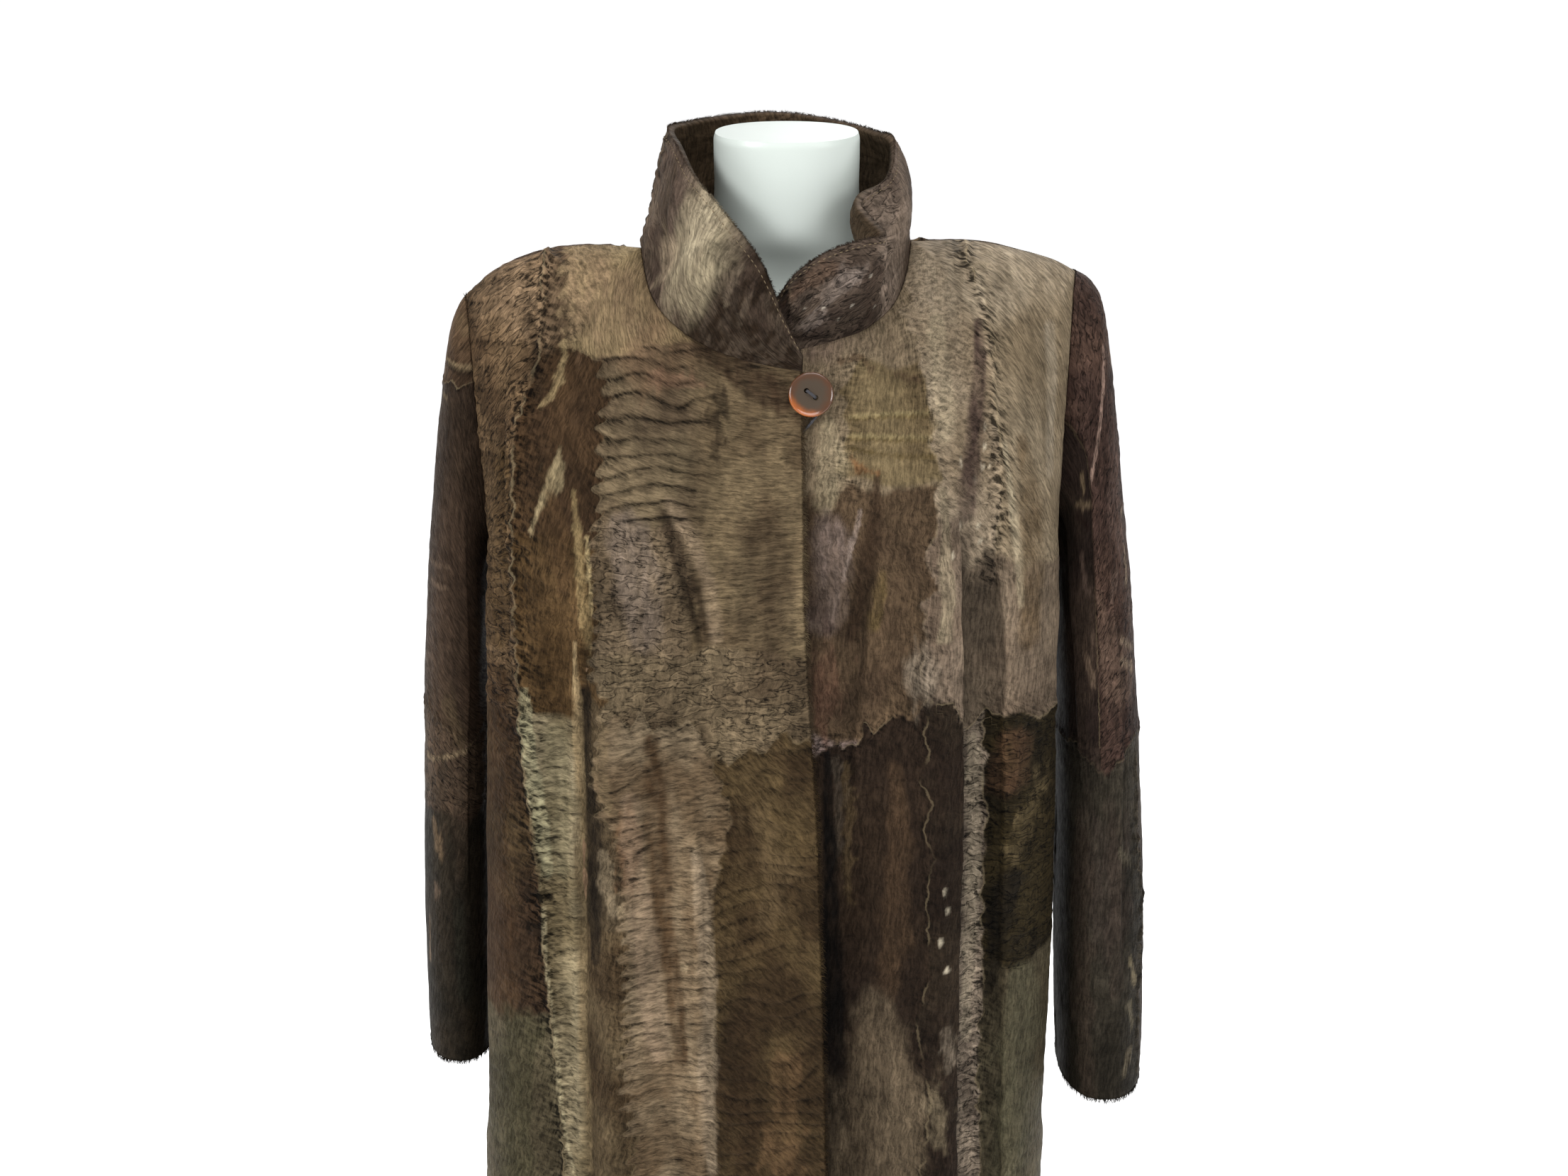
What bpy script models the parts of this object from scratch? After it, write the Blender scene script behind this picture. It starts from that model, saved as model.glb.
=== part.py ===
"""A broadtail fur coat on a limbless dress form, at real size.

The front faces -Y and +Z is up. The origin is on the floor under the neck's axis.
"Right" and "left" are the wearer's, so the right front, which closes on top, is at -X.
Each pelt panel is a wall: an outer surface worked out from short tables of sections, and an
inner one a wall's thickness behind it. Neighbouring panels meet along the same seam lines.
"""

import math

import bmesh
import bpy
import numpy as np

# Driving sizes, in metres
WALL = 0.003  # one pelt with its hair and backing
COLLAR_WALL = 0.005  # two pelts back to back
SEAM_GAP = 0.0003
HEM_Z = 0.320
UNDERARM_Z = 1.130
BODY_CENTRE_X = -0.012
SIDE_SEAM_Y = 0.005
FRONT_ROUNDNESS = 2.8
BACK_ROUNDNESS = 2.4
ARMHOLE_FRONT = 0.062  # how far the armhole bows forward of the shoulder seam
ARMHOLE_BACK = 0.066
FULLEST_Y = -0.045  # where the body's section is widest
SECTION_SAMPLES = 400  # points along a half section, to measure it by
NECK_LEAN = 60  # degrees that the chest has turned from upright to level where it meets the collar

NECK_COLUMNS, SHOULDER_COLUMNS = 14, 10  # a front's columns that end on each, and the back's
SKIRT_ROWS, YOKE_ROWS = 13, 10
COLLAR_SPLIT, COLLAR_ROWS = 2, 5  # collar columns for each of a front's that ends on the neckline
SLEEVE_RINGS = 13

FORM_BOTTOM_Z = 0.700
FORM_SIDES, FORM_RINGS = 26, 25
POLE_RADIUS = 0.0125
SOCKET_RADIUS = 0.0128
BASE_RADIUS = 0.175
BASE_THICKNESS = 0.012
HUB_HEIGHT = 0.050
SOCKET_DEPTH = 0.035
FLANGE_RADIUS, FLANGE_THICKNESS = 0.045, 0.006

BUTTON_RADIUS, BUTTON_THICKNESS = 0.0163, 0.0042
BUTTON_AT = (0.0175, -0.1285, 1.2802)
BUTTON_TILT = math.radians(20)  # the chest leans back this far from upright
HOLE_RADIUS, HOLE_OFFSET = 0.0019, 0.0042
THREAD_RADIUS = 0.0008
LOOP_RADIUS = 0.0011


class Table:
    """Rows of sizes under named columns, read as smooth curves along the first column."""

    def __init__(self, columns, *rows):
        self.columns = columns.split()
        self.rows = np.array(rows, float)

    def at(self, where, *columns):
        """The named columns where the first one has these values, by cubic curves through the rows."""
        knots = self.rows[:, 0]
        where = np.clip(np.asarray(where, float), knots[0], knots[-1])
        row = np.clip(np.searchsorted(knots, where, side="right") - 1, 0, len(knots) - 2)
        span = knots[row + 1] - knots[row]
        u = (where - knots[row]) / span
        found = []
        for column in columns:
            value = self.rows[:, self.columns.index(column)]
            slope = np.gradient(value, knots)
            found.append(
                value[row] * (1 + 2 * u) * (1 - u) ** 2
                + value[row + 1] * u * u * (3 - 2 * u)
                + span * (slope[row] * u * (1 - u) ** 2 - slope[row + 1] * u * u * (1 - u))
            )
        return found[0] if len(found) == 1 else found


# The coat's body below the arms. right_x and left_x are its sides, over_x and under_x the
# two front edges, and recess how far the under front lies behind the over front.
BODY = Table(
    "z right_x left_x front_y back_y over_x under_x recess",
    (0.320, -0.247, 0.214, -0.171, 0.150, 0.024, 0.078, 0.034),
    (0.480, -0.243, 0.207, -0.168, 0.143, 0.028, 0.062, 0.033),
    (0.630, -0.2395, 0.203, -0.165, 0.137, 0.0305, 0.047, 0.031),
    (0.765, -0.238, 0.208, -0.162, 0.131, 0.0285, 0.033, 0.026),
    (0.865, -0.236, 0.210, -0.160, 0.126, 0.0255, 0.014, 0.020),
    (0.960, -0.234, 0.210, -0.158, 0.121, 0.0225, -0.004, 0.014),
    (1.055, -0.231, 0.209, -0.156, 0.117, 0.0165, -0.018, 0.009),
    (1.130, -0.226, 0.205, -0.152, 0.115, 0.0125, -0.024, 0.0072),
)

# Necklines from each front edge to the shoulder seam, and the back's from side to side.
NECKLINES = {
    "front_right": Table(
        "share x y z",
        (0.00, 0.0105, -0.1150, 1.2945),
        (0.20, -0.0220, -0.1090, 1.2990),
        (0.40, -0.0530, -0.0980, 1.3065),
        (0.60, -0.0800, -0.0800, 1.3190),
        (0.80, -0.1000, -0.0500, 1.3370),
        (0.90, -0.1055, -0.0270, 1.3490),
        (1.00, -0.1090, 0.0000, 1.3630),
    ),
    "front_left": Table(
        "share x y z",
        (0.00, -0.0240, -0.0990, 1.3000),
        (0.25, 0.0080, -0.1010, 1.3070),
        (0.45, 0.0330, -0.0960, 1.3125),
        (0.65, 0.0610, -0.0830, 1.3210),
        (0.82, 0.0820, -0.0560, 1.3370),
        (0.92, 0.0895, -0.0280, 1.3520),
        (1.00, 0.0930, 0.0000, 1.3680),
    ),
    "back": Table(
        "share x y z",
        (0.00, -0.1090, 0.0000, 1.3630),
        (0.16, -0.1000, 0.0330, 1.3670),
        (0.32, -0.0700, 0.0610, 1.3705),
        (0.50, -0.0060, 0.0740, 1.3725),
        (0.68, 0.0550, 0.0620, 1.3720),
        (0.84, 0.0840, 0.0330, 1.3705),
        (1.00, 0.0930, 0.0000, 1.3680),
    ),
}

# Shoulder seams from the neck out to the sleeve: nearly flat over the pad, then rounding down.
SHOULDERS = {
    "right": Table(
        "share x y z",
        (0.00, -0.1090, 0.0000, 1.3630),
        (0.25, -0.1440, 0.0040, 1.3645),
        (0.55, -0.1860, 0.0060, 1.3585),
        (0.78, -0.2180, 0.0060, 1.3450),
        (1.00, -0.2430, 0.0060, 1.3250),
    ),
    "left": Table(
        "share x y z",
        (0.00, 0.0930, 0.0000, 1.3680),
        (0.35, 0.1400, 0.0040, 1.3675),
        (0.62, 0.1760, 0.0060, 1.3600),
        (0.82, 0.2010, 0.0060, 1.3530),
        (1.00, 0.2180, 0.0060, 1.3440),
    ),
}

# The large folds. Each runs from (x_top, z_top), where it starts, to (x_low, z_low) or on to
# the hem. depth is towards the outside, so a valley's is negative.
FOLD_COLUMNS = "x_top z_top x_low z_low width depth".split()
FOLDS = {
    "front_right": (
        (-0.134, 1.180, -0.139, 0.320, 0.020, 0.0120),
        (-0.163, 1.180, -0.168, 0.320, 0.020, -0.0150),
        (-0.090, 1.240, -0.030, 0.900, 0.024, -0.0080),
        (-0.084, 1.060, -0.090, 0.320, 0.020, -0.0070),
        (-0.058, 1.060, -0.052, 0.320, 0.020, 0.0070),
        (-0.210, 1.120, -0.222, 0.320, 0.022, 0.0060),
        (-0.195, 1.290, -0.205, 1.090, 0.016, -0.0060),
    ),
    "front_left": (
        (0.150, 1.335, 0.158, 1.130, 0.011, -0.0070),
        (0.136, 1.330, 0.146, 1.180, 0.020, -0.0050),
        (0.112, 1.240, 0.124, 0.320, 0.020, 0.0110),
        (0.136, 1.240, 0.152, 0.320, 0.018, -0.0130),
        (0.168, 1.240, 0.182, 0.320, 0.022, 0.0060),
        (0.085, 1.220, 0.048, 0.900, 0.024, -0.0070),
        (0.080, 0.980, 0.092, 0.320, 0.026, 0.0060),
    ),
    "back": (
        (-0.150, 1.060, -0.165, 0.320, 0.030, 0.0140),
        (-0.105, 1.060, -0.115, 0.320, 0.026, -0.0120),
        (-0.050, 1.160, -0.058, 0.320, 0.032, 0.0110),
        (-0.006, 1.100, -0.006, 0.320, 0.028, -0.0130),
        (0.042, 1.160, 0.050, 0.320, 0.030, 0.0120),
        (0.095, 1.060, 0.106, 0.320, 0.026, -0.0110),
        (0.136, 1.060, 0.150, 0.320, 0.030, 0.0120),
    ),
}
FOLD_FADE = 0.16  # a fold grows to its full depth over this height

# The sleeves hang flattened against the sides. Each row is a ring of the wall's inside: its top
# or outer point, its bottom or inner point, and its front and back. The first is the armhole.
SLEEVES = {
    "right": Table(
        "ring outer_x outer_z inner_x inner_z front_y back_y",
        (0, -0.2430, 1.3250, -0.2260, 1.1300, -0.0570, 0.0710),
        (1, -0.2520, 1.2980, -0.2310, 1.1160, -0.0610, 0.0780),
        (2, -0.2575, 1.2620, -0.2325, 1.0940, -0.0630, 0.0830),
        (3, -0.2645, 1.2100, -0.2330, 1.0620, -0.0640, 0.0880),
        (4, -0.2710, 1.1500, -0.2330, 1.0260, -0.0640, 0.0930),
        (5, -0.2765, 1.0850, -0.2330, 0.9850, -0.0620, 0.0980),
        (6, -0.2815, 1.0000, -0.2330, 0.9350, -0.0580, 0.1030),
        (7, -0.2850, 0.9000, -0.2345, 0.8700, -0.0520, 0.1070),
        (8, -0.2875, 0.8050, -0.2355, 0.7950, -0.0460, 0.1090),
        (9, -0.2875, 0.7170, -0.2390, 0.7130, -0.0420, 0.1080),
    ),
    "left": Table(
        "ring outer_x outer_z inner_x inner_z front_y back_y",
        (0, 0.2180, 1.3440, 0.2050, 1.1300, -0.0570, 0.0710),
        (1, 0.2340, 1.3240, 0.2100, 1.1160, -0.0640, 0.0760),
        (2, 0.2415, 1.2850, 0.2115, 1.0930, -0.0690, 0.0790),
        (3, 0.2480, 1.2300, 0.2120, 1.0600, -0.0740, 0.0800),
        (4, 0.2555, 1.1600, 0.2140, 1.0250, -0.0790, 0.0790),
        (5, 0.2630, 1.0850, 0.2150, 0.9850, -0.0840, 0.0770),
        (6, 0.2700, 1.0000, 0.2160, 0.9350, -0.0890, 0.0740),
        (7, 0.2760, 0.9000, 0.2160, 0.8700, -0.0940, 0.0700),
        (8, 0.2795, 0.8100, 0.2170, 0.8000, -0.0980, 0.0650),
        (9, 0.2795, 0.7110, 0.2210, 0.7080, -0.1000, 0.0600),
    ),
}
SLEEVE_ROUNDNESS = 2.3
SIDE_DENT = 0.013  # the sleeves press the body's sides in this far
DENT_TOP_Z, DENT_LOW_Z = 1.10, 0.66

# The collar's top edge, for each station from the over front round the neck to the under front.
# base is the station's place on the three necklines: 0 to 1 on the right front, 1 to 2 on the
# back and 2 to 3 on the left front. roll is how far the middle swells outwards.
COLLAR = Table(
    "base x y z roll",
    (0.00, 0.0105, -0.1190, 1.3080, 0.001),
    (0.20, -0.0020, -0.1140, 1.3330, 0.006),
    (0.42, -0.0200, -0.1015, 1.3740, 0.014),
    (0.62, -0.0460, -0.0850, 1.4055, 0.013),
    (0.80, -0.0700, -0.0560, 1.4300, 0.004),
    (0.92, -0.0820, -0.0260, 1.4460, 0.002),
    (1.00, -0.0880, 0.0030, 1.4500, 0.002),
    (1.20, -0.0760, 0.0440, 1.4510, 0.003),
    (1.50, -0.0050, 0.0780, 1.4535, 0.003),
    (1.80, 0.0670, 0.0460, 1.4440, 0.004),
    (2.00, 0.0805, 0.0130, 1.4375, 0.008),
    (2.10, 0.0740, -0.0300, 1.4210, 0.007),
    (2.17, 0.0545, -0.0590, 1.4085, -0.008),
    (2.24, 0.0590, -0.0755, 1.4010, -0.006),
    (2.31, 0.0710, -0.0925, 1.3900, 0.004),
    (2.39, 0.0570, -0.1035, 1.3885, 0.011),
    (2.55, 0.0320, -0.1040, 1.3805, 0.010),
    (2.72, 0.0075, -0.0980, 1.3630, 0.005),
    (2.86, -0.0090, -0.0955, 1.3400, 0.002),
    (3.00, -0.0230, -0.0985, 1.3110, 0.001),
)

# The collar's own folds, each from its place on the neckline to its place on the top edge.
COLLAR_FOLD_COLUMNS = "foot top width depth".split()
COLLAR_FOLDS = (
    (0.66, 0.46, 0.09, 0.0050),
    (0.84, 0.64, 0.07, -0.0060),
    (0.98, 0.78, 0.05, 0.0030),
    (2.36, 2.17, 0.05, -0.0050),
    (2.62, 2.34, 0.06, 0.0040),
)

# The dress form's sections from the bust's base up to the cut neck.
FORM = Table(
    "z half_width front_y back_y",
    (0.700, 0.150, -0.092, 0.094),
    (0.712, 0.166, -0.102, 0.106),
    (0.780, 0.176, -0.110, 0.112),
    (0.850, 0.173, -0.112, 0.108),
    (0.930, 0.152, -0.108, 0.092),
    (1.010, 0.131, -0.100, 0.078),
    (1.080, 0.142, -0.114, 0.080),
    (1.150, 0.156, -0.131, 0.086),
    (1.210, 0.160, -0.122, 0.084),
    (1.262, 0.158, -0.098, 0.076),
    (1.300, 0.152, -0.078, 0.068),
    (1.328, 0.133, -0.058, 0.058),
    (1.348, 0.1062, -0.0500, 0.0550),
    (1.362, 0.071, -0.050, 0.054),
    (1.376, 0.058, -0.054, 0.056),
    (1.400, 0.0545, -0.055, 0.056),
    (1.443, 0.0540, -0.056, 0.056),
    (1.450, 0.0510, -0.053, 0.053),
)
FORM_ROUNDNESS = 2.15


def smooth_step(value):
    """0 below 0, 1 above 1, and a smooth rise between them."""
    value = np.clip(value, 0, 1)
    return value * value * (3 - 2 * value)


def unit(vectors):
    """The vectors at length 1."""
    return vectors / np.maximum(np.linalg.norm(vectors, axis=-1, keepdims=True), 1e-12)


def side_of(panel):
    """-1 for the wearer's right, at -X, and 1 for the left."""
    return -1 if panel.endswith("right") else 1


def half_sections(z, side, edge_x):
    """Points of the body's half section at each height, from the front edge round to the centre back.

    A superellipse about (BODY_CENTRE_X, FULLEST_Y), pressed in beside the sleeve.
    """
    sizes = BODY.at(z, "right_x", "left_x", "front_y", "back_y")
    right_x, left_x, front_y, back_y = (size[:, None] for size in sizes)
    half_width = (BODY_CENTRE_X - right_x) if side < 0 else (left_x - BODY_CENTRE_X)
    start = side * (edge_x[:, None] - BODY_CENTRE_X) / half_width
    start_angle = np.arctan2(start, (1 - np.abs(start) ** FRONT_ROUNDNESS) ** (1 / FRONT_ROUNDNESS))
    angle = start_angle + (math.pi - start_angle) * np.linspace(0, 1, SECTION_SAMPLES)[None, :]
    across, ahead = np.sin(angle), np.cos(angle)
    roundness = np.where(ahead > 0, FRONT_ROUNDNESS, BACK_ROUNDNESS)
    radius = (np.abs(across) ** roundness + np.abs(ahead) ** roundness) ** (-1 / roundness)
    depth = np.where(ahead > 0, FULLEST_Y - front_y, back_y - FULLEST_Y)
    y = FULLEST_Y - depth * ahead * radius
    dent = SIDE_DENT * smooth_step((y + 0.095) / 0.045) * smooth_step((0.125 - y) / 0.05)
    dent = dent * (smooth_step((DENT_TOP_Z - z) / 0.05) * smooth_step((z - DENT_LOW_Z) / 0.06))[:, None]
    x = BODY_CENTRE_X + side * (half_width * across * radius - dent * np.clip(across, 0, 1))
    return x, y


def along(x, y, shares, first, last):
    """Points at these shares of the arc between two indices of each row of a polyline."""
    steps = np.hypot(np.diff(x), np.diff(y)).cumsum(axis=1)
    length = np.concatenate([np.zeros((len(x), 1)), steps], axis=1)
    found = np.empty((len(x), len(shares), 2))
    for row in range(len(x)):
        start, end = np.interp((first[row], last[row]), np.arange(x.shape[1]), length[row])
        at = start + (end - start) * shares
        found[row, :, 0] = np.interp(at, length[row], x[row])
        found[row, :, 1] = np.interp(at, length[row], y[row])
    return found


def skirt_rows(panel, z, shares):
    """A panel's points below the arms: rows of its sections between its two seams or edges."""
    if panel == "back":
        halves = []
        for side, part in ((-1, shares[shares <= 0.5] * 2), (1, (1 - shares[shares > 0.5]) * 2)):
            x, y = half_sections(z, side, np.full(len(z), BODY_CENTRE_X))
            seam = seam_index(x, y)
            halves.append(along(x, y, part, seam, np.full(len(z), x.shape[1] - 1.0)))
        flat = np.concatenate(halves, axis=1)
    else:
        side = side_of(panel)
        edge_x = BODY.at(z, "over_x" if side < 0 else "under_x")
        x, y = half_sections(z, side, edge_x)
        flat = along(x, y, shares, np.zeros(len(z)), seam_index(x, y))
        if side > 0:
            flat[..., 1] += BODY.at(z, "recess")[:, None] * smooth_step((0.125 - flat[..., 0]) / 0.09)
    return np.concatenate([flat, np.broadcast_to(z[:, None, None], (*flat.shape[:2], 1))], axis=-1)


def seam_index(x, y):
    """Where each section, going backwards, passes the side seam, as a fraction of an index."""
    found = np.empty(len(y))
    for row in range(len(y)):
        behind = int(np.argmax(y[row] > SIDE_SEAM_Y))
        found[row] = behind - (y[row, behind] - SIDE_SEAM_Y) / (y[row, behind] - y[row, behind - 1])
    return found


def points_of(table, shares):
    """The table's x, y and z at these shares, as points."""
    return np.stack(table.at(shares, "x", "y", "z"), axis=-1)


def top_edge(panel):
    """A panel's top edge: a front's neckline then shoulder, or on the back shoulder, neckline, shoulder."""
    neck = points_of(NECKLINES[panel], np.linspace(0, 1, NECK_COLUMNS + 1))
    beyond = np.linspace(0, 1, SHOULDER_COLUMNS + 1)
    if panel != "back":
        shoulder = SHOULDERS["right" if side_of(panel) < 0 else "left"]
        return np.concatenate([neck[:-1], points_of(shoulder, beyond)])
    right, left = (points_of(SHOULDERS[side], beyond) for side in ("right", "left"))
    return np.concatenate([right[::-1], neck[1:-1], left])


def end_angle(panel, columns):
    """How far round to level each column has turned where it meets the top edge."""
    shares = np.linspace(0, 1, columns + 1)
    middle = np.abs(2 * shares - 1) if panel == "back" else shares
    return np.radians(NECK_LEAN + (90 - NECK_LEAN) * smooth_step(middle / 0.6))


def yoke_rows(panel, rise, shares):
    """A panel's points above the underarm, with rise from 0 there to 1 at its top edge.

    Each column is an elliptic arc, upright at the underarm and leaning in at the top edge. Near
    the armhole it is drawn on to the armhole's loop.
    """
    low = skirt_rows(panel, np.array([UNDERARM_Z]), shares)[0][None]
    top = top_edge(panel)[None]
    end = end_angle(panel, len(shares) - 1)[None]
    angle = rise[:, None] * end
    out = (np.cos(angle) - np.cos(end)) / (1 - np.cos(end))
    up = np.sin(angle) / np.sin(end)
    inward = (rise**1.4)[:, None]
    grid = np.empty((len(rise), len(shares), 3))
    grid[..., 0] = low[..., 0] + (top[..., 0] - low[..., 0]) * inward
    grid[..., 1] = top[..., 1] + (low[..., 1] - top[..., 1]) * out
    grid[..., 2] = low[..., 2] + (top[..., 2] - low[..., 2]) * up
    bow = np.sin(rise * math.pi)[:, None]
    loop_up = ((1 - np.cos(rise * math.pi)) / 2)[:, None]
    if panel == "back":
        near = smooth_step((np.abs(2 * shares - 1) - 0.55) / 0.45)[None]
        grid[..., 1] += near * ARMHOLE_BACK * bow
    else:
        near = smooth_step((shares - 0.55) / 0.45)[None]
        grid[..., 1] -= near * ARMHOLE_FRONT * bow
    grid[..., 2] += near * (loop_up - up) * (top[..., 2] - low[..., 2])
    return grid


def add_folds(panel, grid, shares):
    """The grid with the panel's large folds pushed out or in along Y, less so near its side seams."""
    x, z = grid[..., 0], grid[..., 2]
    pushed = np.zeros_like(x)
    for row in FOLDS[panel]:
        fold = dict(zip(FOLD_COLUMNS, row))
        run = (z - fold["z_low"]) / (fold["z_top"] - fold["z_low"])
        centre = fold["x_low"] + (fold["x_top"] - fold["x_low"]) * run
        strength = smooth_step((fold["z_top"] - z) / FOLD_FADE)
        if fold["z_low"] > HEM_Z:
            strength = strength * smooth_step((z - fold["z_low"] + FOLD_FADE / 2) / (FOLD_FADE / 2))
        pushed += fold["depth"] * strength * np.exp(-(((x - centre) / fold["width"]) ** 2))
    to_side = np.minimum(shares, 1 - shares) * 2 if panel == "back" else 1 - shares
    pushed *= smooth_step(to_side / 0.16)
    grid[..., 1] += pushed if panel == "back" else -pushed
    return grid


def panel_grid(panel):
    """A panel's outer surface, from the hem up, as rows of points.

    A front's columns run from its front edge to its side, and the back's from right to left.
    """
    columns = NECK_COLUMNS + SHOULDER_COLUMNS * (2 if panel == "back" else 1)
    shares = np.linspace(0, 1, columns + 1)
    z = np.linspace(HEM_Z, UNDERARM_Z, SKIRT_ROWS + 1)[:-1]
    skirt = skirt_rows(panel, z, shares)
    yoke = yoke_rows(panel, np.linspace(0, 1, YOKE_ROWS + 1), shares)
    return add_folds(panel, np.concatenate([skirt, yoke]), shares)


def outward(grid):
    """Unit normals of a grid whose columns run to +X when seen from outside and its rows upwards."""
    rows, columns = (np.gradient(grid, axis=axis) for axis in (0, 1))
    return unit(np.cross(columns, rows))


def pulled_in(grid, gap=SEAM_GAP):
    """The grid with its rim moved in by half a seam's gap on every side."""
    grid = grid.copy()
    for edge, inner in ((0, 1), (-1, -2)):
        grid[edge] += unit(grid[inner] - grid[edge]) * gap / 2
        grid[:, edge] += unit(grid[:, inner] - grid[:, edge]) * gap / 2
    return grid


def node(name, mesh, material):
    """Links a named object with its material to the coat's collection."""
    thing = bpy.data.objects.new(name, mesh)
    mesh.materials.append(material)
    bpy.data.collections["broadtail_coat"].objects.link(thing)
    return thing


def wall(name, outer, inner, material, tube=False):
    """A closed wall between two grids of points; a tube's columns run round and join up."""
    rows, columns = outer.shape[:2]
    index = np.arange(rows * columns).reshape(rows, columns)
    if tube:
        index = np.concatenate([index, index[:, :1]], axis=1)
    count = rows * columns
    quads = np.stack([index[:-1, :-1], index[:-1, 1:], index[1:, 1:], index[1:, :-1]], axis=-1).reshape(-1, 4)
    rims = [index[0, ::-1], index[-1]] + ([] if tube else [index[:, 0], index[::-1, -1]])
    faces = [quads, quads[:, ::-1] + count]
    for rim in rims:
        faces.append(np.stack([rim[:-1], rim[1:], rim[1:] + count, rim[:-1] + count], axis=-1))
    mesh = bpy.data.meshes.new(name)
    points = np.concatenate([outer.reshape(-1, 3), inner.reshape(-1, 3)])
    mesh.from_pydata(points.tolist(), [], np.concatenate(faces).tolist())
    mesh.validate()
    mesh.shade_smooth()
    return node(name, mesh, material)


def into_armhole(loop):
    """Directions from an armhole's points to the middle of its loop."""
    middle = np.array([0, SIDE_SEAM_Y, (loop[:, 2].max() + loop[:, 2].min()) / 2])
    return unit((middle - loop) * [0, 1, 1])


def make_panel(panel, material):
    """One front or the back: its outer grid, and an inner one that meets its neighbours' at the seams."""
    outer = panel_grid(panel)
    if panel != "front_left":
        outer = outer[:, ::-1]  # so that seen from outside the columns run to the right
    outer = pulled_in(outer)
    inward = -outward(outer)
    top = outer[-1]
    slope = np.gradient(top[:, 2], top[:, 0])
    square = unit(np.stack([slope, np.zeros_like(slope), -np.ones_like(slope)], axis=-1))
    right_neck, left_neck = (SHOULDERS[side].rows[0, 1] for side in ("right", "left"))
    beyond_neck = (top[:, 0] < right_neck + 0.001) | (top[:, 0] > left_neck - 0.001)
    inward[-1, beyond_neck] = square[beyond_neck]
    for edge in {"front_right": (0,), "front_left": (-1,), "back": (0, -1)}[panel]:
        level = np.array([-np.sign(outer[0, edge, 0]), 0, 0])
        rise = np.linspace(0, 1, YOKE_ROWS + 1)[:, None]
        to_middle = into_armhole(outer[SKIRT_ROWS:, edge]) * smooth_step(rise * 2.5)
        inward[:SKIRT_ROWS, edge] = level
        inward[SKIRT_ROWS:, edge] = unit(to_middle + level * (1 - rise) ** 3)
    return wall(panel, outer, outer + inward * WALL, material)


def armhole(side_name):
    """The armhole's loop: from the shoulder point down the front's edge and up the back's."""
    front = panel_grid(f"front_{side_name}")[SKIRT_ROWS:, -1]
    back = panel_grid("back")[SKIRT_ROWS:, 0 if side_name == "right" else -1]
    return np.concatenate([front[::-1], back[1:-1]])


def make_sleeve(side_name, material):
    """A sleeve: a tube from the armhole's loop through rings flattened fore and aft."""
    loop = armhole(side_name)
    rings = SLEEVES[side_name]
    at = np.linspace(0, 1, SLEEVE_RINGS + 1) ** 1.2 * rings.rows[-1, 0]
    outer_x, outer_z, inner_x, inner_z, front_y, back_y = rings.at(at, *rings.columns[1:])
    turn = np.linspace(0, 2 * math.pi, len(loop), endpoint=False)
    across, ahead = np.cos(turn)[None], np.sin(turn)[None]
    roundness = 2 + (SLEEVE_ROUNDNESS - 2) * smooth_step(at / 3)[:, None]
    radius = (np.abs(across) ** roundness + np.abs(ahead) ** roundness) ** (-1 / roundness)
    across, ahead = across * radius, ahead * radius
    grid = np.empty((*across.shape, 3))
    grid[..., 0] = ((outer_x + inner_x)[:, None] + (outer_x - inner_x)[:, None] * across) / 2
    grid[..., 1] = ((front_y + back_y)[:, None] + (front_y - back_y)[:, None] * ahead) / 2
    grid[..., 2] = ((outer_z + inner_z)[:, None] + (outer_z - inner_z)[:, None] * across) / 2
    side = -1 if side_name == "right" else 1
    grid[0] = loop + [side * SEAM_GAP * 1.5, 0, 0]
    if side > 0:
        grid = grid[:, ::-1]  # so that seen from outside, shoulder up, the columns run to the right
    closed = np.concatenate([grid[:, -1:], grid, grid[:, :1]], axis=1)[::-1]
    outer, inner = grid + outward(closed)[::-1, 1:-1] * WALL, grid.copy()
    outer[0] = grid[0]
    inner[0] = grid[0] + into_armhole(grid[0]) * WALL
    return wall(f"sleeve_{side_name}", outer[::-1], inner[::-1], material, tube=True)


def collar_foot():
    """The neckline's points and their places, where base runs 0 to 1 on the right front and so on.

    They are the panels' own points, with COLLAR_SPLIT - 1 more between each two of a front's.
    """
    order = (("front_right", 1, COLLAR_SPLIT), ("back", 1, 1), ("front_left", -1, COLLAR_SPLIT))
    points, bases = [], []
    for number, (panel, way, split) in enumerate(order):
        neck = points_of(NECKLINES[panel], np.linspace(0, 1, NECK_COLUMNS + 1))[::way]
        at = np.linspace(0, 1, NECK_COLUMNS * split + 1)
        along_neck = [np.interp(at, np.linspace(0, 1, NECK_COLUMNS + 1), neck[:, axis]) for axis in range(3)]
        last = None if panel == "front_left" else -1
        points.append(np.stack(along_neck, axis=-1)[:last])
        bases.append(number + at[:last])
    return np.concatenate(points), np.concatenate(bases)


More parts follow.
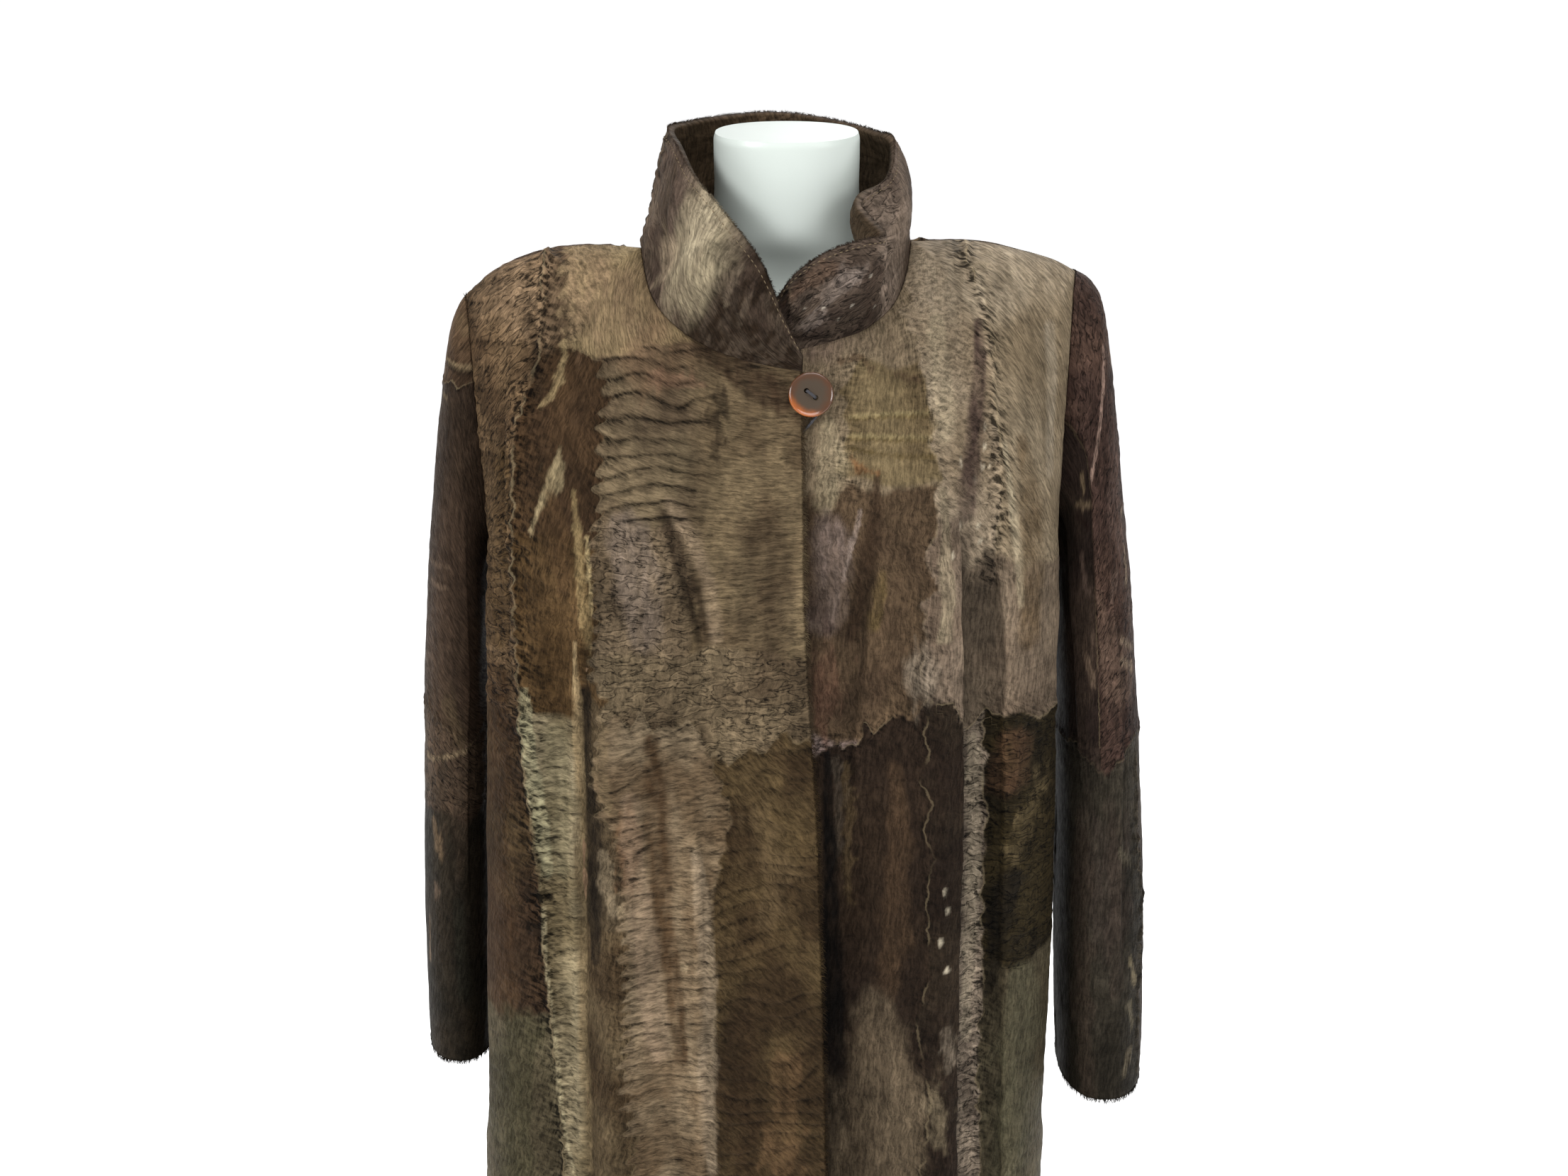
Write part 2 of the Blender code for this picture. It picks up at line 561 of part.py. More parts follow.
def make_collar(material):
    """The standing collar: a strip from the neckline to its top edge, with its roll and its folds."""
    foot, base = collar_foot()
    foot = foot + [0, 0, 0.0006]
    edge = np.stack(COLLAR.at(base, "x", "y", "z"), axis=-1)
    outside = unit((foot + edge) / 2 * [1, 1, 0])
    height = np.linspace(0, 1, COLLAR_ROWS + 1)[:, None]
    swell = 6.75 * height**2 * (1 - height) * COLLAR.at(base, "roll")
    for row in COLLAR_FOLDS:
        fold = dict(zip(COLLAR_FOLD_COLUMNS, row))
        place = fold["foot"] + (fold["top"] - fold["foot"]) * height
        swell += fold["depth"] * np.exp(-(((base - place) / fold["width"]) ** 2)) * 4 * height * (1 - height)
    outer = foot + (edge - foot) * height[..., None] + outside * swell[..., None]
    outer = outer[:, ::-1]  # so that seen from outside the columns run to the right
    inward = -outward(outer)
    inward[0] = unit(inward[0] * [1, 1, 0])
    return wall("collar", outer, outer + inward * COLLAR_WALL, material)


def make_form(material):
    """The dress form: one smooth closed body from the torso's cut bottom to the cut neck."""
    z = np.interp(np.linspace(0, 1, FORM_RINGS), np.linspace(0, 1, len(FORM.rows)), FORM.rows[:, 0])
    half_width, front_y, back_y = (v[:, None] for v in FORM.at(z, "half_width", "front_y", "back_y"))
    turn = np.linspace(0, 2 * math.pi, FORM_SIDES, endpoint=False)[None]
    across, ahead = np.sin(turn), np.cos(turn)
    radius = (np.abs(across) ** FORM_ROUNDNESS + np.abs(ahead) ** FORM_ROUNDNESS) ** (-1 / FORM_ROUNDNESS)
    points = np.empty((FORM_RINGS, FORM_SIDES, 3))
    points[..., 0] = half_width * across * radius
    points[..., 1] = np.where(ahead > 0, front_y, -back_y) * ahead * radius
    points[..., 2] = z[:, None]
    shape = bmesh.new()
    rings = [[shape.verts.new(point) for point in ring] for ring in points]
    for low, high in zip(rings, rings[1:]):
        for i in range(FORM_SIDES):
            j = (i + 1) % FORM_SIDES
            shape.faces.new((low[i], low[j], high[j], high[i]))
    shape.faces.new(rings[0][::-1])
    shape.faces.new(rings[-1])
    mesh = bpy.data.meshes.new("dress_form")
    shape.to_mesh(mesh)
    shape.free()
    mesh.shade_smooth()
    mesh.set_sharp_from_angle(angle=math.radians(50))
    return node("dress_form", mesh, material)


def turned(name, profile, material, steps=40):
    """A solid turned about Z from a profile of (radius, height) points that runs down its outer side."""
    mesh = bpy.data.meshes.new(name)
    points = [(radius, 0, height) for radius, height in profile]
    mesh.from_pydata(points, [(i, i + 1) for i in range(len(points) - 1)], [])
    thing = node(name, mesh, material)
    screw = thing.modifiers.new("turn", "SCREW")
    screw.steps = screw.render_steps = steps
    screw.use_merge_vertices = True
    screw.merge_threshold = 0.00001
    screw.use_smooth_shade = False
    return thing


def make_stand(material):
    """The base plate with its socket, the pole, and the flange under the form."""
    socket_floor = HUB_HEIGHT - SOCKET_DEPTH
    turned(
        "stand_base",
        (
            (0, socket_floor),
            (SOCKET_RADIUS, socket_floor),
            (SOCKET_RADIUS, HUB_HEIGHT),
            (0.020, HUB_HEIGHT),
            (0.024, HUB_HEIGHT - 0.004),
            (0.027, BASE_THICKNESS + 0.008),
            (0.036, BASE_THICKNESS + 0.002),
            (BASE_RADIUS - 0.006, BASE_THICKNESS),
            (BASE_RADIUS, BASE_THICKNESS - 0.005),
            (BASE_RADIUS, 0),
            (0, 0),
        ),
        material,
        48,
    )
    flange_low = FORM_BOTTOM_Z - SEAM_GAP - FLANGE_THICKNESS
    turned(
        "stand_pole",
        (
            (0, flange_low - SEAM_GAP),
            (POLE_RADIUS, flange_low - SEAM_GAP),
            (POLE_RADIUS, socket_floor + SEAM_GAP),
            (0, socket_floor + SEAM_GAP),
        ),
        material,
        24,
    )
    turned(
        "stand_flange",
        (
            (0, FORM_BOTTOM_Z - SEAM_GAP),
            (FLANGE_RADIUS, FORM_BOTTOM_Z - SEAM_GAP),
            (FLANGE_RADIUS, flange_low),
            (0, flange_low),
        ),
        material,
        32,
    )


def lay_on_chest(thing):
    """Turns an object made about Z so that its +Z looks out of the chest, at the button's place."""
    thing.location = BUTTON_AT
    thing.rotation_euler = (math.pi / 2 - BUTTON_TILT, 0, 0)


def make_button(material, thread_material):
    """A dished two-hole button, and the thread that crosses its face and goes back to the cloth."""
    button = turned(
        "button",
        (
            (0, 0.0010),
            (0.0080, 0.0012),
            (0.0125, 0.0018),
            (0.0150, 0.0020),
            (BUTTON_RADIUS, 0.0008),
            (BUTTON_RADIUS, -0.0004),
            (0.0150, 0.0020 - BUTTON_THICKNESS),
            (0, 0.0020 - BUTTON_THICKNESS),
        ),
        material,
    )
    lay_on_chest(button)
    cutters = bpy.data.collections.new("cutters")
    bpy.context.scene.collection.children.link(cutters)
    slant = math.radians(-38)
    places = [np.array([math.cos(slant), math.sin(slant)]) * HOLE_OFFSET * sign for sign in (-1, 1)]
    for number, (x, y) in enumerate(places):
        mesh = bpy.data.meshes.new(f"hole_cutter_{number}")
        shape = bmesh.new()
        round_hole = {"segments": 12, "radius1": HOLE_RADIUS, "radius2": HOLE_RADIUS, "depth": 0.02}
        bmesh.ops.create_cone(shape, cap_ends=True, **round_hole)
        bmesh.ops.translate(shape, verts=shape.verts, vec=(x, y, 0))
        shape.to_mesh(mesh)
        shape.free()
        cutter = bpy.data.objects.new(mesh.name, mesh)
        cutters.objects.link(cutter)
        lay_on_chest(cutter)
        cutter.hide_render = True
        cutter.display_type = "WIRE"
        cut = button.modifiers.new(f"hole_{number}", "BOOLEAN")
        cut.operation = "DIFFERENCE"
        cut.object = cutter
    (ax, ay), (bx, by) = places
    face, back = 0.0026, -0.0090
    curve = bpy.data.curves.new("button_thread", "CURVE")
    curve.dimensions = "3D"
    curve.bevel_depth = THREAD_RADIUS
    curve.bevel_resolution = 1
    curve.use_fill_caps = True
    spline = curve.splines.new("POLY")
    route = [
        (ax * 0.55, ay * 0.55, back),
        (ax, ay, -0.0026),
        (ax, ay, 0.0014),
        (ax * 0.75, ay * 0.75, face),
        (bx * 0.75, by * 0.75, face),
        (bx, by, 0.0014),
        (bx, by, -0.0026),
        (bx * 0.55, by * 0.55, back),
    ]
    spline.points.add(len(route) - 1)
    for point, place in zip(spline.points, route):
        point.co = (*place, 1)
    thread = bpy.data.objects.new("button_thread", curve)
    curve.materials.append(thread_material)
    bpy.data.collections["broadtail_coat"].objects.link(thread)
    lay_on_chest(thread)


def make_loop(material):
    """The cord loop from the over front's edge, round behind the button's thread and back."""
    route = [
        (0.0124, -0.1178, 1.2872),
        (0.0180, -0.1190, 1.2864),
        (0.0228, -0.1212, 1.2830),
        (0.0255, -0.1240, 1.2775),
        (0.0250, -0.1262, 1.2710),
        (0.0205, -0.1278, 1.2630),
        (0.0140, -0.1288, 1.2555),
        (0.0070, -0.1298, 1.2500),
    ]
    curve = bpy.data.curves.new("fastening_loop", "CURVE")
    curve.dimensions = "3D"
    curve.bevel_depth = LOOP_RADIUS
    curve.bevel_resolution = 2
    curve.resolution_u = 4
    curve.use_fill_caps = True
    spline = curve.splines.new("BEZIER")
    spline.bezier_points.add(len(route) - 1)
    for point, place in zip(spline.bezier_points, route):
        point.co = place
        point.handle_left_type = point.handle_right_type = "AUTO"
    loop = bpy.data.objects.new("fastening_loop", curve)
    curve.materials.append(material)
    bpy.data.collections["broadtail_coat"].objects.link(loop)


def finish(name, colour, roughness, metallic=0.0, transmission=0.0):
    """A Principled material."""
    material = bpy.data.materials.new(name)
    material.use_nodes = True
    shader = material.node_tree.nodes["Principled BSDF"]
    shader.inputs["Base Color"].default_value = (*colour, 1)
    shader.inputs["Roughness"].default_value = roughness
    shader.inputs["Metallic"].default_value = metallic
    shader.inputs["Transmission Weight"].default_value = transmission
    return material


def main():
    for thing in list(bpy.data.objects):
        bpy.data.objects.remove(thing)
    bpy.context.scene.collection.children.link(bpy.data.collections.new("broadtail_coat"))
    pelt = finish("brown broadtail fur", (0.13, 0.09, 0.06), 0.55)
    resin = finish("amber resin", (0.30, 0.12, 0.04), 0.20, transmission=0.4)
    cord = finish("grey cord", (0.12, 0.12, 0.14), 0.70)
    plastic = finish("white plastic", (0.80, 0.84, 0.82), 0.35)
    steel = finish("brushed steel", (0.55, 0.55, 0.56), 0.35, metallic=1.0)
    for panel in ("front_right", "front_left", "back"):
        make_panel(panel, pelt)
    make_sleeve("right", pelt)
    make_sleeve("left", pelt)
    make_collar(pelt)
    make_button(resin, cord)
    make_loop(cord)
    make_form(plastic)
    make_stand(steel)


main()
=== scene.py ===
"""The looks of a broadtail fur coat on a limbless dress form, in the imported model's own frame.

The front faces -Y and +Z is up; right and left are the wearer's. Each fur panel is a thin shell on
the same surface as its solid, with the joins of its pelts, its creases and its ruffles raised in
the mesh, and its tones, ripples and nap carried to the material by attributes.
"""

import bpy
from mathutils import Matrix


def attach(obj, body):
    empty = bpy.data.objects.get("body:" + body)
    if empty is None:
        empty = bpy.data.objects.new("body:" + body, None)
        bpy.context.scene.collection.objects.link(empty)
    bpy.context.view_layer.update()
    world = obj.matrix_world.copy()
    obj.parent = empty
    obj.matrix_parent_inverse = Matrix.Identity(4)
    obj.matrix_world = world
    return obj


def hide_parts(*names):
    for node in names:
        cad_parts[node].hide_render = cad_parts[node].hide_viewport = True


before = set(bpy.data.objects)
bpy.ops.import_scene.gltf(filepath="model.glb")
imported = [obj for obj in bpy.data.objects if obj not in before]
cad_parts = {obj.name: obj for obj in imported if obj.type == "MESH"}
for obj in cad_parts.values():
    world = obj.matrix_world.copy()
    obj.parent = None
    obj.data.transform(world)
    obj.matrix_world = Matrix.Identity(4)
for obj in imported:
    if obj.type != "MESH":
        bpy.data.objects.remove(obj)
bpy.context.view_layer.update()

import logging
import math
from dataclasses import dataclass, field
from enum import Enum

import bmesh
import bpy
import numpy as np
from numpy.typing import NDArray

LOG = logging.getLogger("broadtail_coat")
Array = NDArray[np.float64]
Path2 = tuple[tuple[float, float], ...]

# Driving sizes, in metres, the same as the solids'
WALL, COLLAR_WALL, SEAM_GAP = 0.003, 0.005, 0.0003
HEM_Z, UNDERARM_Z = 0.320, 1.130
BODY_CENTRE_X, SIDE_SEAM_Y, FULLEST_Y = -0.012, 0.005, -0.045
FRONT_ROUNDNESS, BACK_ROUNDNESS, SLEEVE_ROUNDNESS = 2.8, 2.4, 2.3
ARMHOLE_FRONT, ARMHOLE_BACK = 0.062, 0.066
NECK_LEAN = 60
SECTION_SAMPLES = 900
SIDE_DENT, DENT_TOP_Z, DENT_LOW_Z = 0.013, 1.10, 0.66
FOLD_FADE = 0.16
FRONT_NECK_SHARE = 14 / 24  # the part of a front's columns that end on its neckline
BACK_SHOULDER_SHARE = 10 / 34  # the part of the back's columns that end on each shoulder
MM = 1000  # millimetres in a metre
RELIEF_FADE = 0.006  # relief dies out over this distance from a seam
ROW_PITCH, COLUMN_PITCH = 0.0026, 0.0022  # about how far apart a panel's points lie
RIPPLE_HEIGHT, CURL_HEIGHT, BRICK_HEIGHT = 0.0021, 0.00045, 0.0013
JOIN_WIDTH = 0.0026  # half the width of the low ridge along a join
FULL_FRILL = 2.8  # the ruffle, in millimetres, whose hair is fanned out in full
FAR_FROM_JOINS = 0.02
PLAIN_RELIEF = (0.0, 0.0, FAR_FROM_JOINS, 0.0)  # no ripple, no join and no frill


class Table:
    """Rows of sizes under named columns, read as smooth curves along the first column."""

    def __init__(self, columns: str, *rows: tuple[float, ...]) -> None:
        """Keeps the rows.

        Args:
            columns: the columns' names, with spaces between them.
            rows: one tuple of numbers for each row, the first column rising.
        """
        self.columns = columns.split()
        self.rows = np.array(rows, float)

    def at(self, where: Array, *columns: str) -> list[Array]:
        """Cubic curves through the rows, with the slopes of the rows on both sides.

        Args:
            where: values of the first column.
            columns: the names of the columns wanted.

        Returns:
            One array for each column, in the shape of where.
        """
        knots = self.rows[:, 0]
        where = np.clip(np.asarray(where, float), knots[0], knots[-1])
        row = np.clip(np.searchsorted(knots, where, side="right") - 1, 0, len(knots) - 2)
        span = knots[row + 1] - knots[row]
        u = (where - knots[row]) / span
        found = []
        for column in columns:
            value = self.rows[:, self.columns.index(column)]
            slope = np.gradient(value, knots)
            found.append(
                value[row] * (1 + 2 * u) * (1 - u) ** 2
                + value[row + 1] * u * u * (3 - 2 * u)
                + span * (slope[row] * u * (1 - u) ** 2 - slope[row + 1] * u * u * (1 - u))
            )
        return found


BODY = Table(
    "z right_x left_x front_y back_y over_x under_x recess",
    (0.320, -0.247, 0.214, -0.171, 0.150, 0.024, 0.078, 0.034),
    (0.480, -0.243, 0.207, -0.168, 0.143, 0.028, 0.062, 0.033),
    (0.630, -0.2395, 0.203, -0.165, 0.137, 0.0305, 0.036, 0.031),
    (0.765, -0.238, 0.208, -0.162, 0.131, 0.0285, 0.020, 0.026),
    (0.865, -0.236, 0.210, -0.160, 0.126, 0.0255, 0.010, 0.020),
    (0.960, -0.234, 0.210, -0.158, 0.121, 0.0225, -0.004, 0.014),
    (1.055, -0.231, 0.209, -0.156, 0.117, 0.0165, -0.018, 0.009),
    (1.130, -0.226, 0.205, -0.152, 0.115, 0.0125, -0.024, 0.0072),
)
NECKLINES = {
    "front_right": Table(
        "share x y z",
        (0.00, 0.0105, -0.1150, 1.2945),
        (0.20, -0.0220, -0.1090, 1.2990),
        (0.40, -0.0530, -0.0980, 1.3065),
        (0.60, -0.0800, -0.0800, 1.3190),
        (0.80, -0.1000, -0.0500, 1.3370),
        (0.90, -0.1055, -0.0270, 1.3490),
        (1.00, -0.1090, 0.0000, 1.3630),
    ),
    "front_left": Table(
        "share x y z",
        (0.00, -0.0240, -0.0990, 1.3000),
        (0.25, 0.0080, -0.1010, 1.3070),
        (0.45, 0.0330, -0.0960, 1.3125),
        (0.65, 0.0610, -0.0830, 1.3210),
        (0.82, 0.0820, -0.0560, 1.3370),
        (0.92, 0.0895, -0.0280, 1.3520),
        (1.00, 0.0930, 0.0000, 1.3680),
    ),
    "back": Table(
        "share x y z",
        (0.00, -0.1090, 0.0000, 1.3630),
        (0.16, -0.1000, 0.0330, 1.3670),
        (0.32, -0.0700, 0.0610, 1.3705),
        (0.50, -0.0060, 0.0740, 1.3725),
        (0.68, 0.0550, 0.0620, 1.3720),
        (0.84, 0.0840, 0.0330, 1.3705),
        (1.00, 0.0930, 0.0000, 1.3680),
    ),
}
SHOULDERS = {
    "right": Table(
        "share x y z",
        (0.00, -0.1090, 0.0000, 1.3630),
        (0.25, -0.1440, 0.0040, 1.3645),
        (0.55, -0.1860, 0.0060, 1.3585),
        (0.78, -0.2180, 0.0060, 1.3450),
        (1.00, -0.2430, 0.0060, 1.3250),
    ),
    "left": Table(
        "share x y z",
        (0.00, 0.0930, 0.0000, 1.3680),
        (0.35, 0.1400, 0.0040, 1.3675),
        (0.62, 0.1760, 0.0060, 1.3600),
        (0.82, 0.2010, 0.0060, 1.3530),
        (1.00, 0.2180, 0.0060, 1.3440),
    ),
}
# The large folds: x_top z_top x_low z_low width depth, as in the solids
FOLDS = {
    "front_right": (
        (-0.134, 1.180, -0.139, 0.320, 0.020, 0.0120),
        (-0.163, 1.180, -0.168, 0.320, 0.020, -0.0150),
        (-0.090, 1.240, -0.030, 0.900, 0.024, -0.0080),
        (-0.084, 1.060, -0.090, 0.320, 0.020, -0.0070),
        (-0.058, 1.060, -0.052, 0.320, 0.020, 0.0070),
        (-0.210, 1.120, -0.222, 0.320, 0.022, 0.0060),
        (-0.195, 1.290, -0.205, 1.090, 0.016, -0.0060),
    ),
    "front_left": (
        (0.150, 1.335, 0.158, 1.130, 0.011, -0.0070),
        (0.136, 1.330, 0.146, 1.180, 0.020, -0.0050),
        (0.112, 1.240, 0.124, 0.320, 0.020, 0.0110),
        (0.136, 1.240, 0.152, 0.320, 0.018, -0.0130),
        (0.168, 1.240, 0.182, 0.320, 0.022, 0.0060),
        (0.085, 1.220, 0.048, 0.900, 0.024, -0.0070),
        (0.080, 0.980, 0.092, 0.320, 0.026, 0.0060),
    ),
    "back": (
        (-0.150, 1.060, -0.165, 0.320, 0.030, 0.0140),
        (-0.105, 1.060, -0.115, 0.320, 0.026, -0.0120),
        (-0.050, 1.160, -0.058, 0.320, 0.032, 0.0110),
        (-0.006, 1.100, -0.006, 0.320, 0.028, -0.0130),
        (0.042, 1.160, 0.050, 0.320, 0.030, 0.0120),
        (0.095, 1.060, 0.106, 0.320, 0.026, -0.0110),
        (0.136, 1.060, 0.150, 0.320, 0.030, 0.0120),
    ),
}
SLEEVES = {
    "right": Table(
        "ring outer_x outer_z inner_x inner_z front_y back_y",
        (0, -0.2430, 1.3250, -0.2260, 1.1300, -0.0570, 0.0710),
        (1, -0.2520, 1.2980, -0.2310, 1.1160, -0.0610, 0.0780),
        (2, -0.2575, 1.2620, -0.2325, 1.0940, -0.0630, 0.0830),
        (3, -0.2645, 1.2100, -0.2330, 1.0620, -0.0640, 0.0880),
        (4, -0.2710, 1.1500, -0.2330, 1.0260, -0.0640, 0.0930),
        (5, -0.2765, 1.0850, -0.2330, 0.9850, -0.0620, 0.0980),
        (6, -0.2815, 1.0000, -0.2330, 0.9350, -0.0580, 0.1030),
        (7, -0.2850, 0.9000, -0.2345, 0.8700, -0.0520, 0.1070),
        (8, -0.2875, 0.8050, -0.2355, 0.7950, -0.0460, 0.1090),
        (9, -0.2875, 0.7170, -0.2390, 0.7130, -0.0420, 0.1080),
    ),
    "left": Table(
        "ring outer_x outer_z inner_x inner_z front_y back_y",
        (0, 0.2180, 1.3440, 0.2050, 1.1300, -0.0570, 0.0710),
        (1, 0.2340, 1.3240, 0.2100, 1.1160, -0.0640, 0.0760),
        (2, 0.2415, 1.2850, 0.2115, 1.0930, -0.0690, 0.0790),
        (3, 0.2480, 1.2300, 0.2120, 1.0600, -0.0740, 0.0800),
        (4, 0.2555, 1.1600, 0.2140, 1.0250, -0.0790, 0.0790),
        (5, 0.2630, 1.0850, 0.2150, 0.9850, -0.0840, 0.0770),
        (6, 0.2700, 1.0000, 0.2160, 0.9350, -0.0890, 0.0740),
        (7, 0.2760, 0.9000, 0.2160, 0.8700, -0.0940, 0.0700),
        (8, 0.2795, 0.8100, 0.2170, 0.8000, -0.0980, 0.0650),
        (9, 0.2795, 0.7110, 0.2210, 0.7080, -0.1000, 0.0600),
    ),
}
COLLAR = Table(
    "base x y z roll",
    (0.00, 0.0105, -0.1190, 1.3080, 0.001),
    (0.20, -0.0020, -0.1140, 1.3330, 0.006),
    (0.42, -0.0200, -0.1015, 1.3740, 0.014),
    (0.62, -0.0460, -0.0850, 1.4055, 0.013),
    (0.80, -0.0700, -0.0560, 1.4300, 0.004),
    (0.92, -0.0820, -0.0260, 1.4460, 0.002),
    (1.00, -0.0880, 0.0030, 1.4500, 0.002),
    (1.20, -0.0760, 0.0440, 1.4510, 0.003),
    (1.50, -0.0050, 0.0780, 1.4535, 0.003),
    (1.80, 0.0670, 0.0460, 1.4440, 0.004),
    (2.00, 0.0805, 0.0130, 1.4375, 0.008),
    (2.10, 0.0740, -0.0300, 1.4210, 0.007),
    (2.17, 0.0545, -0.0590, 1.4085, -0.008),
    (2.24, 0.0590, -0.0755, 1.4010, -0.006),
    (2.31, 0.0710, -0.0925, 1.3900, 0.004),
    (2.39, 0.0570, -0.1035, 1.3885, 0.011),
    (2.55, 0.0320, -0.1040, 1.3805, 0.010),
    (2.72, 0.0075, -0.0980, 1.3630, 0.005),
    (2.86, -0.0090, -0.0955, 1.3400, 0.002),
    (3.00, -0.0230, -0.0985, 1.3110, 0.001),
)
# The collar's folds: foot top width depth, as in the solid
COLLAR_FOLDS = (
    (0.66, 0.46, 0.09, 0.0050),
    (0.84, 0.64, 0.07, -0.0060),
    (0.98, 0.78, 0.05, 0.0030),
    (2.36, 2.17, 0.05, -0.0050),
    (2.62, 2.34, 0.06, 0.0040),
)
FORM = Table(
    "z half_width front_y back_y",
    (0.700, 0.150, -0.092, 0.094),
    (0.712, 0.166, -0.102, 0.106),
    (0.780, 0.176, -0.110, 0.112),
    (0.850, 0.173, -0.112, 0.108),
    (0.930, 0.152, -0.108, 0.092),
    (1.010, 0.131, -0.100, 0.078),
    (1.080, 0.142, -0.114, 0.080),
    (1.150, 0.156, -0.131, 0.086),
    (1.210, 0.160, -0.122, 0.084),
    (1.262, 0.158, -0.098, 0.076),
    (1.300, 0.152, -0.078, 0.068),
    (1.328, 0.133, -0.058, 0.058),
    (1.348, 0.1062, -0.0500, 0.0550),
    (1.362, 0.071, -0.050, 0.054),
    (1.376, 0.058, -0.054, 0.056),
    (1.400, 0.0545, -0.055, 0.056),
    (1.440, 0.0543, -0.056, 0.056),
    (1.447, 0.0541, -0.056, 0.056),
    (1.450, 0.0532, -0.055, 0.055),
)
FORM_ROUNDNESS = 2.15


def smooth_step(value: Array) -> Array:
    """0 below 0, 1 above 1, and 3v^2 - 2v^3 between them."""
    value = np.clip(value, 0, 1)
    return value * value * (3 - 2 * value)


def unit(vectors: Array) -> Array:
    """The vectors at length 1."""
    return vectors / np.maximum(np.linalg.norm(vectors, axis=-1, keepdims=True), 1e-12)


def linear(code: str) -> Array:
    """The linear colour of an sRGB hex code such as 8a7660."""
    value = np.array([int(code[i : i + 2], 16) for i in (0, 2, 4)]) / 255
    return np.where(value <= 0.04045, value / 12.92, ((value + 0.055) / 1.055) ** 2.4)


def superellipse(across: Array, ahead: Array, roundness: float | Array) -> Array:
    """How far from the middle a superellipse lies: (|across|^n + |ahead|^n)^(-1/n)."""
    return (np.abs(across) ** roundness + np.abs(ahead) ** roundness) ** (-1 / roundness)


def lengths(line: Array) -> Array:
    """The length along lines of points up to each point, starting at 0."""
    steps = np.linalg.norm(np.diff(line, axis=-2), axis=-1).cumsum(axis=-1)
    return np.concatenate([np.zeros_like(steps[..., :1]), steps], axis=-1)


def from_rims(count: int, pitch: float) -> Array:
    """How far each of a grid's rows or columns lies from the nearer rim."""
    return np.minimum(np.arange(count), np.arange(count)[::-1]) * pitch


def linked(name: str, data: bpy.types.ID) -> bpy.types.Object:
    """A new object with this mesh, light or camera, in the scene."""
    thing = bpy.data.objects.new(name, data)
    bpy.context.scene.collection.objects.link(thing)
    return thing


class Grain:
    """Seeded smooth noise over a plane in metres: a lattice of numbers with smooth steps between."""

    def __init__(self, seed: int) -> None:
        """Fills the lattice from the seed."""
        self.lattice = np.random.default_rng(seed).random((256, 256))

    def at(self, x: Array, y: Array, size: float) -> Array:
        """Smooth noise: the four lattice numbers round each point, mixed by smooth steps.

        Args:
            x: the points' places across.
            y: the points' places up.
            size: about how large the noise's features are.

        Returns:
            A number from 0 to 1 for each point.
        """
        u, v = x / size + 4096.37, y / size + 4096.71  # shifted, so that 0 isn't on a lattice point
        i, j = np.floor(u).astype(int), np.floor(v).astype(int)
        s, t = smooth_step(u - i), smooth_step(v - j)
        i, j, k, m = i % 256, j % 256, (i + 1) % 256, (j + 1) % 256
        low = self.lattice[i, j] * (1 - s) + self.lattice[k, j] * s
        high = self.lattice[i, m] * (1 - s) + self.lattice[k, m] * s
        return low * (1 - t) + high * t

    def rough(self, x: Array, y: Array, size: float, layers: int = 3) -> Array:
        """Layered noise: each layer is turned, and half the size and half the strength of the last.

        Args:
            x: the points' places across.
            y: the points' places up.
            size: about how large the first layer's features are.
            layers: how many layers are added up.

        Returns:
            A number from -1 to 1 for each point.
        """
        total, weight = np.zeros(np.broadcast(x, y).shape), 0.0
        for layer in range(layers):
            turned_x, turned_y = x * 0.8 - y * 0.6, x * 0.6 + y * 0.8
            x, y = turned_x + 0.173, turned_y - 0.219
            total += (self.at(x, y, size / 2**layer) * 2 - 1) / 2**layer
            weight += 1 / 2**layer
        return total / weight

    def locks(self, x: Array, z: Array, least: float) -> Array:
        """Shares from least to 1: how thinly locks of hair 6 mm wide let the tone below show."""
        return least + (1 - least) * smooth_step(0.5 + self.rough(x * 1.7, z * 0.5, 0.006, 2))


class Side(Enum):
    """On which side of a join a pelt lies."""

    RIGHT = 1
    LEFT = -1
    ABOVE = 2
    BELOW = -2


class Edge(Enum):
    """An edge of a panel's outer grid, as seen from outside."""

    LOW = "low"
    HIGH = "high"
    LEFT = "left"
    RIGHT = "right"


class Nap(Enum):
    """Which way the hair lies: the shares of downward, crosswise and slanting strokes, and the curl."""

    DOWN = (0.85, 0.0, 0.15, 0.45)
    ACROSS = (0.05, 0.85, 0.1, 0.5)
    SLANT = (0.1, 0.1, 0.8, 0.5)
    CURLED = (0.4, 0.35, 0.25, 1.0)
    SLEEK = (0.8, 0.0, 0.2, 0.15)


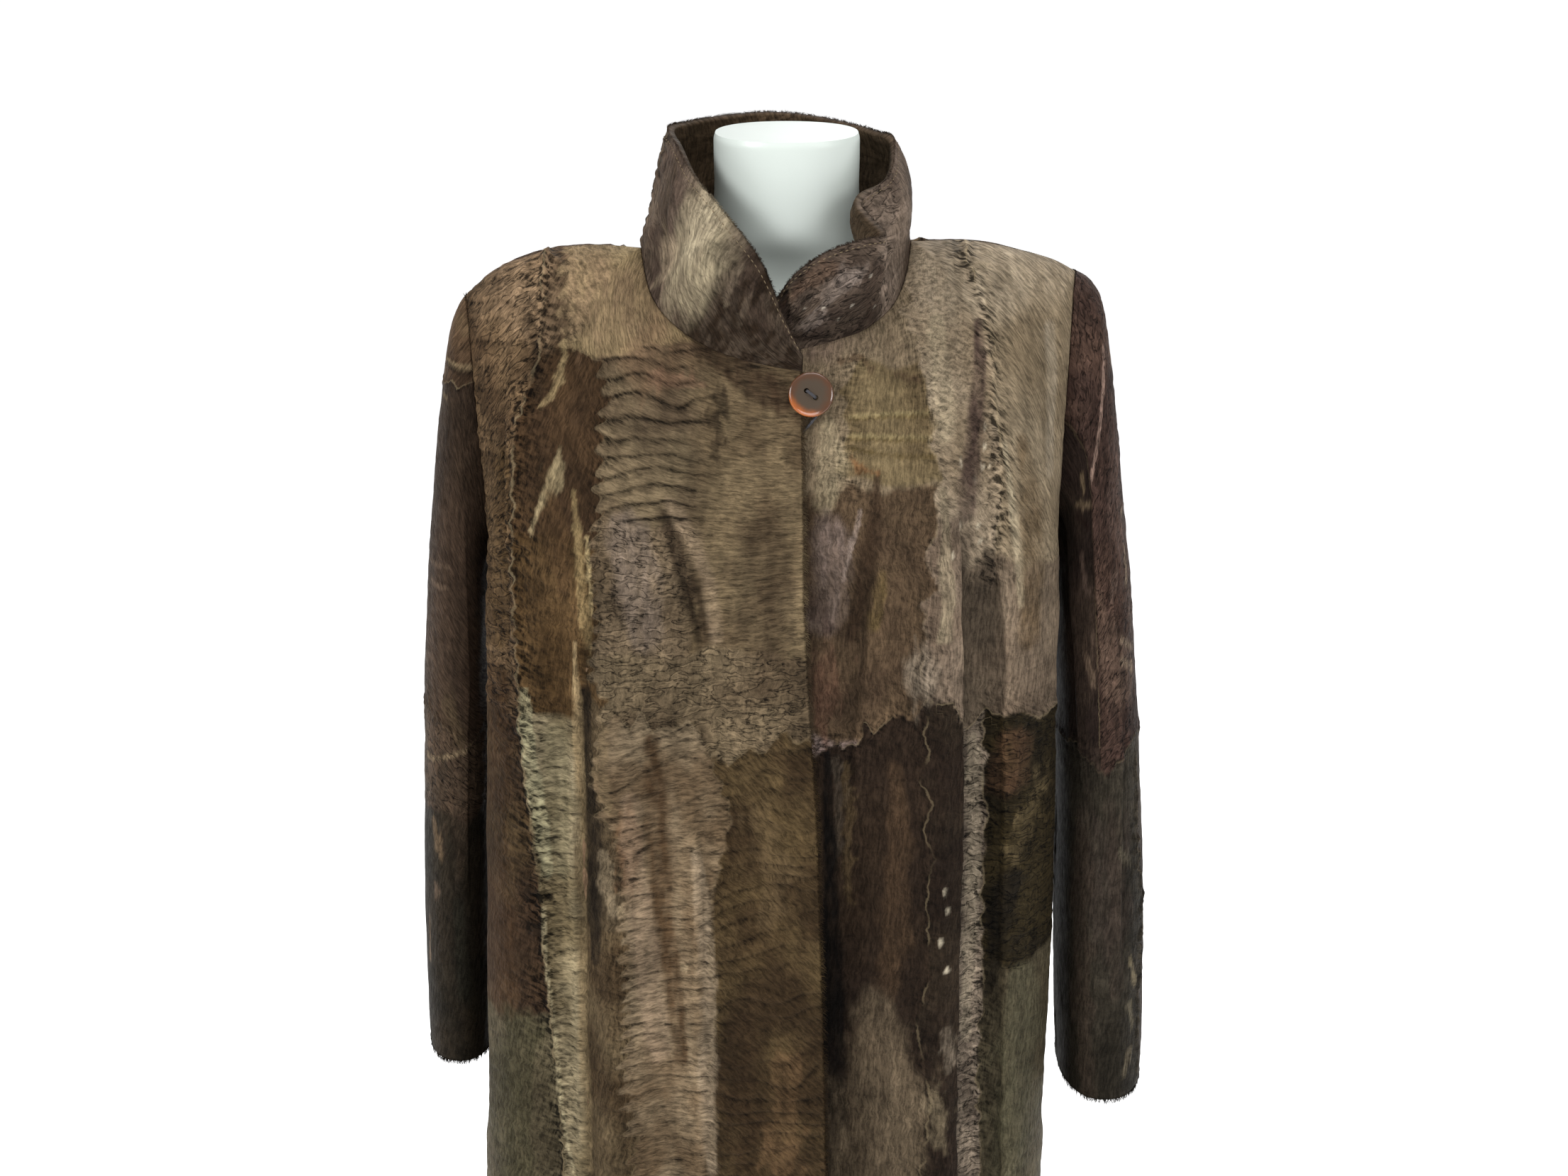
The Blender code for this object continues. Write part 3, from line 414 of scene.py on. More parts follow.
@dataclass(frozen=True)
class Join:
    """A zigzag join between pelts: a path of (x, z), how far it zigzags, and how it ruffles.

    Its sizes are in millimetres. A level join is read along x, any other along z. The offset from
    it is the distance to a triangle wave of uneven pitch and width about the path.
    """

    path: Path2
    wander: float = 3
    pitch: float = 22
    ruffle: float = 1.5
    reach: float = 12
    line: float = 0.6
    level: bool = False
    scallop: float = 0

    def offset(self, x: Array, z: Array, grain: Grain, crest: Array) -> tuple[Array, Array]:
        """How far points lie to the right of the join, or above a level one.

        Args:
            x: the points' places across.
            z: the points' heights.
            grain: the noise that makes the zigzags uneven.
            crest: how near each point is to a ripple's crest; the crests jut past a scalloped join.

        Returns:
            The signed offsets, and how much of the join there is at each point, 0 beyond its ends.
        """
        knots = np.array(self.path) / MM
        wander, pitch, scallop = (size / MM for size in (self.wander, self.pitch, self.scallop))
        along, beside = (x, z) if self.level else (z, x)
        knots = knots if self.level else knots[:, ::-1]
        stations, places = knots[np.argsort(knots[:, 0])].T
        seed = stations[0] * 7.3
        turns = along / pitch + 2.6 * grain.at(along, seed + 0 * along, pitch * 2.6)
        zigzag = np.abs(2 * (turns % 1) - 1) * 2 - 1
        uneven = 2.2 * grain.at(along, seed + 1.7 + 0 * along, pitch * 1.1) ** 1.5
        fine = 0.45 * grain.rough(along, seed + 3.1 + beside * 2, pitch * 0.35)
        centre = np.interp(along, stations, places) + wander * (zigzag * uneven + fine)
        centre = centre - scallop * (crest - 0.4)
        begun, left = (along - stations[0]) / 0.01, (stations[-1] - along) / 0.01
        return beside - centre, smooth_step(begun + 1) * smooth_step(left + 1)


@dataclass(frozen=True)
class Pelt:
    """One pelt of a panel: its tones, where its joins bound it, its ripples and its nap.

    Its heights, its mottle and the softness of its edge are in millimetres.
    """

    tone: str
    other: str
    bounds: tuple[tuple[str, Side], ...] = ()
    z: tuple[float, float] = (-9000, 9000)
    ripple: float = 0.2
    nap: Nap = Nap.DOWN
    mottle: float = 30
    edge: float = 2.2


@dataclass(frozen=True)
class Mark:
    """A blotch or fleck: its place and size in millimetres, its lean, and how ragged its edge is."""

    tone: str
    x: float
    z: float
    half_width: float
    half_height: float
    lean: float = 0.0
    strength: float = 0.8
    ragged: float = 0.35
    soft: float = 0.6

    def cover(self, x: Array, z: Array, grain: Grain) -> Array:
        """A turned ellipse whose radius is pushed in and out by noise, with a soft edge.

        Args:
            x: the points' places across.
            z: the points' heights.
            grain: the noise.

        Returns:
            The mark's share of each point's tone.
        """
        away, up = x - self.x / MM, z - self.z / MM
        half_width, half_height = self.half_width / MM, self.half_height / MM
        lean = math.radians(self.lean)
        across = away * math.cos(lean) + up * math.sin(lean)
        up = up * math.cos(lean) - away * math.sin(lean)
        size = max(min(half_width, half_height) * 1.3, 0.004)
        far = np.hypot(across / half_width, up / half_height)
        far = far + self.ragged * grain.rough(across * 1.9, up * 0.7, size, 4) * np.minimum(far, 1.5)
        return self.strength * grain.locks(x, z, 0.6) * smooth_step((1 - far) / self.soft + 0.5)


@dataclass(frozen=True)
class Streak:
    """A tongue, band or valley of another tone along a path of (x, z, half width) in millimetres. Along folds
    some are painted shade in the valleys and painted highlights on the ridges.
    """

    tone: str
    path: tuple[tuple[float, float, float], ...]
    strength: float = 0.8
    ragged: float = 0.5
    soft: float = 0.6

    def cover(self, x: Array, z: Array, grain: Grain) -> Array:
        """The distance to the path over its half width, pushed in and out by noise, with a soft edge.

        Args:
            x: the points' places across.
            z: the points' heights.
            grain: the noise.

        Returns:
            The streak's share of each point's tone.
        """
        path = np.array(self.path) / MM
        far = np.full(x.shape, np.inf)
        for (x0, z0, w0), (x1, z1, w1) in zip(path, path[1:]):
            dx, dz = x1 - x0, z1 - z0
            part = np.clip(((x - x0) * dx + (z - z0) * dz) / (dx * dx + dz * dz), 0, 1)
            half_width = np.maximum(w0 + (w1 - w0) * part, 0.0014)
            far = np.minimum(far, np.hypot(x - x0 - part * dx, z - z0 - part * dz) / half_width)
        size = float(np.clip(path[:, 2].max() * 1.4, 0.005, 0.02))
        noise = grain.rough(x * 1.5 + path[0, 1], z * 0.8, size, 4)
        far = far + self.ragged * noise * np.minimum(far, 1.5)
        return self.strength * grain.locks(x, z, 0.65) * smooth_step((1 - far) / self.soft + 0.5)


@dataclass(frozen=True)
class Crease:
    """A sharp fold line: the cloth stands up by rise on one side of it and drops by fall on the other.

    Its sizes are in millimetres.
    """

    path: Path2
    rise: float
    fall: float
    rise_width: float = 18
    fall_width: float = 9
    high: Side = Side.RIGHT

    def push(self, x: Array, z: Array, grain: Grain) -> Array:
        """Both sides die away from the line, and meet there in a short steep slope.

        Args:
            x: the points' places across.
            z: the points' heights.
            grain: the noise that bends the line and makes it uneven.

        Returns:
            How far each point moves outwards, in metres.
        """
        knots = np.array(self.path)[:, ::-1] / MM
        stations, places = knots[np.argsort(knots[:, 0])].T
        centre = np.interp(z, stations, places) + 0.0016 * grain.rough(z, 0 * z + 2.9, 0.045, 2)
        away = (x - centre) * self.high.value
        ends = smooth_step((z - stations[0]) / 0.05 + 1) * smooth_step((stations[-1] - z) / 0.06)
        uneven = 0.75 + 0.5 * grain.at(z, 0 * z + 5.3, 0.12)
        up = self.rise / MM * np.exp(-np.clip(away, 0, None) / (self.rise_width / MM))
        down = self.fall / MM * np.exp(np.clip(away, None, 0) / (self.fall_width / MM))
        turn = smooth_step(away / 0.004 + 0.5)
        return (up * turn - down * (1 - turn)) * ends * uneven


@dataclass
class Dressing:
    """What is worked out for each point of a fur surface before it becomes a mesh."""

    tone: Array
    ripple: Array
    ripple_depth: Array
    join: Array
    join_line: Array
    frill: Array
    nap: Array
    raised: Array
    creased: Array

    def layers(self, step: int) -> tuple[Array, ...]:
        """Tone, relief and nap, four numbers each, at every step-th row and column."""
        relief = np.stack([self.ripple, self.ripple_depth, self.join, self.frill], axis=-1)
        found = (np.dstack([self.tone, self.join_line]), relief, self.nap)
        return tuple(layer[::step, ::step].reshape(-1, 4) for layer in found)


@dataclass
class Pattern:
    """The pelts, joins, creases and marks of one panel, laid over its points.

    The ripples' pitch and the field of bricks (left, right, low, high) are in millimetres.
    """

    seed: int
    base: Pelt
    joins: dict[str, Join] = field(default_factory=dict)
    pelts: tuple[Pelt, ...] = ()
    marks: tuple[Mark, ...] = ()
    streaks: tuple[Streak, ...] = ()
    creases: tuple[Crease, ...] = ()
    ripple_pitch: float = 10.5
    ripple_lean: float = 0.0
    bricks: tuple[float, float, float, float] | None = None

    def lay(self, x: Array, z: Array) -> Dressing:
        """Works out tone, ripples, nap and relief at each point, with the painted light and shade of the
        creases and bricks in the tone.

        Pelts are laid over each other in their order, each inside the zigzag lines of its joins.
        Ruffles are short ridges that run away from a join and die out over its reach.

        Args:
            x: the points' places across the panel, in metres.
            z: the points' heights, in metres.

        Returns:
            The dressing of the points.
        """
        grain = Grain(self.seed)
        lean = math.radians(self.ripple_lean)
        bent = grain.rough(x, z, 0.060, 2) * 0.014 + grain.rough(x, z, 0.026, 2) * 0.006
        ripple = (z * math.cos(lean) + x * math.sin(lean) + bent) / (self.ripple_pitch / MM)
        part = ripple % 1
        crest = smooth_step(part / 0.2) * (1 - smooth_step((part - 0.3) / 0.7))
        offsets = {name: join.offset(x, z, grain, crest) for name, join in self.joins.items()}
        tone = self._tone(self.base, x, z, grain)
        depth = np.full(x.shape, self.base.ripple)
        nap = np.broadcast_to(np.array(self.base.nap.value), (*x.shape, 4)).copy()
        for pelt in self.pelts:
            cover = self._cover(pelt, x, z, offsets, grain)
            tone += (self._tone(pelt, x, z, grain) - tone) * cover[..., None]
            depth += (pelt.ripple - depth) * cover
            nap += (np.array(pelt.nap.value) - nap) * cover[..., None]
        for mark in (*self.marks, *self.streaks):
            tone += (linear(mark.tone) - tone) * mark.cover(x, z, grain)[..., None]
        # ripples come and go in patches, least where the pelt ripples most
        patchy = smooth_step((grain.rough(x * 0.6 + 3.3, z * 1.5, 0.018, 2) + 0.25) / 0.5)
        floor = 0.1 + 0.5 * depth**2
        depth = depth * (floor + (1 - floor) * patchy)
        raised = grain.rough(x, z, 0.018) * 0.00045 + grain.rough(x, z, 0.06, 2) * 0.0009
        curls = 1 - np.abs(grain.rough(x * 1.2, z, 0.012)) * 2.2
        raised += crest * depth * RIPPLE_HEIGHT + np.clip(curls, -1, 1) * nap[..., 3] * CURL_HEIGHT
        nearest, line, frill = np.full(x.shape, FAR_FROM_JOINS), np.zeros(x.shape), np.zeros(x.shape)
        for name, join in self.joins.items():
            away, present = offsets[name]
            along = x if join.level else z
            ridge = (along + 0.55 * np.abs(away)) / 0.0115 + 1.3 * grain.rough(x, z, 0.02, 2)
            ridge = (0.5 + 0.5 * np.sin(2 * np.pi * ridge)) ** 1.6
            close = np.exp(-np.abs(away) / (join.reach / MM)) * (0.35 + 0.65 * grain.at(x + 1.1, z, 0.035))
            middle = np.exp(-((away / JOIN_WIDTH) ** 2))
            raised += join.ruffle / MM * present * (1.5 * ridge * close + middle - 0.5 * close)
            frill = np.maximum(frill, np.clip(join.ruffle / FULL_FRILL, 0, 1.1) * present * close)
            nearer = (np.abs(away) < np.abs(nearest)) & (present > 0.5)
            nearest = np.where(nearer, away, nearest)
            broken = smooth_step((grain.at(along, 0 * along + 9.1, 0.016) - 0.3) / 0.3)
            line = np.where(nearer, join.line * broken, line)
        if self.bricks is not None:
            bricks = self._brick_relief(x, z, grain)
            raised += bricks
            # painted highlight: the tone is lighter where the brick ridges stand up
            tone = tone * (1 + 180 * bricks)[..., None]
        creased = sum((crease.push(x, z, grain) for crease in self.creases), np.zeros(x.shape))
        clouds = 0.36 * grain.rough(x + 7.7, z * 0.8, 0.034, 4)
        clouds += 0.26 * grain.rough(x * 2.2, z * 0.6 + 2.3, 0.012)
        # painted light and shade: the tone is paler where a crease stands up and darker where it drops, times
        # the clouds' mottle
        shade = np.clip(1 + 140 * creased, 0.36, 1.5) * np.clip(1 + clouds, 0.5, 1.6)
        nearest = np.clip(nearest, -FAR_FROM_JOINS, FAR_FROM_JOINS)
        return Dressing(tone * shade[..., None], ripple, depth, nearest, line, frill, nap, raised, creased)

    def _tone(self, pelt: Pelt, x: Array, z: Array, grain: Grain) -> Array:
        """A pelt's two tones, mixed by layered noise of its mottle's size.

        Args:
            pelt: the pelt.
            x: the points' places across.
            z: the points' heights.
            grain: the noise.

        Returns:
            A linear colour for each point.
        """
        seed = int(pelt.tone, 16) % 97 * 0.13
        mixed = smooth_step(0.5 + 1.1 * grain.rough(x + seed, z * 0.75 - seed, pelt.mottle / MM, 4))
        first, second = linear(pelt.tone), linear(pelt.other)
        return first + (second - first) * mixed[..., None]

    def _cover(
        self, pelt: Pelt, x: Array, z: Array, offsets: dict[str, tuple[Array, Array]], grain: Grain
    ) -> Array:
        """Where a pelt lies: the product of soft steps at each join that bounds it and at its heights.

        Args:
            pelt: the pelt.
            x: the points' places across.
            z: the points' heights.
            offsets: each join's offsets, by its name.
            grain: the noise that makes the ends at its heights ragged.

        Returns:
            The pelt's share of each point.
        """
        low, high = pelt.z[0] / MM, pelt.z[1] / MM
        wave = 0.014 * grain.rough(x, z * 0.4 + low % 1, 0.03, 4)
        cover = smooth_step((z - low + wave) / 0.005 + 0.5) * smooth_step((high - z + wave) / 0.005 + 0.5)
        for name, side in pelt.bounds:
            cover = cover * smooth_step(offsets[name][0] * np.sign(side.value) / (pelt.edge / MM) + 0.5)
        return cover

    def _brick_relief(self, x: Array, z: Array, grain: Grain) -> Array:
        """Low ridges like courses of bricks: level crests a course apart, with short uprights between.

        Args:
            x: the points' places across.
            z: the points' heights.
            grain: the noise that bends the courses.

        Returns:
            The ridges' heights, 0 outside the field of bricks.
        """
        left, right, low, high = (edge / MM for edge in self.bricks or (0, 0, 0, 0))
        inside = smooth_step((x - left) / 0.012) * smooth_step((right - x) / 0.012)
        inside = inside * smooth_step((z - low) / 0.01) * smooth_step((high - z) / 0.01)
        course = z / 0.0165 + 0.3 * grain.rough(x, z, 0.03, 2)
        upright = x / 0.024 + 0.5 * (np.floor(course) % 2) + 0.25 * grain.rough(x, z, 0.02, 2)
        level = np.exp(-((((course % 1) - 0.5) / 0.13) ** 2))
        standing = np.exp(-((((upright % 1) - 0.5) / 0.09) ** 2)) * grain.at(x, z, 0.02)
        return BRICK_HEIGHT * inside * np.maximum(level, 0.8 * standing)


def grid_mesh(name: str, points: Array, quads: Array, rims: Array, cloth: Array) -> bpy.types.Mesh:
    """A mesh from whole arrays: four-cornered faces, then the rims' many-cornered ones.

    Args:
        name: the mesh's name.
        points: its points.
        quads: the corners' indices of its four-cornered faces.
        rims: the corners' indices of its rim faces, in rows of one length.
        cloth: a (u, v) in metres for every corner, the quads' corners first.

    Returns:
        The mesh, shaded smooth, with its cloth map.
    """
    mesh = bpy.data.meshes.new(name)
    corners = np.concatenate([quads.ravel(), rims.ravel()]).astype(np.int32)
    rim_corners = rims.shape[1] if len(rims) else 0
    sizes = np.repeat([quads.shape[1], rim_corners], [len(quads), len(rims)])
    mesh.vertices.add(len(points))
    mesh.vertices.foreach_set("co", points.astype(np.float32).ravel())
    mesh.loops.add(len(corners))
    mesh.loops.foreach_set("vertex_index", corners)
    mesh.polygons.add(len(sizes))
    mesh.polygons.foreach_set("loop_start", np.concatenate([[0], np.cumsum(sizes)[:-1]]).astype(np.int32))
    mesh.uv_layers.new(name="cloth").data.foreach_set("uv", cloth.astype(np.float32).ravel())
    mesh.update(calc_edges=True)
    mesh.shade_smooth()
    return mesh


def outward(grid: Array) -> Array:
    """Unit normals of a grid whose columns run to the right seen from outside, and its rows upwards."""
    rows, columns = (np.gradient(grid, axis=axis) for axis in (0, 1))
    return unit(np.cross(columns, rows))


def pulled_in(grid: Array) -> Array:
    """The grid with its rim moved in by half a seam's gap."""
    grid = grid.copy()
    for edge, inner in ((0, 1), (-1, -2)):
        grid[edge] += unit(grid[inner] - grid[edge]) * SEAM_GAP / 2
        grid[:, edge] += unit(grid[:, inner] - grid[:, edge]) * SEAM_GAP / 2
    return grid


def measured(grid: Array) -> Array:
    """Each point's (u, v) in metres: the length along its row from the middle, and up its column."""
    across, up = lengths(grid), lengths(grid.swapaxes(0, 1)).mean(axis=0)
    across -= across.mean(axis=1, keepdims=True)
    return np.stack([across, np.broadcast_to(up[:, None], across.shape)], axis=-1)


def squares(grid: Array) -> Array:
    """The corners of a grid's four-cornered faces, anticlockwise."""
    return np.stack([grid[:-1, :-1], grid[:-1, 1:], grid[1:, 1:], grid[1:, :-1]], axis=-1).reshape(-1, 4)


def plain_layers(tones: Array) -> tuple[Array, ...]:
    """Tone, relief and nap for points of these tones without ripples or joins, their hair sleek."""
    lineless = np.hstack([tones, np.zeros((len(tones), 1))])
    return lineless, np.tile(PLAIN_RELIEF, (len(tones), 1)), np.tile(Nap.SLEEK.value, (len(tones), 1))


def store_fur(mesh: bpy.types.Mesh, layers: tuple[Array, ...]) -> None:
    """Stores tone, relief and nap as colour attributes of the points."""
    # the first layer is the pelts' tone with the painted light and shade of creases, bricks and streaks in it
    for name, values in zip(("pelt_tone", "fur_relief", "nap"), layers):
        attribute = mesh.attributes.new(name, "FLOAT_COLOR", "POINT")
        attribute.data.foreach_set("color", values.astype(np.float32).ravel())


@dataclass
class Shell:
    """A closed wall of fur between an outer grid and a plainer inner one, with its attributes."""

    name: str
    outer: Array
    inner: Array
    dressing: Dressing
    tube: bool = False
    step: int = 3
    inner_tone: str = "6b5642"
    inner_dressing: Dressing | None = None

    def wrapped(self, grid: Array) -> Array:
        """The grid with its first column again at its end, if the shell is a tube."""
        return np.concatenate([grid, grid[:, :1]], axis=1) if self.tube else grid

    def build(self) -> bpy.types.Object:
        """Joins the two grids at their rims and stores the fur's layers on the points.

        The inner grid has every step-th row and column. A rim face has step + 1 corners on the
        outer grid and two on the inner one.

        Returns:
            The shell, in the scene.
        """
        rows, columns = self.outer.shape[:2]
        step, inner = self.step, self.inner[:: self.step, :: self.step]
        index = self.wrapped(np.arange(rows * columns).reshape(rows, columns))
        inner_index = self.wrapped(np.arange(inner[..., 0].size).reshape(inner.shape[:2]) + rows * columns)
        flat = np.arange(index.size).reshape(index.shape)
        rims, rim_flat = [], []
        edges = ((0, -1, 0), (-1, 1, 0), (0, 1, 1), (-1, -1, 1))  # which one, which way, row or column
        for end, way, axis in edges[: 2 if self.tube else 4]:
            fine, fine_flat, coarse = (np.take(g, end, axis=axis)[::way] for g in (index, flat, inner_index))
            picks = np.arange(len(coarse) - 1)[:, None] * step + np.arange(step + 1)
            rims.append(np.hstack([fine[picks], coarse[1:, None], coarse[:-1, None]]))
            rim_flat.append(np.hstack([fine_flat[picks], fine_flat[picks[:, [-1, 0]]]]))
        quads = np.vstack([squares(index), squares(inner_index)[:, ::-1]])
        quad_flat = np.vstack([squares(flat), squares(flat[::step, ::step])[:, ::-1]])
        points = np.vstack([self.outer.reshape(-1, 3), inner.reshape(-1, 3)])
        cloth = measured(self.wrapped(self.outer)).reshape(-1, 2)
        corners = np.concatenate([quad_flat.ravel(), np.vstack(rim_flat).ravel()])
        mesh = grid_mesh(self.name, points, quads, np.vstack(rims), cloth[corners])
        if self.inner_dressing is None:
            lining = plain_layers(np.tile(linear(self.inner_tone), (inner[..., 0].size, 1)))
        else:
            lining = self.inner_dressing.layers(step)
        store_fur(mesh, tuple(np.vstack(pair) for pair in zip(self.dressing.layers(1), lining)))
        return linked(self.name, mesh)


@dataclass
class CoatPanel:
    """A front or the back: a fine grid of the solid's own surface, dressed as fur."""

    name: str
    pattern: Pattern
    flat: tuple[float, float]
    area: float
    columns: int = 192
    skirt: int = 312
    yoke: int = 108

    @property
    def side(self) -> int:
        """-1 for the wearer's right, at -X, and 1 for the left."""
        return -1 if self.name.endswith("right") else 1

    @property
    def grid_shape(self) -> tuple[int, int]:
        """The rows and columns of its outer points."""
        return self.skirt + self.yoke + 1, self.columns + 1

    def half_sections(self, z: Array, side: int, edge_x: Array) -> tuple[Array, Array]:
        """The body's half section at each height, from the front edge round to the centre back.

        A superellipse about the fullest point, pressed in beside the sleeve.

        Args:
            z: the heights.
            side: -1 for the right half, 1 for the left.
            edge_x: where each section starts.

        Returns:
            The sections' x and y, one row for each height.
        """
        sizes = BODY.at(z, "right_x", "left_x", "front_y", "back_y")
        right_x, left_x, front_y, back_y = (size[:, None] for size in sizes)
        half_width = (BODY_CENTRE_X - right_x) if side < 0 else (left_x - BODY_CENTRE_X)
        start = side * (edge_x[:, None] - BODY_CENTRE_X) / half_width
        start_angle = np.arctan2(start, (1 - np.abs(start) ** FRONT_ROUNDNESS) ** (1 / FRONT_ROUNDNESS))
        angle = start_angle + (math.pi - start_angle) * np.linspace(0, 1, SECTION_SAMPLES)[None, :]
        across, ahead = np.sin(angle), np.cos(angle)
        roundness = np.where(ahead > 0, FRONT_ROUNDNESS, BACK_ROUNDNESS)
        radius = superellipse(across, ahead, roundness)
        depth = np.where(ahead > 0, FULLEST_Y - front_y, back_y - FULLEST_Y)
        y = FULLEST_Y - depth * ahead * radius
        dent = SIDE_DENT * smooth_step((y + 0.095) / 0.045) * smooth_step((0.125 - y) / 0.05)
        dent = dent * (smooth_step((DENT_TOP_Z - z) / 0.05) * smooth_step((z - DENT_LOW_Z) / 0.06))[:, None]
        return BODY_CENTRE_X + side * (half_width * across * radius - dent * np.clip(across, 0, 1)), y

    def seam_index(self, y: Array) -> Array:
        """Where each section, going backwards, passes the side seam, as a fraction of an index."""
        behind = np.argmax(y > SIDE_SEAM_Y, axis=1)
        rows = np.arange(len(y))
        return behind - (y[rows, behind] - SIDE_SEAM_Y) / (y[rows, behind] - y[rows, behind - 1])

    def along(self, x: Array, y: Array, shares: Array, first: Array, last: Array) -> Array:
        """Points at these shares of the length between two indices of each row of a polyline.

        Args:
            x: the polylines' x, in rows.
            y: their y.
            shares: the shares, from 0 to 1.
            first: the index, or fraction of one, at which each row's stretch starts.
            last: the one at which it ends.

        Returns:
            (x, y) for each row and share.
        """
        length = lengths(np.stack([x, y], axis=-1))
        found = np.empty((len(x), len(shares), 2))
        for row in range(len(x)):
            start, end = np.interp((first[row], last[row]), np.arange(x.shape[1]), length[row])
            at = start + (end - start) * shares
            found[row, :, 0] = np.interp(at, length[row], x[row])
            found[row, :, 1] = np.interp(at, length[row], y[row])
        return found

    def skirt_rows(self, z: Array, shares: Array) -> Array:
        """The panel below the arms: its sections between its two seams or edges.

        Args:
            z: the rows' heights.
            shares: the columns' shares of the panel's width.

        Returns:
            The points, in rows.
        """
        if self.name == "back":
            halves = []
            for side, part in ((-1, shares[shares <= 0.5] * 2), (1, (1 - shares[shares > 0.5]) * 2)):
                x, y = self.half_sections(z, side, np.full(len(z), BODY_CENTRE_X))
                halves.append(self.along(x, y, part, self.seam_index(y), np.full(len(z), x.shape[1] - 1.0)))
            flat = np.concatenate(halves, axis=1)
        else:
            x, y = self.half_sections(z, self.side, BODY.at(z, "over_x" if self.side < 0 else "under_x")[0])
            flat = self.along(x, y, shares, np.zeros(len(z)), self.seam_index(y))
            if self.side > 0:
                flat[..., 1] += BODY.at(z, "recess")[0][:, None] * smooth_step((0.125 - flat[..., 0]) / 0.09)
        return np.concatenate([flat, np.broadcast_to(z[:, None, None], (*flat.shape[:2], 1))], axis=-1)

    def top_edge(self, shares: Array) -> Array:
        """The panel's top edge: neckline and shoulder seam, or on the back all three.

        Args:
            shares: the columns' shares of the panel's width.

        Returns:
            A point for each column.
        """
        def read(table: Table, at: Array) -> Array:
            """The table's points."""
            return np.stack(table.at(at, "x", "y", "z"), axis=-1)

        if self.name == "back":
            part = BACK_SHOULDER_SHARE
            right = read(SHOULDERS["right"], 1 - shares / part)
            left = read(SHOULDERS["left"], (shares - 1 + part) / part)
            neck = read(NECKLINES["back"], (shares - part) / (1 - 2 * part))
            first, last = (shares < part)[:, None], (shares > 1 - part)[:, None]
            return np.where(first, right, np.where(last, left, neck))
        part = FRONT_NECK_SHARE
        neck = read(NECKLINES[self.name], shares / part)
        shoulder = read(SHOULDERS["right" if self.side < 0 else "left"], (shares - part) / (1 - part))
        return np.where((shares <= part)[:, None], neck, shoulder)

    def yoke_rows(self, rise: Array, shares: Array) -> Array:
        """The panel above the underarm: each column is an elliptic arc that leans in to the top edge.

        Near the armhole the arcs are drawn on to the armhole's loop.

        Args:
            rise: the rows' shares of the way up.
            shares: the columns' shares of the panel's width.

        Returns:
            The points, in rows.
        """
        low = self.skirt_rows(np.array([UNDERARM_Z]), shares)[0][None]
        top = self.top_edge(shares)[None]
        middle = np.abs(2 * shares - 1) if self.name == "back" else shares
        end = np.radians(NECK_LEAN + (90 - NECK_LEAN) * smooth_step(middle / 0.6))[None]
        angle = rise[:, None] * end
        out = (np.cos(angle) - np.cos(end)) / (1 - np.cos(end))
        up = np.sin(angle) / np.sin(end)
        grid = np.empty((len(rise), len(shares), 3))
        grid[..., 0] = low[..., 0] + (top[..., 0] - low[..., 0]) * (rise**1.4)[:, None]
        grid[..., 1] = top[..., 1] + (low[..., 1] - top[..., 1]) * out
        grid[..., 2] = low[..., 2] + (top[..., 2] - low[..., 2]) * up
        bow = np.sin(rise * math.pi)[:, None]
        loop_up = ((1 - np.cos(rise * math.pi)) / 2)[:, None]
        near = smooth_step((middle - 0.55) / 0.45)[None]
        grid[..., 1] += near * bow * (ARMHOLE_BACK if self.name == "back" else -ARMHOLE_FRONT)
        grid[..., 2] += near * (loop_up - up) * (top[..., 2] - low[..., 2])
        return grid

    def surface(self, skirt: int, yoke: int, columns: int) -> Array:
        """The whole outer surface with its large folds, rows from the hem up.

        A fold is a bell across x that grows to its full depth over a height, less near side seams.

        Args:
            skirt: the number of rows below the underarm.
            yoke: the number of rows above it.
            columns: the number of faces across.

        Returns:
            The points, in rows.
        """
        shares = np.linspace(0, 1, columns + 1)
        low = self.skirt_rows(np.linspace(HEM_Z, UNDERARM_Z, skirt + 1)[:-1], shares)
        grid = np.concatenate([low, self.yoke_rows(np.linspace(0, 1, yoke + 1), shares)])
        x, z = grid[..., 0], grid[..., 2]
        pushed = np.zeros_like(x)
        for x_top, z_top, x_low, z_low, width, depth in FOLDS[self.name]:
            centre = x_low + (x_top - x_low) * (z - z_low) / (z_top - z_low)
            strength = smooth_step((z_top - z) / FOLD_FADE)
            if z_low > HEM_Z:
                strength = strength * smooth_step((z - z_low + FOLD_FADE / 2) / (FOLD_FADE / 2))
            pushed += depth * strength * np.exp(-(((x - centre) / width) ** 2))
        to_side = np.minimum(shares, 1 - shares) * 2 if self.name == "back" else 1 - shares
        pushed *= smooth_step(to_side / 0.16)
        grid[..., 1] += pushed if self.name == "back" else -pushed
        return grid

    def build(self) -> bpy.types.Object:
        """The panel's shell: relief pushed out along the normals and faded at the seams.

        Returns:
            The panel, in the scene.
        """
        outer = self.surface(self.skirt, self.yoke, self.columns)
        if self.name != "front_left":
            outer = outer[:, ::-1]
        outer = pulled_in(outer)
        dressing = self.pattern.lay(-outer[..., 0] if self.name == "back" else outer[..., 0], outer[..., 2])
        from_end = from_rims(len(outer), ROW_PITCH)[:, None]
        from_side = from_rims(outer.shape[1], COLUMN_PITCH)
        fade = smooth_step(from_end / RELIEF_FADE) * smooth_step(from_side / RELIEF_FADE)
        wide_fade = smooth_step(from_side / 0.03) * smooth_step((from_end + 0.01) / 0.02)
        creased = outer + outward(outer) * (dressing.creased * wide_fade)[..., None]
        normal = outward(creased)
        fine = creased + normal * (dressing.raised * fade)[..., None]
        inner = creased + self._inward(outer, -normal) * WALL
        return Shell(f"{self.name}_fur", fine, inner, dressing).build()

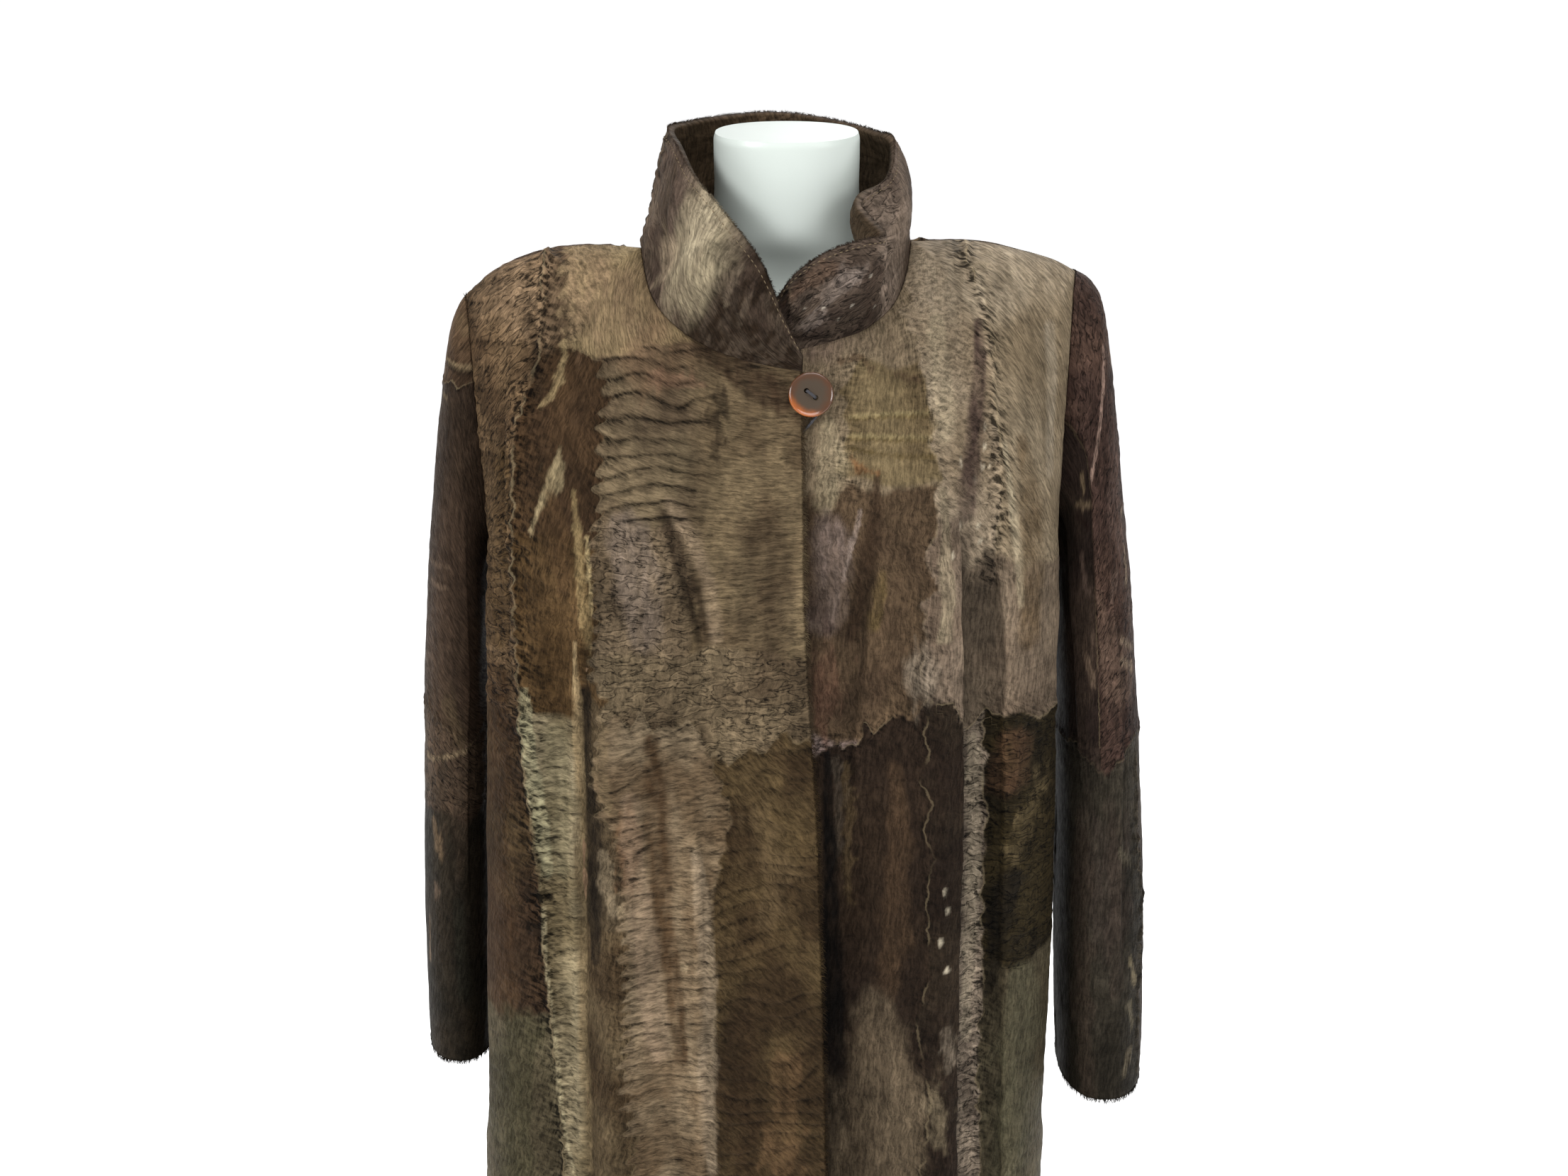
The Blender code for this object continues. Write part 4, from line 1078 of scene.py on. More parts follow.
    def _inward(self, outer: Array, inward: Array) -> Array:
        """Directions to the inner wall: level or square to the seams at the rims, as in the solids.

        Args:
            outer: the outer points, in rows from the hem up.
            inward: the directions against the outer normals.

        Returns:
            The directions, changed at the top, the side seams and the armholes.
        """
        inward = inward.copy()
        top = outer[-1]
        slope = np.gradient(top[:, 2], top[:, 0])
        square = unit(np.stack([slope, np.zeros_like(slope), -np.ones_like(slope)], axis=-1))
        right_neck, left_neck = (SHOULDERS[side].rows[0, 1] for side in ("right", "left"))
        beyond = (top[:, 0] < right_neck + 0.001) | (top[:, 0] > left_neck - 0.001)
        inward[-1, beyond] = square[beyond]
        rise = np.linspace(0, 1, self.yoke + 1)[:, None]
        for edge in {"front_right": (0,), "front_left": (-1,), "back": (0, -1)}[self.name]:
            level = np.array([-np.sign(outer[0, edge, 0]), 0, 0])
            loop = outer[self.skirt :, edge]
            to_middle = unit((middle_of(loop) - loop) * [0, 1, 1]) * smooth_step(rise * 2.5)
            inward[: self.skirt, edge] = level
            inward[self.skirt :, edge] = unit(to_middle + level * (1 - rise) ** 3)
        return inward


def middle_of(loop: Array) -> Array:
    """The middle of an armhole's loop, in the plane of the side seam."""
    return np.array([0, SIDE_SEAM_Y, (loop[:, 2].max() + loop[:, 2].min()) / 2])


@dataclass
class Sleeve:
    """A one-piece sleeve: a tube from the armhole's loop through rings flattened fore and aft."""

    side_name: str
    front: CoatPanel
    back: CoatPanel
    pattern: Pattern
    flat: tuple[float, float]
    area: float = 0.20
    rings: int = 234
    half_turn: int = 108
    first_ring: float = 0.5
    turn_width: float = 0.062

    @property
    def grid_shape(self) -> tuple[int, int]:
        """The rows and columns of its outer points."""
        return self.rings + 1, self.half_turn * 2

    def build(self) -> bpy.types.Object:
        """The sleeve's shell. Its first rings blend from the armhole's loop into the table's.

        A ring is a superellipse between its outer and inner lines. The pattern is laid round it
        from the outer line forwards, at turn_width for a radian, with the cut at the underarm.

        Returns:
            The sleeve, in the scene.
        """
        front = self.front.surface(1, self.half_turn, 24)[1:, -1]
        back = self.back.surface(1, self.half_turn, 34)[1:, 0 if self.side_name == "right" else -1]
        loop = np.concatenate([front[::-1], back[1:-1]])
        rings = SLEEVES[self.side_name]
        at = np.linspace(0, 1, self.rings + 1) ** 1.2 * rings.rows[-1, 0]
        sizes = (size[:, None] for size in rings.at(at, *rings.columns[1:]))
        outer_x, outer_z, inner_x, inner_z, front_y, back_y = sizes
        turn = np.linspace(0, 2 * math.pi, len(loop), endpoint=False)
        across, ahead = np.cos(turn)[None], np.sin(turn)[None]
        radius = superellipse(across, ahead, 2 + (SLEEVE_ROUNDNESS - 2) * smooth_step(at / 3)[:, None])
        across, ahead = across * radius, ahead * radius
        grid = np.stack([
            ((outer_x + inner_x) + (outer_x - inner_x) * across) / 2,
            ((front_y + back_y) + (front_y - back_y) * ahead) / 2,
            ((outer_z + inner_z) + (outer_z - inner_z) * across) / 2,
        ], axis=-1)
        side = -1 if self.side_name == "right" else 1
        mixed = smooth_step(at / self.first_ring)[:, None, None]
        grid = (loop + [side * SEAM_GAP * 1.5, 0, 0]) * (1 - mixed) + grid * mixed
        if side > 0:
            grid, turn = grid[:, ::-1], turn[::-1]
        lining = grid[::-1]
        outer = lining + self._outward(lining) * WALL * mixed[::-1]
        around = ((turn + math.pi) % (2 * math.pi) - math.pi) * self.turn_width
        dressing = self.pattern.lay(np.broadcast_to(around, outer.shape[:2]), outer[..., 2])
        normal = self._outward(outer)
        fade = smooth_step(from_rims(len(outer), ROW_PITCH)[:, None] / RELIEF_FADE)
        creased = outer + normal * (dressing.creased * fade)[..., None]
        fine = creased + normal * (dressing.raised * fade)[..., None]
        inward = -normal
        inward[-1] = unit((middle_of(loop) - outer[-1]) * [0, 1, 1])
        name = f"sleeve_{self.side_name}_fur"
        return Shell(name, fine, creased + inward * WALL, dressing, tube=True).build()

    def _outward(self, rings: Array) -> Array:
        """The unit normals of rings that close on themselves."""
        return outward(np.concatenate([rings[:, -1:], rings, rings[:, :1]], axis=1))[:, 1:-1]


@dataclass
class Collar:
    """The standing collar: one strip of fur on both sides, with its roll, wrinkles and stitched edge."""

    outside: Pattern
    inside: Pattern
    flat: tuple[float, float] = (0.47, 0.125)
    area: float = 0.053
    part_columns: int = 120
    rows: int = 60
    foot_drop: float = 0.0010
    swell_at_roll: float = 6.75  # the greatest value of 6.75 h^2 (1 - h) is 1
    base_width: float = 0.15
    height: float = 0.10
    stitch_pitch: float = 0.0044
    stitch_length: float = 0.0028
    stitch_radius: float = 0.00042
    places: Array = field(default_factory=lambda: np.zeros(0))

    @property
    def grid_shape(self) -> tuple[int, int]:
        """The rows and columns of its outer points."""
        return self.rows + 1, self.part_columns * 3 + 1

    def surface(self) -> tuple[Array, Array]:
        """The outer face: from the necklines' foot to the free edge, swelling between them.

        Returns:
            The points, in rows from the foot up, and each column's base: from 0 to 1 on the right
            front, to 2 on the back and to 3 on the left front.
        """
        feet, bases = [], []
        for number, (panel, way) in enumerate((("front_right", 1), ("back", 1), ("front_left", -1))):
            at = np.linspace(0, 1, self.part_columns + 1)
            foot = np.stack(NECKLINES[panel].at(at if way > 0 else 1 - at, "x", "y", "z"), axis=-1)
            last = None if panel == "front_left" else -1
            feet.append(foot[:last])
            bases.append(number + at[:last])
        foot, base = np.concatenate(feet) - [0, 0, self.foot_drop], np.concatenate(bases)
        edge = np.stack(COLLAR.at(base, "x", "y", "z"), axis=-1)
        outside = unit((foot + edge) / 2 * [1, 1, 0])
        height = np.linspace(0, 1, self.rows + 1)[:, None]
        swell = self.swell_at_roll * height**2 * (1 - height) * COLLAR.at(base, "roll")[0]
        for foot_at, top_at, width, depth in COLLAR_FOLDS:
            place = foot_at + (top_at - foot_at) * height
            swell += depth * np.exp(-(((base - place) / width) ** 2)) * 4 * height * (1 - height)
        return foot + (edge - foot) * height[..., None] + outside * swell[..., None], base

    def build(self) -> bpy.types.Object:
        """The collar's shell, fine on both sides. Patterns are laid over (base, height) as metres.

        Returns:
            The collar, in the scene.
        """
        outer, base = self.surface()
        outer, base = outer[:, ::-1], base[::-1]
        height = np.linspace(0, 1, self.rows + 1)[:, None]
        across = np.broadcast_to(base * self.base_width, self.grid_shape)
        up = np.broadcast_to(height * self.height, self.grid_shape)
        dressing, lining = self.outside.lay(across, up), self.inside.lay(across, up)
        normal = outward(outer)
        from_end, from_side = from_rims(len(outer), 0.0017)[:, None], from_rims(len(base), 0.0014)
        fade = smooth_step(from_end / RELIEF_FADE) * smooth_step(from_side / RELIEF_FADE)
        inward = -normal
        inward[0] = unit(inward[0] * [1, 1, 0])
        rolled = 0.0006 * np.exp(-(((height - 1) * self.height / 0.003) ** 2))
        fine = outer + normal * ((dressing.raised + dressing.creased) * fade + rolled)[..., None]
        inner = outer + inward * COLLAR_WALL + normal * (dressing.creased * fade * 0.6)[..., None]
        inner = inner - normal * (lining.raised * fade)[..., None]
        self.places = fine
        return Shell("collar_fur", fine, inner, dressing, step=1, inner_dressing=lining).build()

    def stitches(self) -> bpy.types.Object:
        """Short sunken stitches near the rolled edge, all along it: each a small pod of thread.

        Returns:
            The stitches, in the scene as one piece.
        """
        row, rings, sides = self.rows - 3, 5, 6
        line, normal = self.places[row], outward(self.places)[row]
        length = lengths(line)
        starts = np.arange(0.004, length[-1] - 0.004, self.stitch_pitch)
        stations = starts[:, None] + np.linspace(0, self.stitch_length, rings)[None]
        centre = np.stack([np.interp(stations, length, line[:, axis]) for axis in range(3)], axis=-1)
        out = unit(np.stack([np.interp(stations, length, normal[:, axis]) for axis in range(3)], axis=-1))
        side = np.cross(unit(np.gradient(centre, axis=1)), out)
        radius = self.stitch_radius * np.sin(np.linspace(0.12, math.pi - 0.12, rings))[:, None, None]
        turn = np.linspace(0, 2 * math.pi, sides, endpoint=False)[:, None]
        ring = np.cos(turn) * side[:, :, None] + np.sin(turn) * out[:, :, None]
        points = (centre[:, :, None] + ring * radius + out[:, :, None] * 0.0001).reshape(-1, 3)
        return tubes("collar_stitches", points, len(starts), rings, sides)
        return tubes("collar_stitches", points, len(starts), 5, 6)


def tubes(name: str, points: Array, count: int, rings: int, sides: int) -> bpy.types.Object:
    """Closed tubes of rings of points, all of one size.

    Args:
        name: the piece's name.
        points: the points, tube by tube and ring by ring.
        count: the number of tubes.
        rings: the number of rings in each.
        sides: the number of points in a ring.

    Returns:
        The piece, in the scene, with its faces turned outwards.
    """
    index = np.arange(count * rings * sides).reshape(count, rings, sides)
    index = np.concatenate([index, index[:, :, :1]], axis=2)
    quads = np.concatenate([squares(tube) for tube in index])
    caps = np.concatenate([index[:, 0, :-1][:, ::-1], index[:, -1, :-1]])
    corners = np.concatenate([quads.ravel(), caps.ravel()])
    along = (np.arange(len(points)) // sides % rings) / rings * 0.02
    around = (np.arange(len(points)) % sides) / sides * 0.006
    mesh = grid_mesh(name, points, quads, caps, np.stack([around, along], axis=-1)[corners])
    shape = bmesh.new()
    shape.from_mesh(mesh)
    bmesh.ops.recalc_face_normals(shape, faces=shape.faces)
    shape.to_mesh(mesh)
    shape.free()
    return linked(name, mesh)


def curve_frames(route: Array) -> tuple[Array, Array]:
    """Two directions square to a path at each of its points, without sudden turns between them.

    Args:
        route: the path's points.

    Returns:
        The two directions, each square to the other.
    """
    ahead = unit(np.gradient(route, axis=0))
    side = np.empty_like(ahead)
    last = unit(np.cross(ahead[0], [0.31, 0.2, 0.93]))
    for number, direction in enumerate(ahead):
        last = unit(last - direction * (last @ direction))
        side[number] = last
    return side, np.cross(ahead, side)


def smooth_route(stations: tuple[tuple[float, float, float], ...], steps: int) -> Array:
    """A smooth path through stations: cubic curves with the slopes of the stations on both sides."""
    table = Table("at x y z", *[(float(n), *place) for n, place in enumerate(stations)])
    return np.stack(table.at(np.linspace(0, len(stations) - 1, steps), "x", "y", "z"), axis=-1)


@dataclass
class Fastening:
    """The amber button with its thread, and the cord loop that goes over it."""

    place: tuple[float, float, float] = (0.0175, -0.1285, 1.2802)
    tilt: float = math.radians(20)
    radius: float = 0.0163
    hole_radius: float = 0.0019
    hole_offset: float = 0.0042
    slant: float = math.radians(-38)
    cord_radius: float = 0.0011

    thread_radius: float = 0.00042
    bridge_height: float = 0.0026
    lay_length: float = 0.0042
    swelling: float = 0.13

    def on_chest(self, points: Array) -> Array:
        """Turns points made about Z, so that their +Z looks out of the chest, at the button's place.

        Args:
            points: the points.

        Returns:
            The points on the chest.
        """
        angle = math.pi / 2 - self.tilt
        cos, sin = math.cos(angle), math.sin(angle)
        return points @ np.array([[1, 0, 0], [0, cos, -sin], [0, sin, cos]]).T + np.array(self.place)

    def button(self) -> bpy.types.Object:
        """A dished disc turned from its profile, with a thin raised rim, then drilled twice.

        The profile's rows are (distance from the middle, height), from the top to the underside,
        and its middles close the disc with fans.

        Returns:
            The button, in the scene.
        """
        top, underside, sides = 0.0010, -0.0022, 96
        ring = np.array([
            (0.0040, 0.00105), (0.0080, 0.0012), (0.0112, 0.0015), (0.0134, 0.0019), (0.0146, 0.0021),
            (0.0151, 0.00235), (0.0156, 0.0022), (0.0161, 0.0015), (self.radius, 0.0006),
            (self.radius, -0.0003), (0.0160, -0.0011), (0.0154, -0.0018), (0.0147, -0.0021),
        ])
        turn = np.linspace(0, 2 * math.pi, sides, endpoint=False)
        away, height = ring[:, :1], np.broadcast_to(ring[:, 1:], (len(ring), sides))
        points = np.stack([away * np.cos(turn), away * np.sin(turn), height], axis=-1).reshape(-1, 3)
        points = np.vstack([points, [[0, 0, top], [0, 0, underside]]])
        index = np.arange(len(ring) * sides).reshape(len(ring), sides)
        index = np.concatenate([index, index[:, :1]], axis=1)
        fans = np.vstack([
            np.stack([np.full(sides, index[-1, -2] + 1), index[0, :-1], index[0, 1:]], axis=-1),
            np.stack([np.full(sides, index[-1, -2] + 2), index[-1, 1:], index[-1, :-1]], axis=-1),
        ])
        quads = squares(index)[:, ::-1]
        corners = np.concatenate([quads.ravel(), fans.ravel()])
        button = linked("amber_button", grid_mesh("amber_button", points, quads, fans, points[corners, :2]))
        drills = [self._drill(button, side) for side in (-1, 1)]
        bpy.context.view_layer.update()
        drilled = bpy.data.meshes.new_from_object(button.evaluated_get(bpy.context.evaluated_depsgraph_get()))
        button.modifiers.clear()
        button.data = drilled
        for drill in drills:
            bpy.data.objects.remove(drill)
        places, spots = np.empty(len(drilled.vertices) * 3), np.empty(len(drilled.loops), int)
        drilled.vertices.foreach_get("co", places)
        drilled.loops.foreach_get("vertex_index", spots)
        places = places.reshape(-1, 3)
        drilled.uv_layers["cloth"].data.foreach_set("uv", places[spots, :2].astype(np.float32).ravel())
        drilled.vertices.foreach_set("co", self.on_chest(places).astype(np.float32).ravel())
        drilled.shade_smooth()
        drilled.set_sharp_from_angle(angle=math.radians(40))
        drilled.update()
        return button

    def _drill(self, button: bpy.types.Object, side: int) -> bpy.types.Object:
        """A cylinder through one of the button's holes, and the cut that it makes.

        Args:
            button: the undrilled button.
            side: -1 or 1, for the hole on that side of the middle.

        Returns:
            The cylinder, to be removed when the button is drilled.
        """
        shape, mesh, radius = bmesh.new(), bpy.data.meshes.new("drill"), self.hole_radius
        bmesh.ops.create_cone(shape, cap_ends=True, segments=32, radius1=radius, radius2=radius, depth=0.02)
        away = self.hole_offset * side
        away = (math.cos(self.slant) * away, math.sin(self.slant) * away, 0)
        bmesh.ops.translate(shape, verts=shape.verts, vec=away)
        shape.to_mesh(mesh)
        shape.free()
        cut = button.modifiers.new("hole", "BOOLEAN")
        cut.operation, cut.object, cut.solver = "DIFFERENCE", linked("drill", mesh), "EXACT"
        return cut.object

    def thread(self) -> bpy.types.Object:
        """Three strands over the button's bridge, down its holes and together into the cloth.

        A station is (share of the way from the middle to a hole, height, spread of the strands).

        Returns:
            The strands, in the scene as one piece.
        """
        reach = np.array([math.cos(self.slant), math.sin(self.slant)]) * self.hole_offset
        square = np.array([-reach[1], reach[0]]) / self.hole_offset
        strands = []
        for beside, lift in ((-0.0006, 0), (0.0, 0.00025), (0.0006, 0)):
            rise = self.bridge_height + lift
            down = ((0.72, rise, 1), (1, 0.0012, 0.9), (1, -0.0026, 0.8), (0.5, -0.0086, 0.3))
            up = tuple((-share, height, spread) for share, height, spread in down[::-1])
            stations = []
            for share, height, spread in (*up, (0, rise + 0.0001, 1), *down):
                spot = reach * share + square * beside * spread
                stations.append((spot[0], spot[1], height))
            strands.append(self.on_chest(smooth_route(tuple(stations), 60)))
        return self._rope("thread_strands", strands, self.thread_radius, 8)

    def loop(self) -> bpy.types.Object:
        """The cord loop: a tube with the slow twist of a two-ply cord."""
        stations = (
            (0.0124, -0.1178, 1.2872), (0.0180, -0.1190, 1.2864), (0.0228, -0.1212, 1.2830),
            (0.0255, -0.1240, 1.2775), (0.0250, -0.1262, 1.2710), (0.0205, -0.1278, 1.2630),
            (0.0140, -0.1288, 1.2555), (0.0070, -0.1298, 1.2500),
        )
        twist = 2 * math.pi / self.lay_length
        return self._rope("cord_loop", [smooth_route(stations, 140)], self.cord_radius, 16, twist)

    def _rope(
        self, name: str, routes: list[Array], radius: float, sides: int, twist: float = 0.0
    ) -> bpy.types.Object:
        """Tubes along routes. A twisted one's radius swells twice a turn, and the swellings wind along it.

        Args:
            name: the piece's name.
            routes: a path of points for each tube, all of one length.
            radius: the tubes' radius where they swell most.
            sides: the number of points round a tube.
            twist: how far the swellings turn in a metre, in radians, or 0 for a round tube.

        Returns:
            The tubes, in the scene as one piece.
        """
        parts = []
        swelling = self.swelling if twist else 0
        turn = np.linspace(0, 2 * math.pi, sides, endpoint=False)
        for route in routes:
            side, other = (direction[:, None] for direction in curve_frames(route))
            swell = 1 + swelling * np.cos(2 * turn - lengths(route)[:, None] * twist)
            ring = np.cos(turn)[:, None] * side + np.sin(turn)[:, None] * other
            ring = ring * (radius * swell / (1 + swelling))[..., None]
            parts.append((route[:, None] + ring).reshape(-1, 3))
        return tubes(name, np.concatenate(parts), len(routes), len(routes[0]), sides)


@dataclass
class DressForm:
    """The white torso and neck: superelliptic sections through its table, closed at both ends."""

    sides: int = 96
    rings: int = 150
    sharp: float = math.radians(50)

    def build(self) -> bpy.types.Object:
        """Sections from the cut bottom to the cut neck, closest together in the round of its top.

        Returns:
            The form, in the scene.
        """
        low, high = FORM.rows[0, 0], FORM.rows[-1, 0]
        below_top = np.array([0.0045, 0.003, 0.0016, 0.0006, 0])
        z = np.concatenate([np.linspace(low, high - 0.006, self.rings - len(below_top)), high - below_top])
        half_width, front_y, back_y = (v[:, None] for v in FORM.at(z, "half_width", "front_y", "back_y"))
        turn = np.linspace(0, 2 * math.pi, self.sides, endpoint=False)[None]
        across, ahead = np.sin(turn), np.cos(turn)
        radius = superellipse(across, ahead, FORM_ROUNDNESS)
        y = np.where(ahead > 0, front_y, -back_y) * ahead * radius
        points = np.stack([half_width * across * radius, y, np.broadcast_to(z[:, None], y.shape)], axis=-1)
        form = tubes("plastic_form", points.reshape(-1, 3), 1, self.rings, self.sides)
        form.data.set_sharp_from_angle(angle=self.sharp)
        return form


@dataclass
class Fringe:
    """Loose hairs that stand past an edge of the fur: bent blades with their roots on the edge."""

    name: str
    roots: Array
    out: Array
    tones: Array
    count: int
    length: float
    seed: int
    half_width: float = 0.00026

    def build(self) -> bpy.types.Object:
        """Each blade is three short faces from root to tip, leaning out and down by its own amount.

        Returns:
            The hair, in the scene as one piece.
        """
        dice = np.random.default_rng(self.seed)
        pick = dice.random(self.count) * (len(self.roots) - 1)
        low = pick.astype(int)
        part = (pick - low)[:, None]
        root = self.roots[low] * (1 - part) + self.roots[low + 1] * part
        out = unit(self.out[low] * (1 - part) + self.out[low + 1] * part)
        along = unit(self.roots[low + 1] - self.roots[low])
        sideways, astray = dice.normal(0, 0.45, (self.count, 1)), dice.normal(0, 0.18, (self.count, 3))
        way = unit(out + along * sideways + astray + [0, 0, -0.25])
        side = unit(np.cross(way, dice.normal(0, 1, (self.count, 3))))
        length = (self.length * dice.uniform(0.45, 1.25, self.count))[:, None]
        bend = np.array([0, 0, -0.35]) * length + along * length * dice.normal(0, 0.25, (self.count, 1))
        rings = []
        for share, thick in ((-0.25, 1.0), (0.35, 0.8), (0.75, 0.45)):
            centre = root + way * length * share + bend * max(share, 0) ** 2
            rings += [centre - side * self.half_width * thick, centre + side * self.half_width * thick]
        points = np.stack([*rings, root + way * length + bend], axis=1).reshape(-1, 3)
        start = np.arange(self.count)[:, None] * 7
        quads = np.concatenate([start + [0, 1, 3, 2], start + [2, 3, 5, 4]])
        tips = start + [4, 5, 6]
        corners = np.concatenate([quads.ravel(), tips.ravel()])
        spread = np.stack([dice.random(len(points)) * 0.05, dice.random(len(points)) * 0.05], axis=-1)
        mesh = grid_mesh(self.name, points, quads, tips, spread[corners])
        tones = self.tones[low] * dice.uniform(0.75, 1.3, (self.count, 1))
        store_fur(mesh, plain_layers(tones.repeat(7, axis=0)))
        return linked(self.name, mesh)


def edge_of(piece: bpy.types.Object, shape: tuple[int, int], edge: Edge) -> tuple[Array, Array, Array]:
    """One edge of a shell's outer grid.

    Args:
        piece: the shell.
        shape: the rows and columns of its outer grid.
        edge: which edge.

    Returns:
        The edge's points, the directions out past it, and its tones.
    """
    count, attribute = shape[0] * shape[1], piece.data.attributes["pelt_tone"]
    places = np.empty(len(piece.data.vertices) * 3, np.float32)
    tones = np.empty(len(piece.data.vertices) * 4, np.float32)
    piece.data.vertices.foreach_get("co", places)
    attribute.data.foreach_get("color", tones)
    grid = places.reshape(-1, 3)[:count].reshape(*shape, 3).astype(float)
    tones = tones.reshape(-1, 4)[:count, :3].reshape(*shape, 3).astype(float)
    if edge in (Edge.LEFT, Edge.RIGHT):
        grid, tones = grid.swapaxes(0, 1), tones.swapaxes(0, 1)
    rim, inner = (0, 2) if edge in (Edge.LOW, Edge.LEFT) else (-1, -3)
    return grid[rim], unit(grid[rim] - grid[inner]), tones[inner]


def fill(tree: bpy.types.NodeTree, node: bpy.types.Node, inputs: dict[int | str, object]) -> bpy.types.Node:
    """Fills a node's inputs.

    Args:
        tree: the material's nodes.
        node: the node.
        inputs: for each input a plain value, a socket, or a node that gives its first output.

    Returns:
        The node.
    """
    for socket, value in inputs.items():
        value = value.outputs[0] if isinstance(value, bpy.types.Node) else value
        if isinstance(value, bpy.types.NodeSocket):
            tree.links.new(value, node.inputs[socket])
        else:
            node.inputs[socket].default_value = value
    return node


def add(
    tree: bpy.types.NodeTree, kind: str, inputs: dict[int | str, object] | None = None, **settings: object
) -> bpy.types.Node:
    """Adds a shader node with its own settings, and fills its inputs.

    Args:
        tree: the material's nodes.
        kind: the node's type, without the ShaderNode that starts it.
        inputs: what each of its inputs gets.
        settings: its own settings, by their names.

    Returns:
        The node.
    """
    node = tree.nodes.new(f"ShaderNode{kind}")
    for name, value in settings.items():
        setattr(node, name, value)
    return fill(tree, node, inputs or {})


def add_up(tree: bpy.types.NodeTree, total: float, *layers: tuple[object, object]) -> bpy.types.Node:
    """The total plus each layer times its weight.

    Args:
        tree: the material's nodes.
        total: the number that the sum starts from.
        layers: pairs of a layer and its weight.

    Returns:
        The node that gives the sum.
    """
    for layer, weight in layers:
        total = add(tree, "Math", {0: layer, 1: weight, 2: total}, operation="MULTIPLY_ADD")
    return total


def rgba(code: str) -> tuple[float, ...]:
    """A socket's value for an sRGB hex code."""
    return (*linear(code), 1.0)


def material_of(name: str) -> tuple[bpy.types.Material, bpy.types.NodeTree, bpy.types.Node]:
    """A new material with its node tree and Principled shader."""
    material = bpy.data.materials.new(name)
    material.use_nodes = True
    return material, material.node_tree, material.node_tree.nodes["Principled BSDF"]


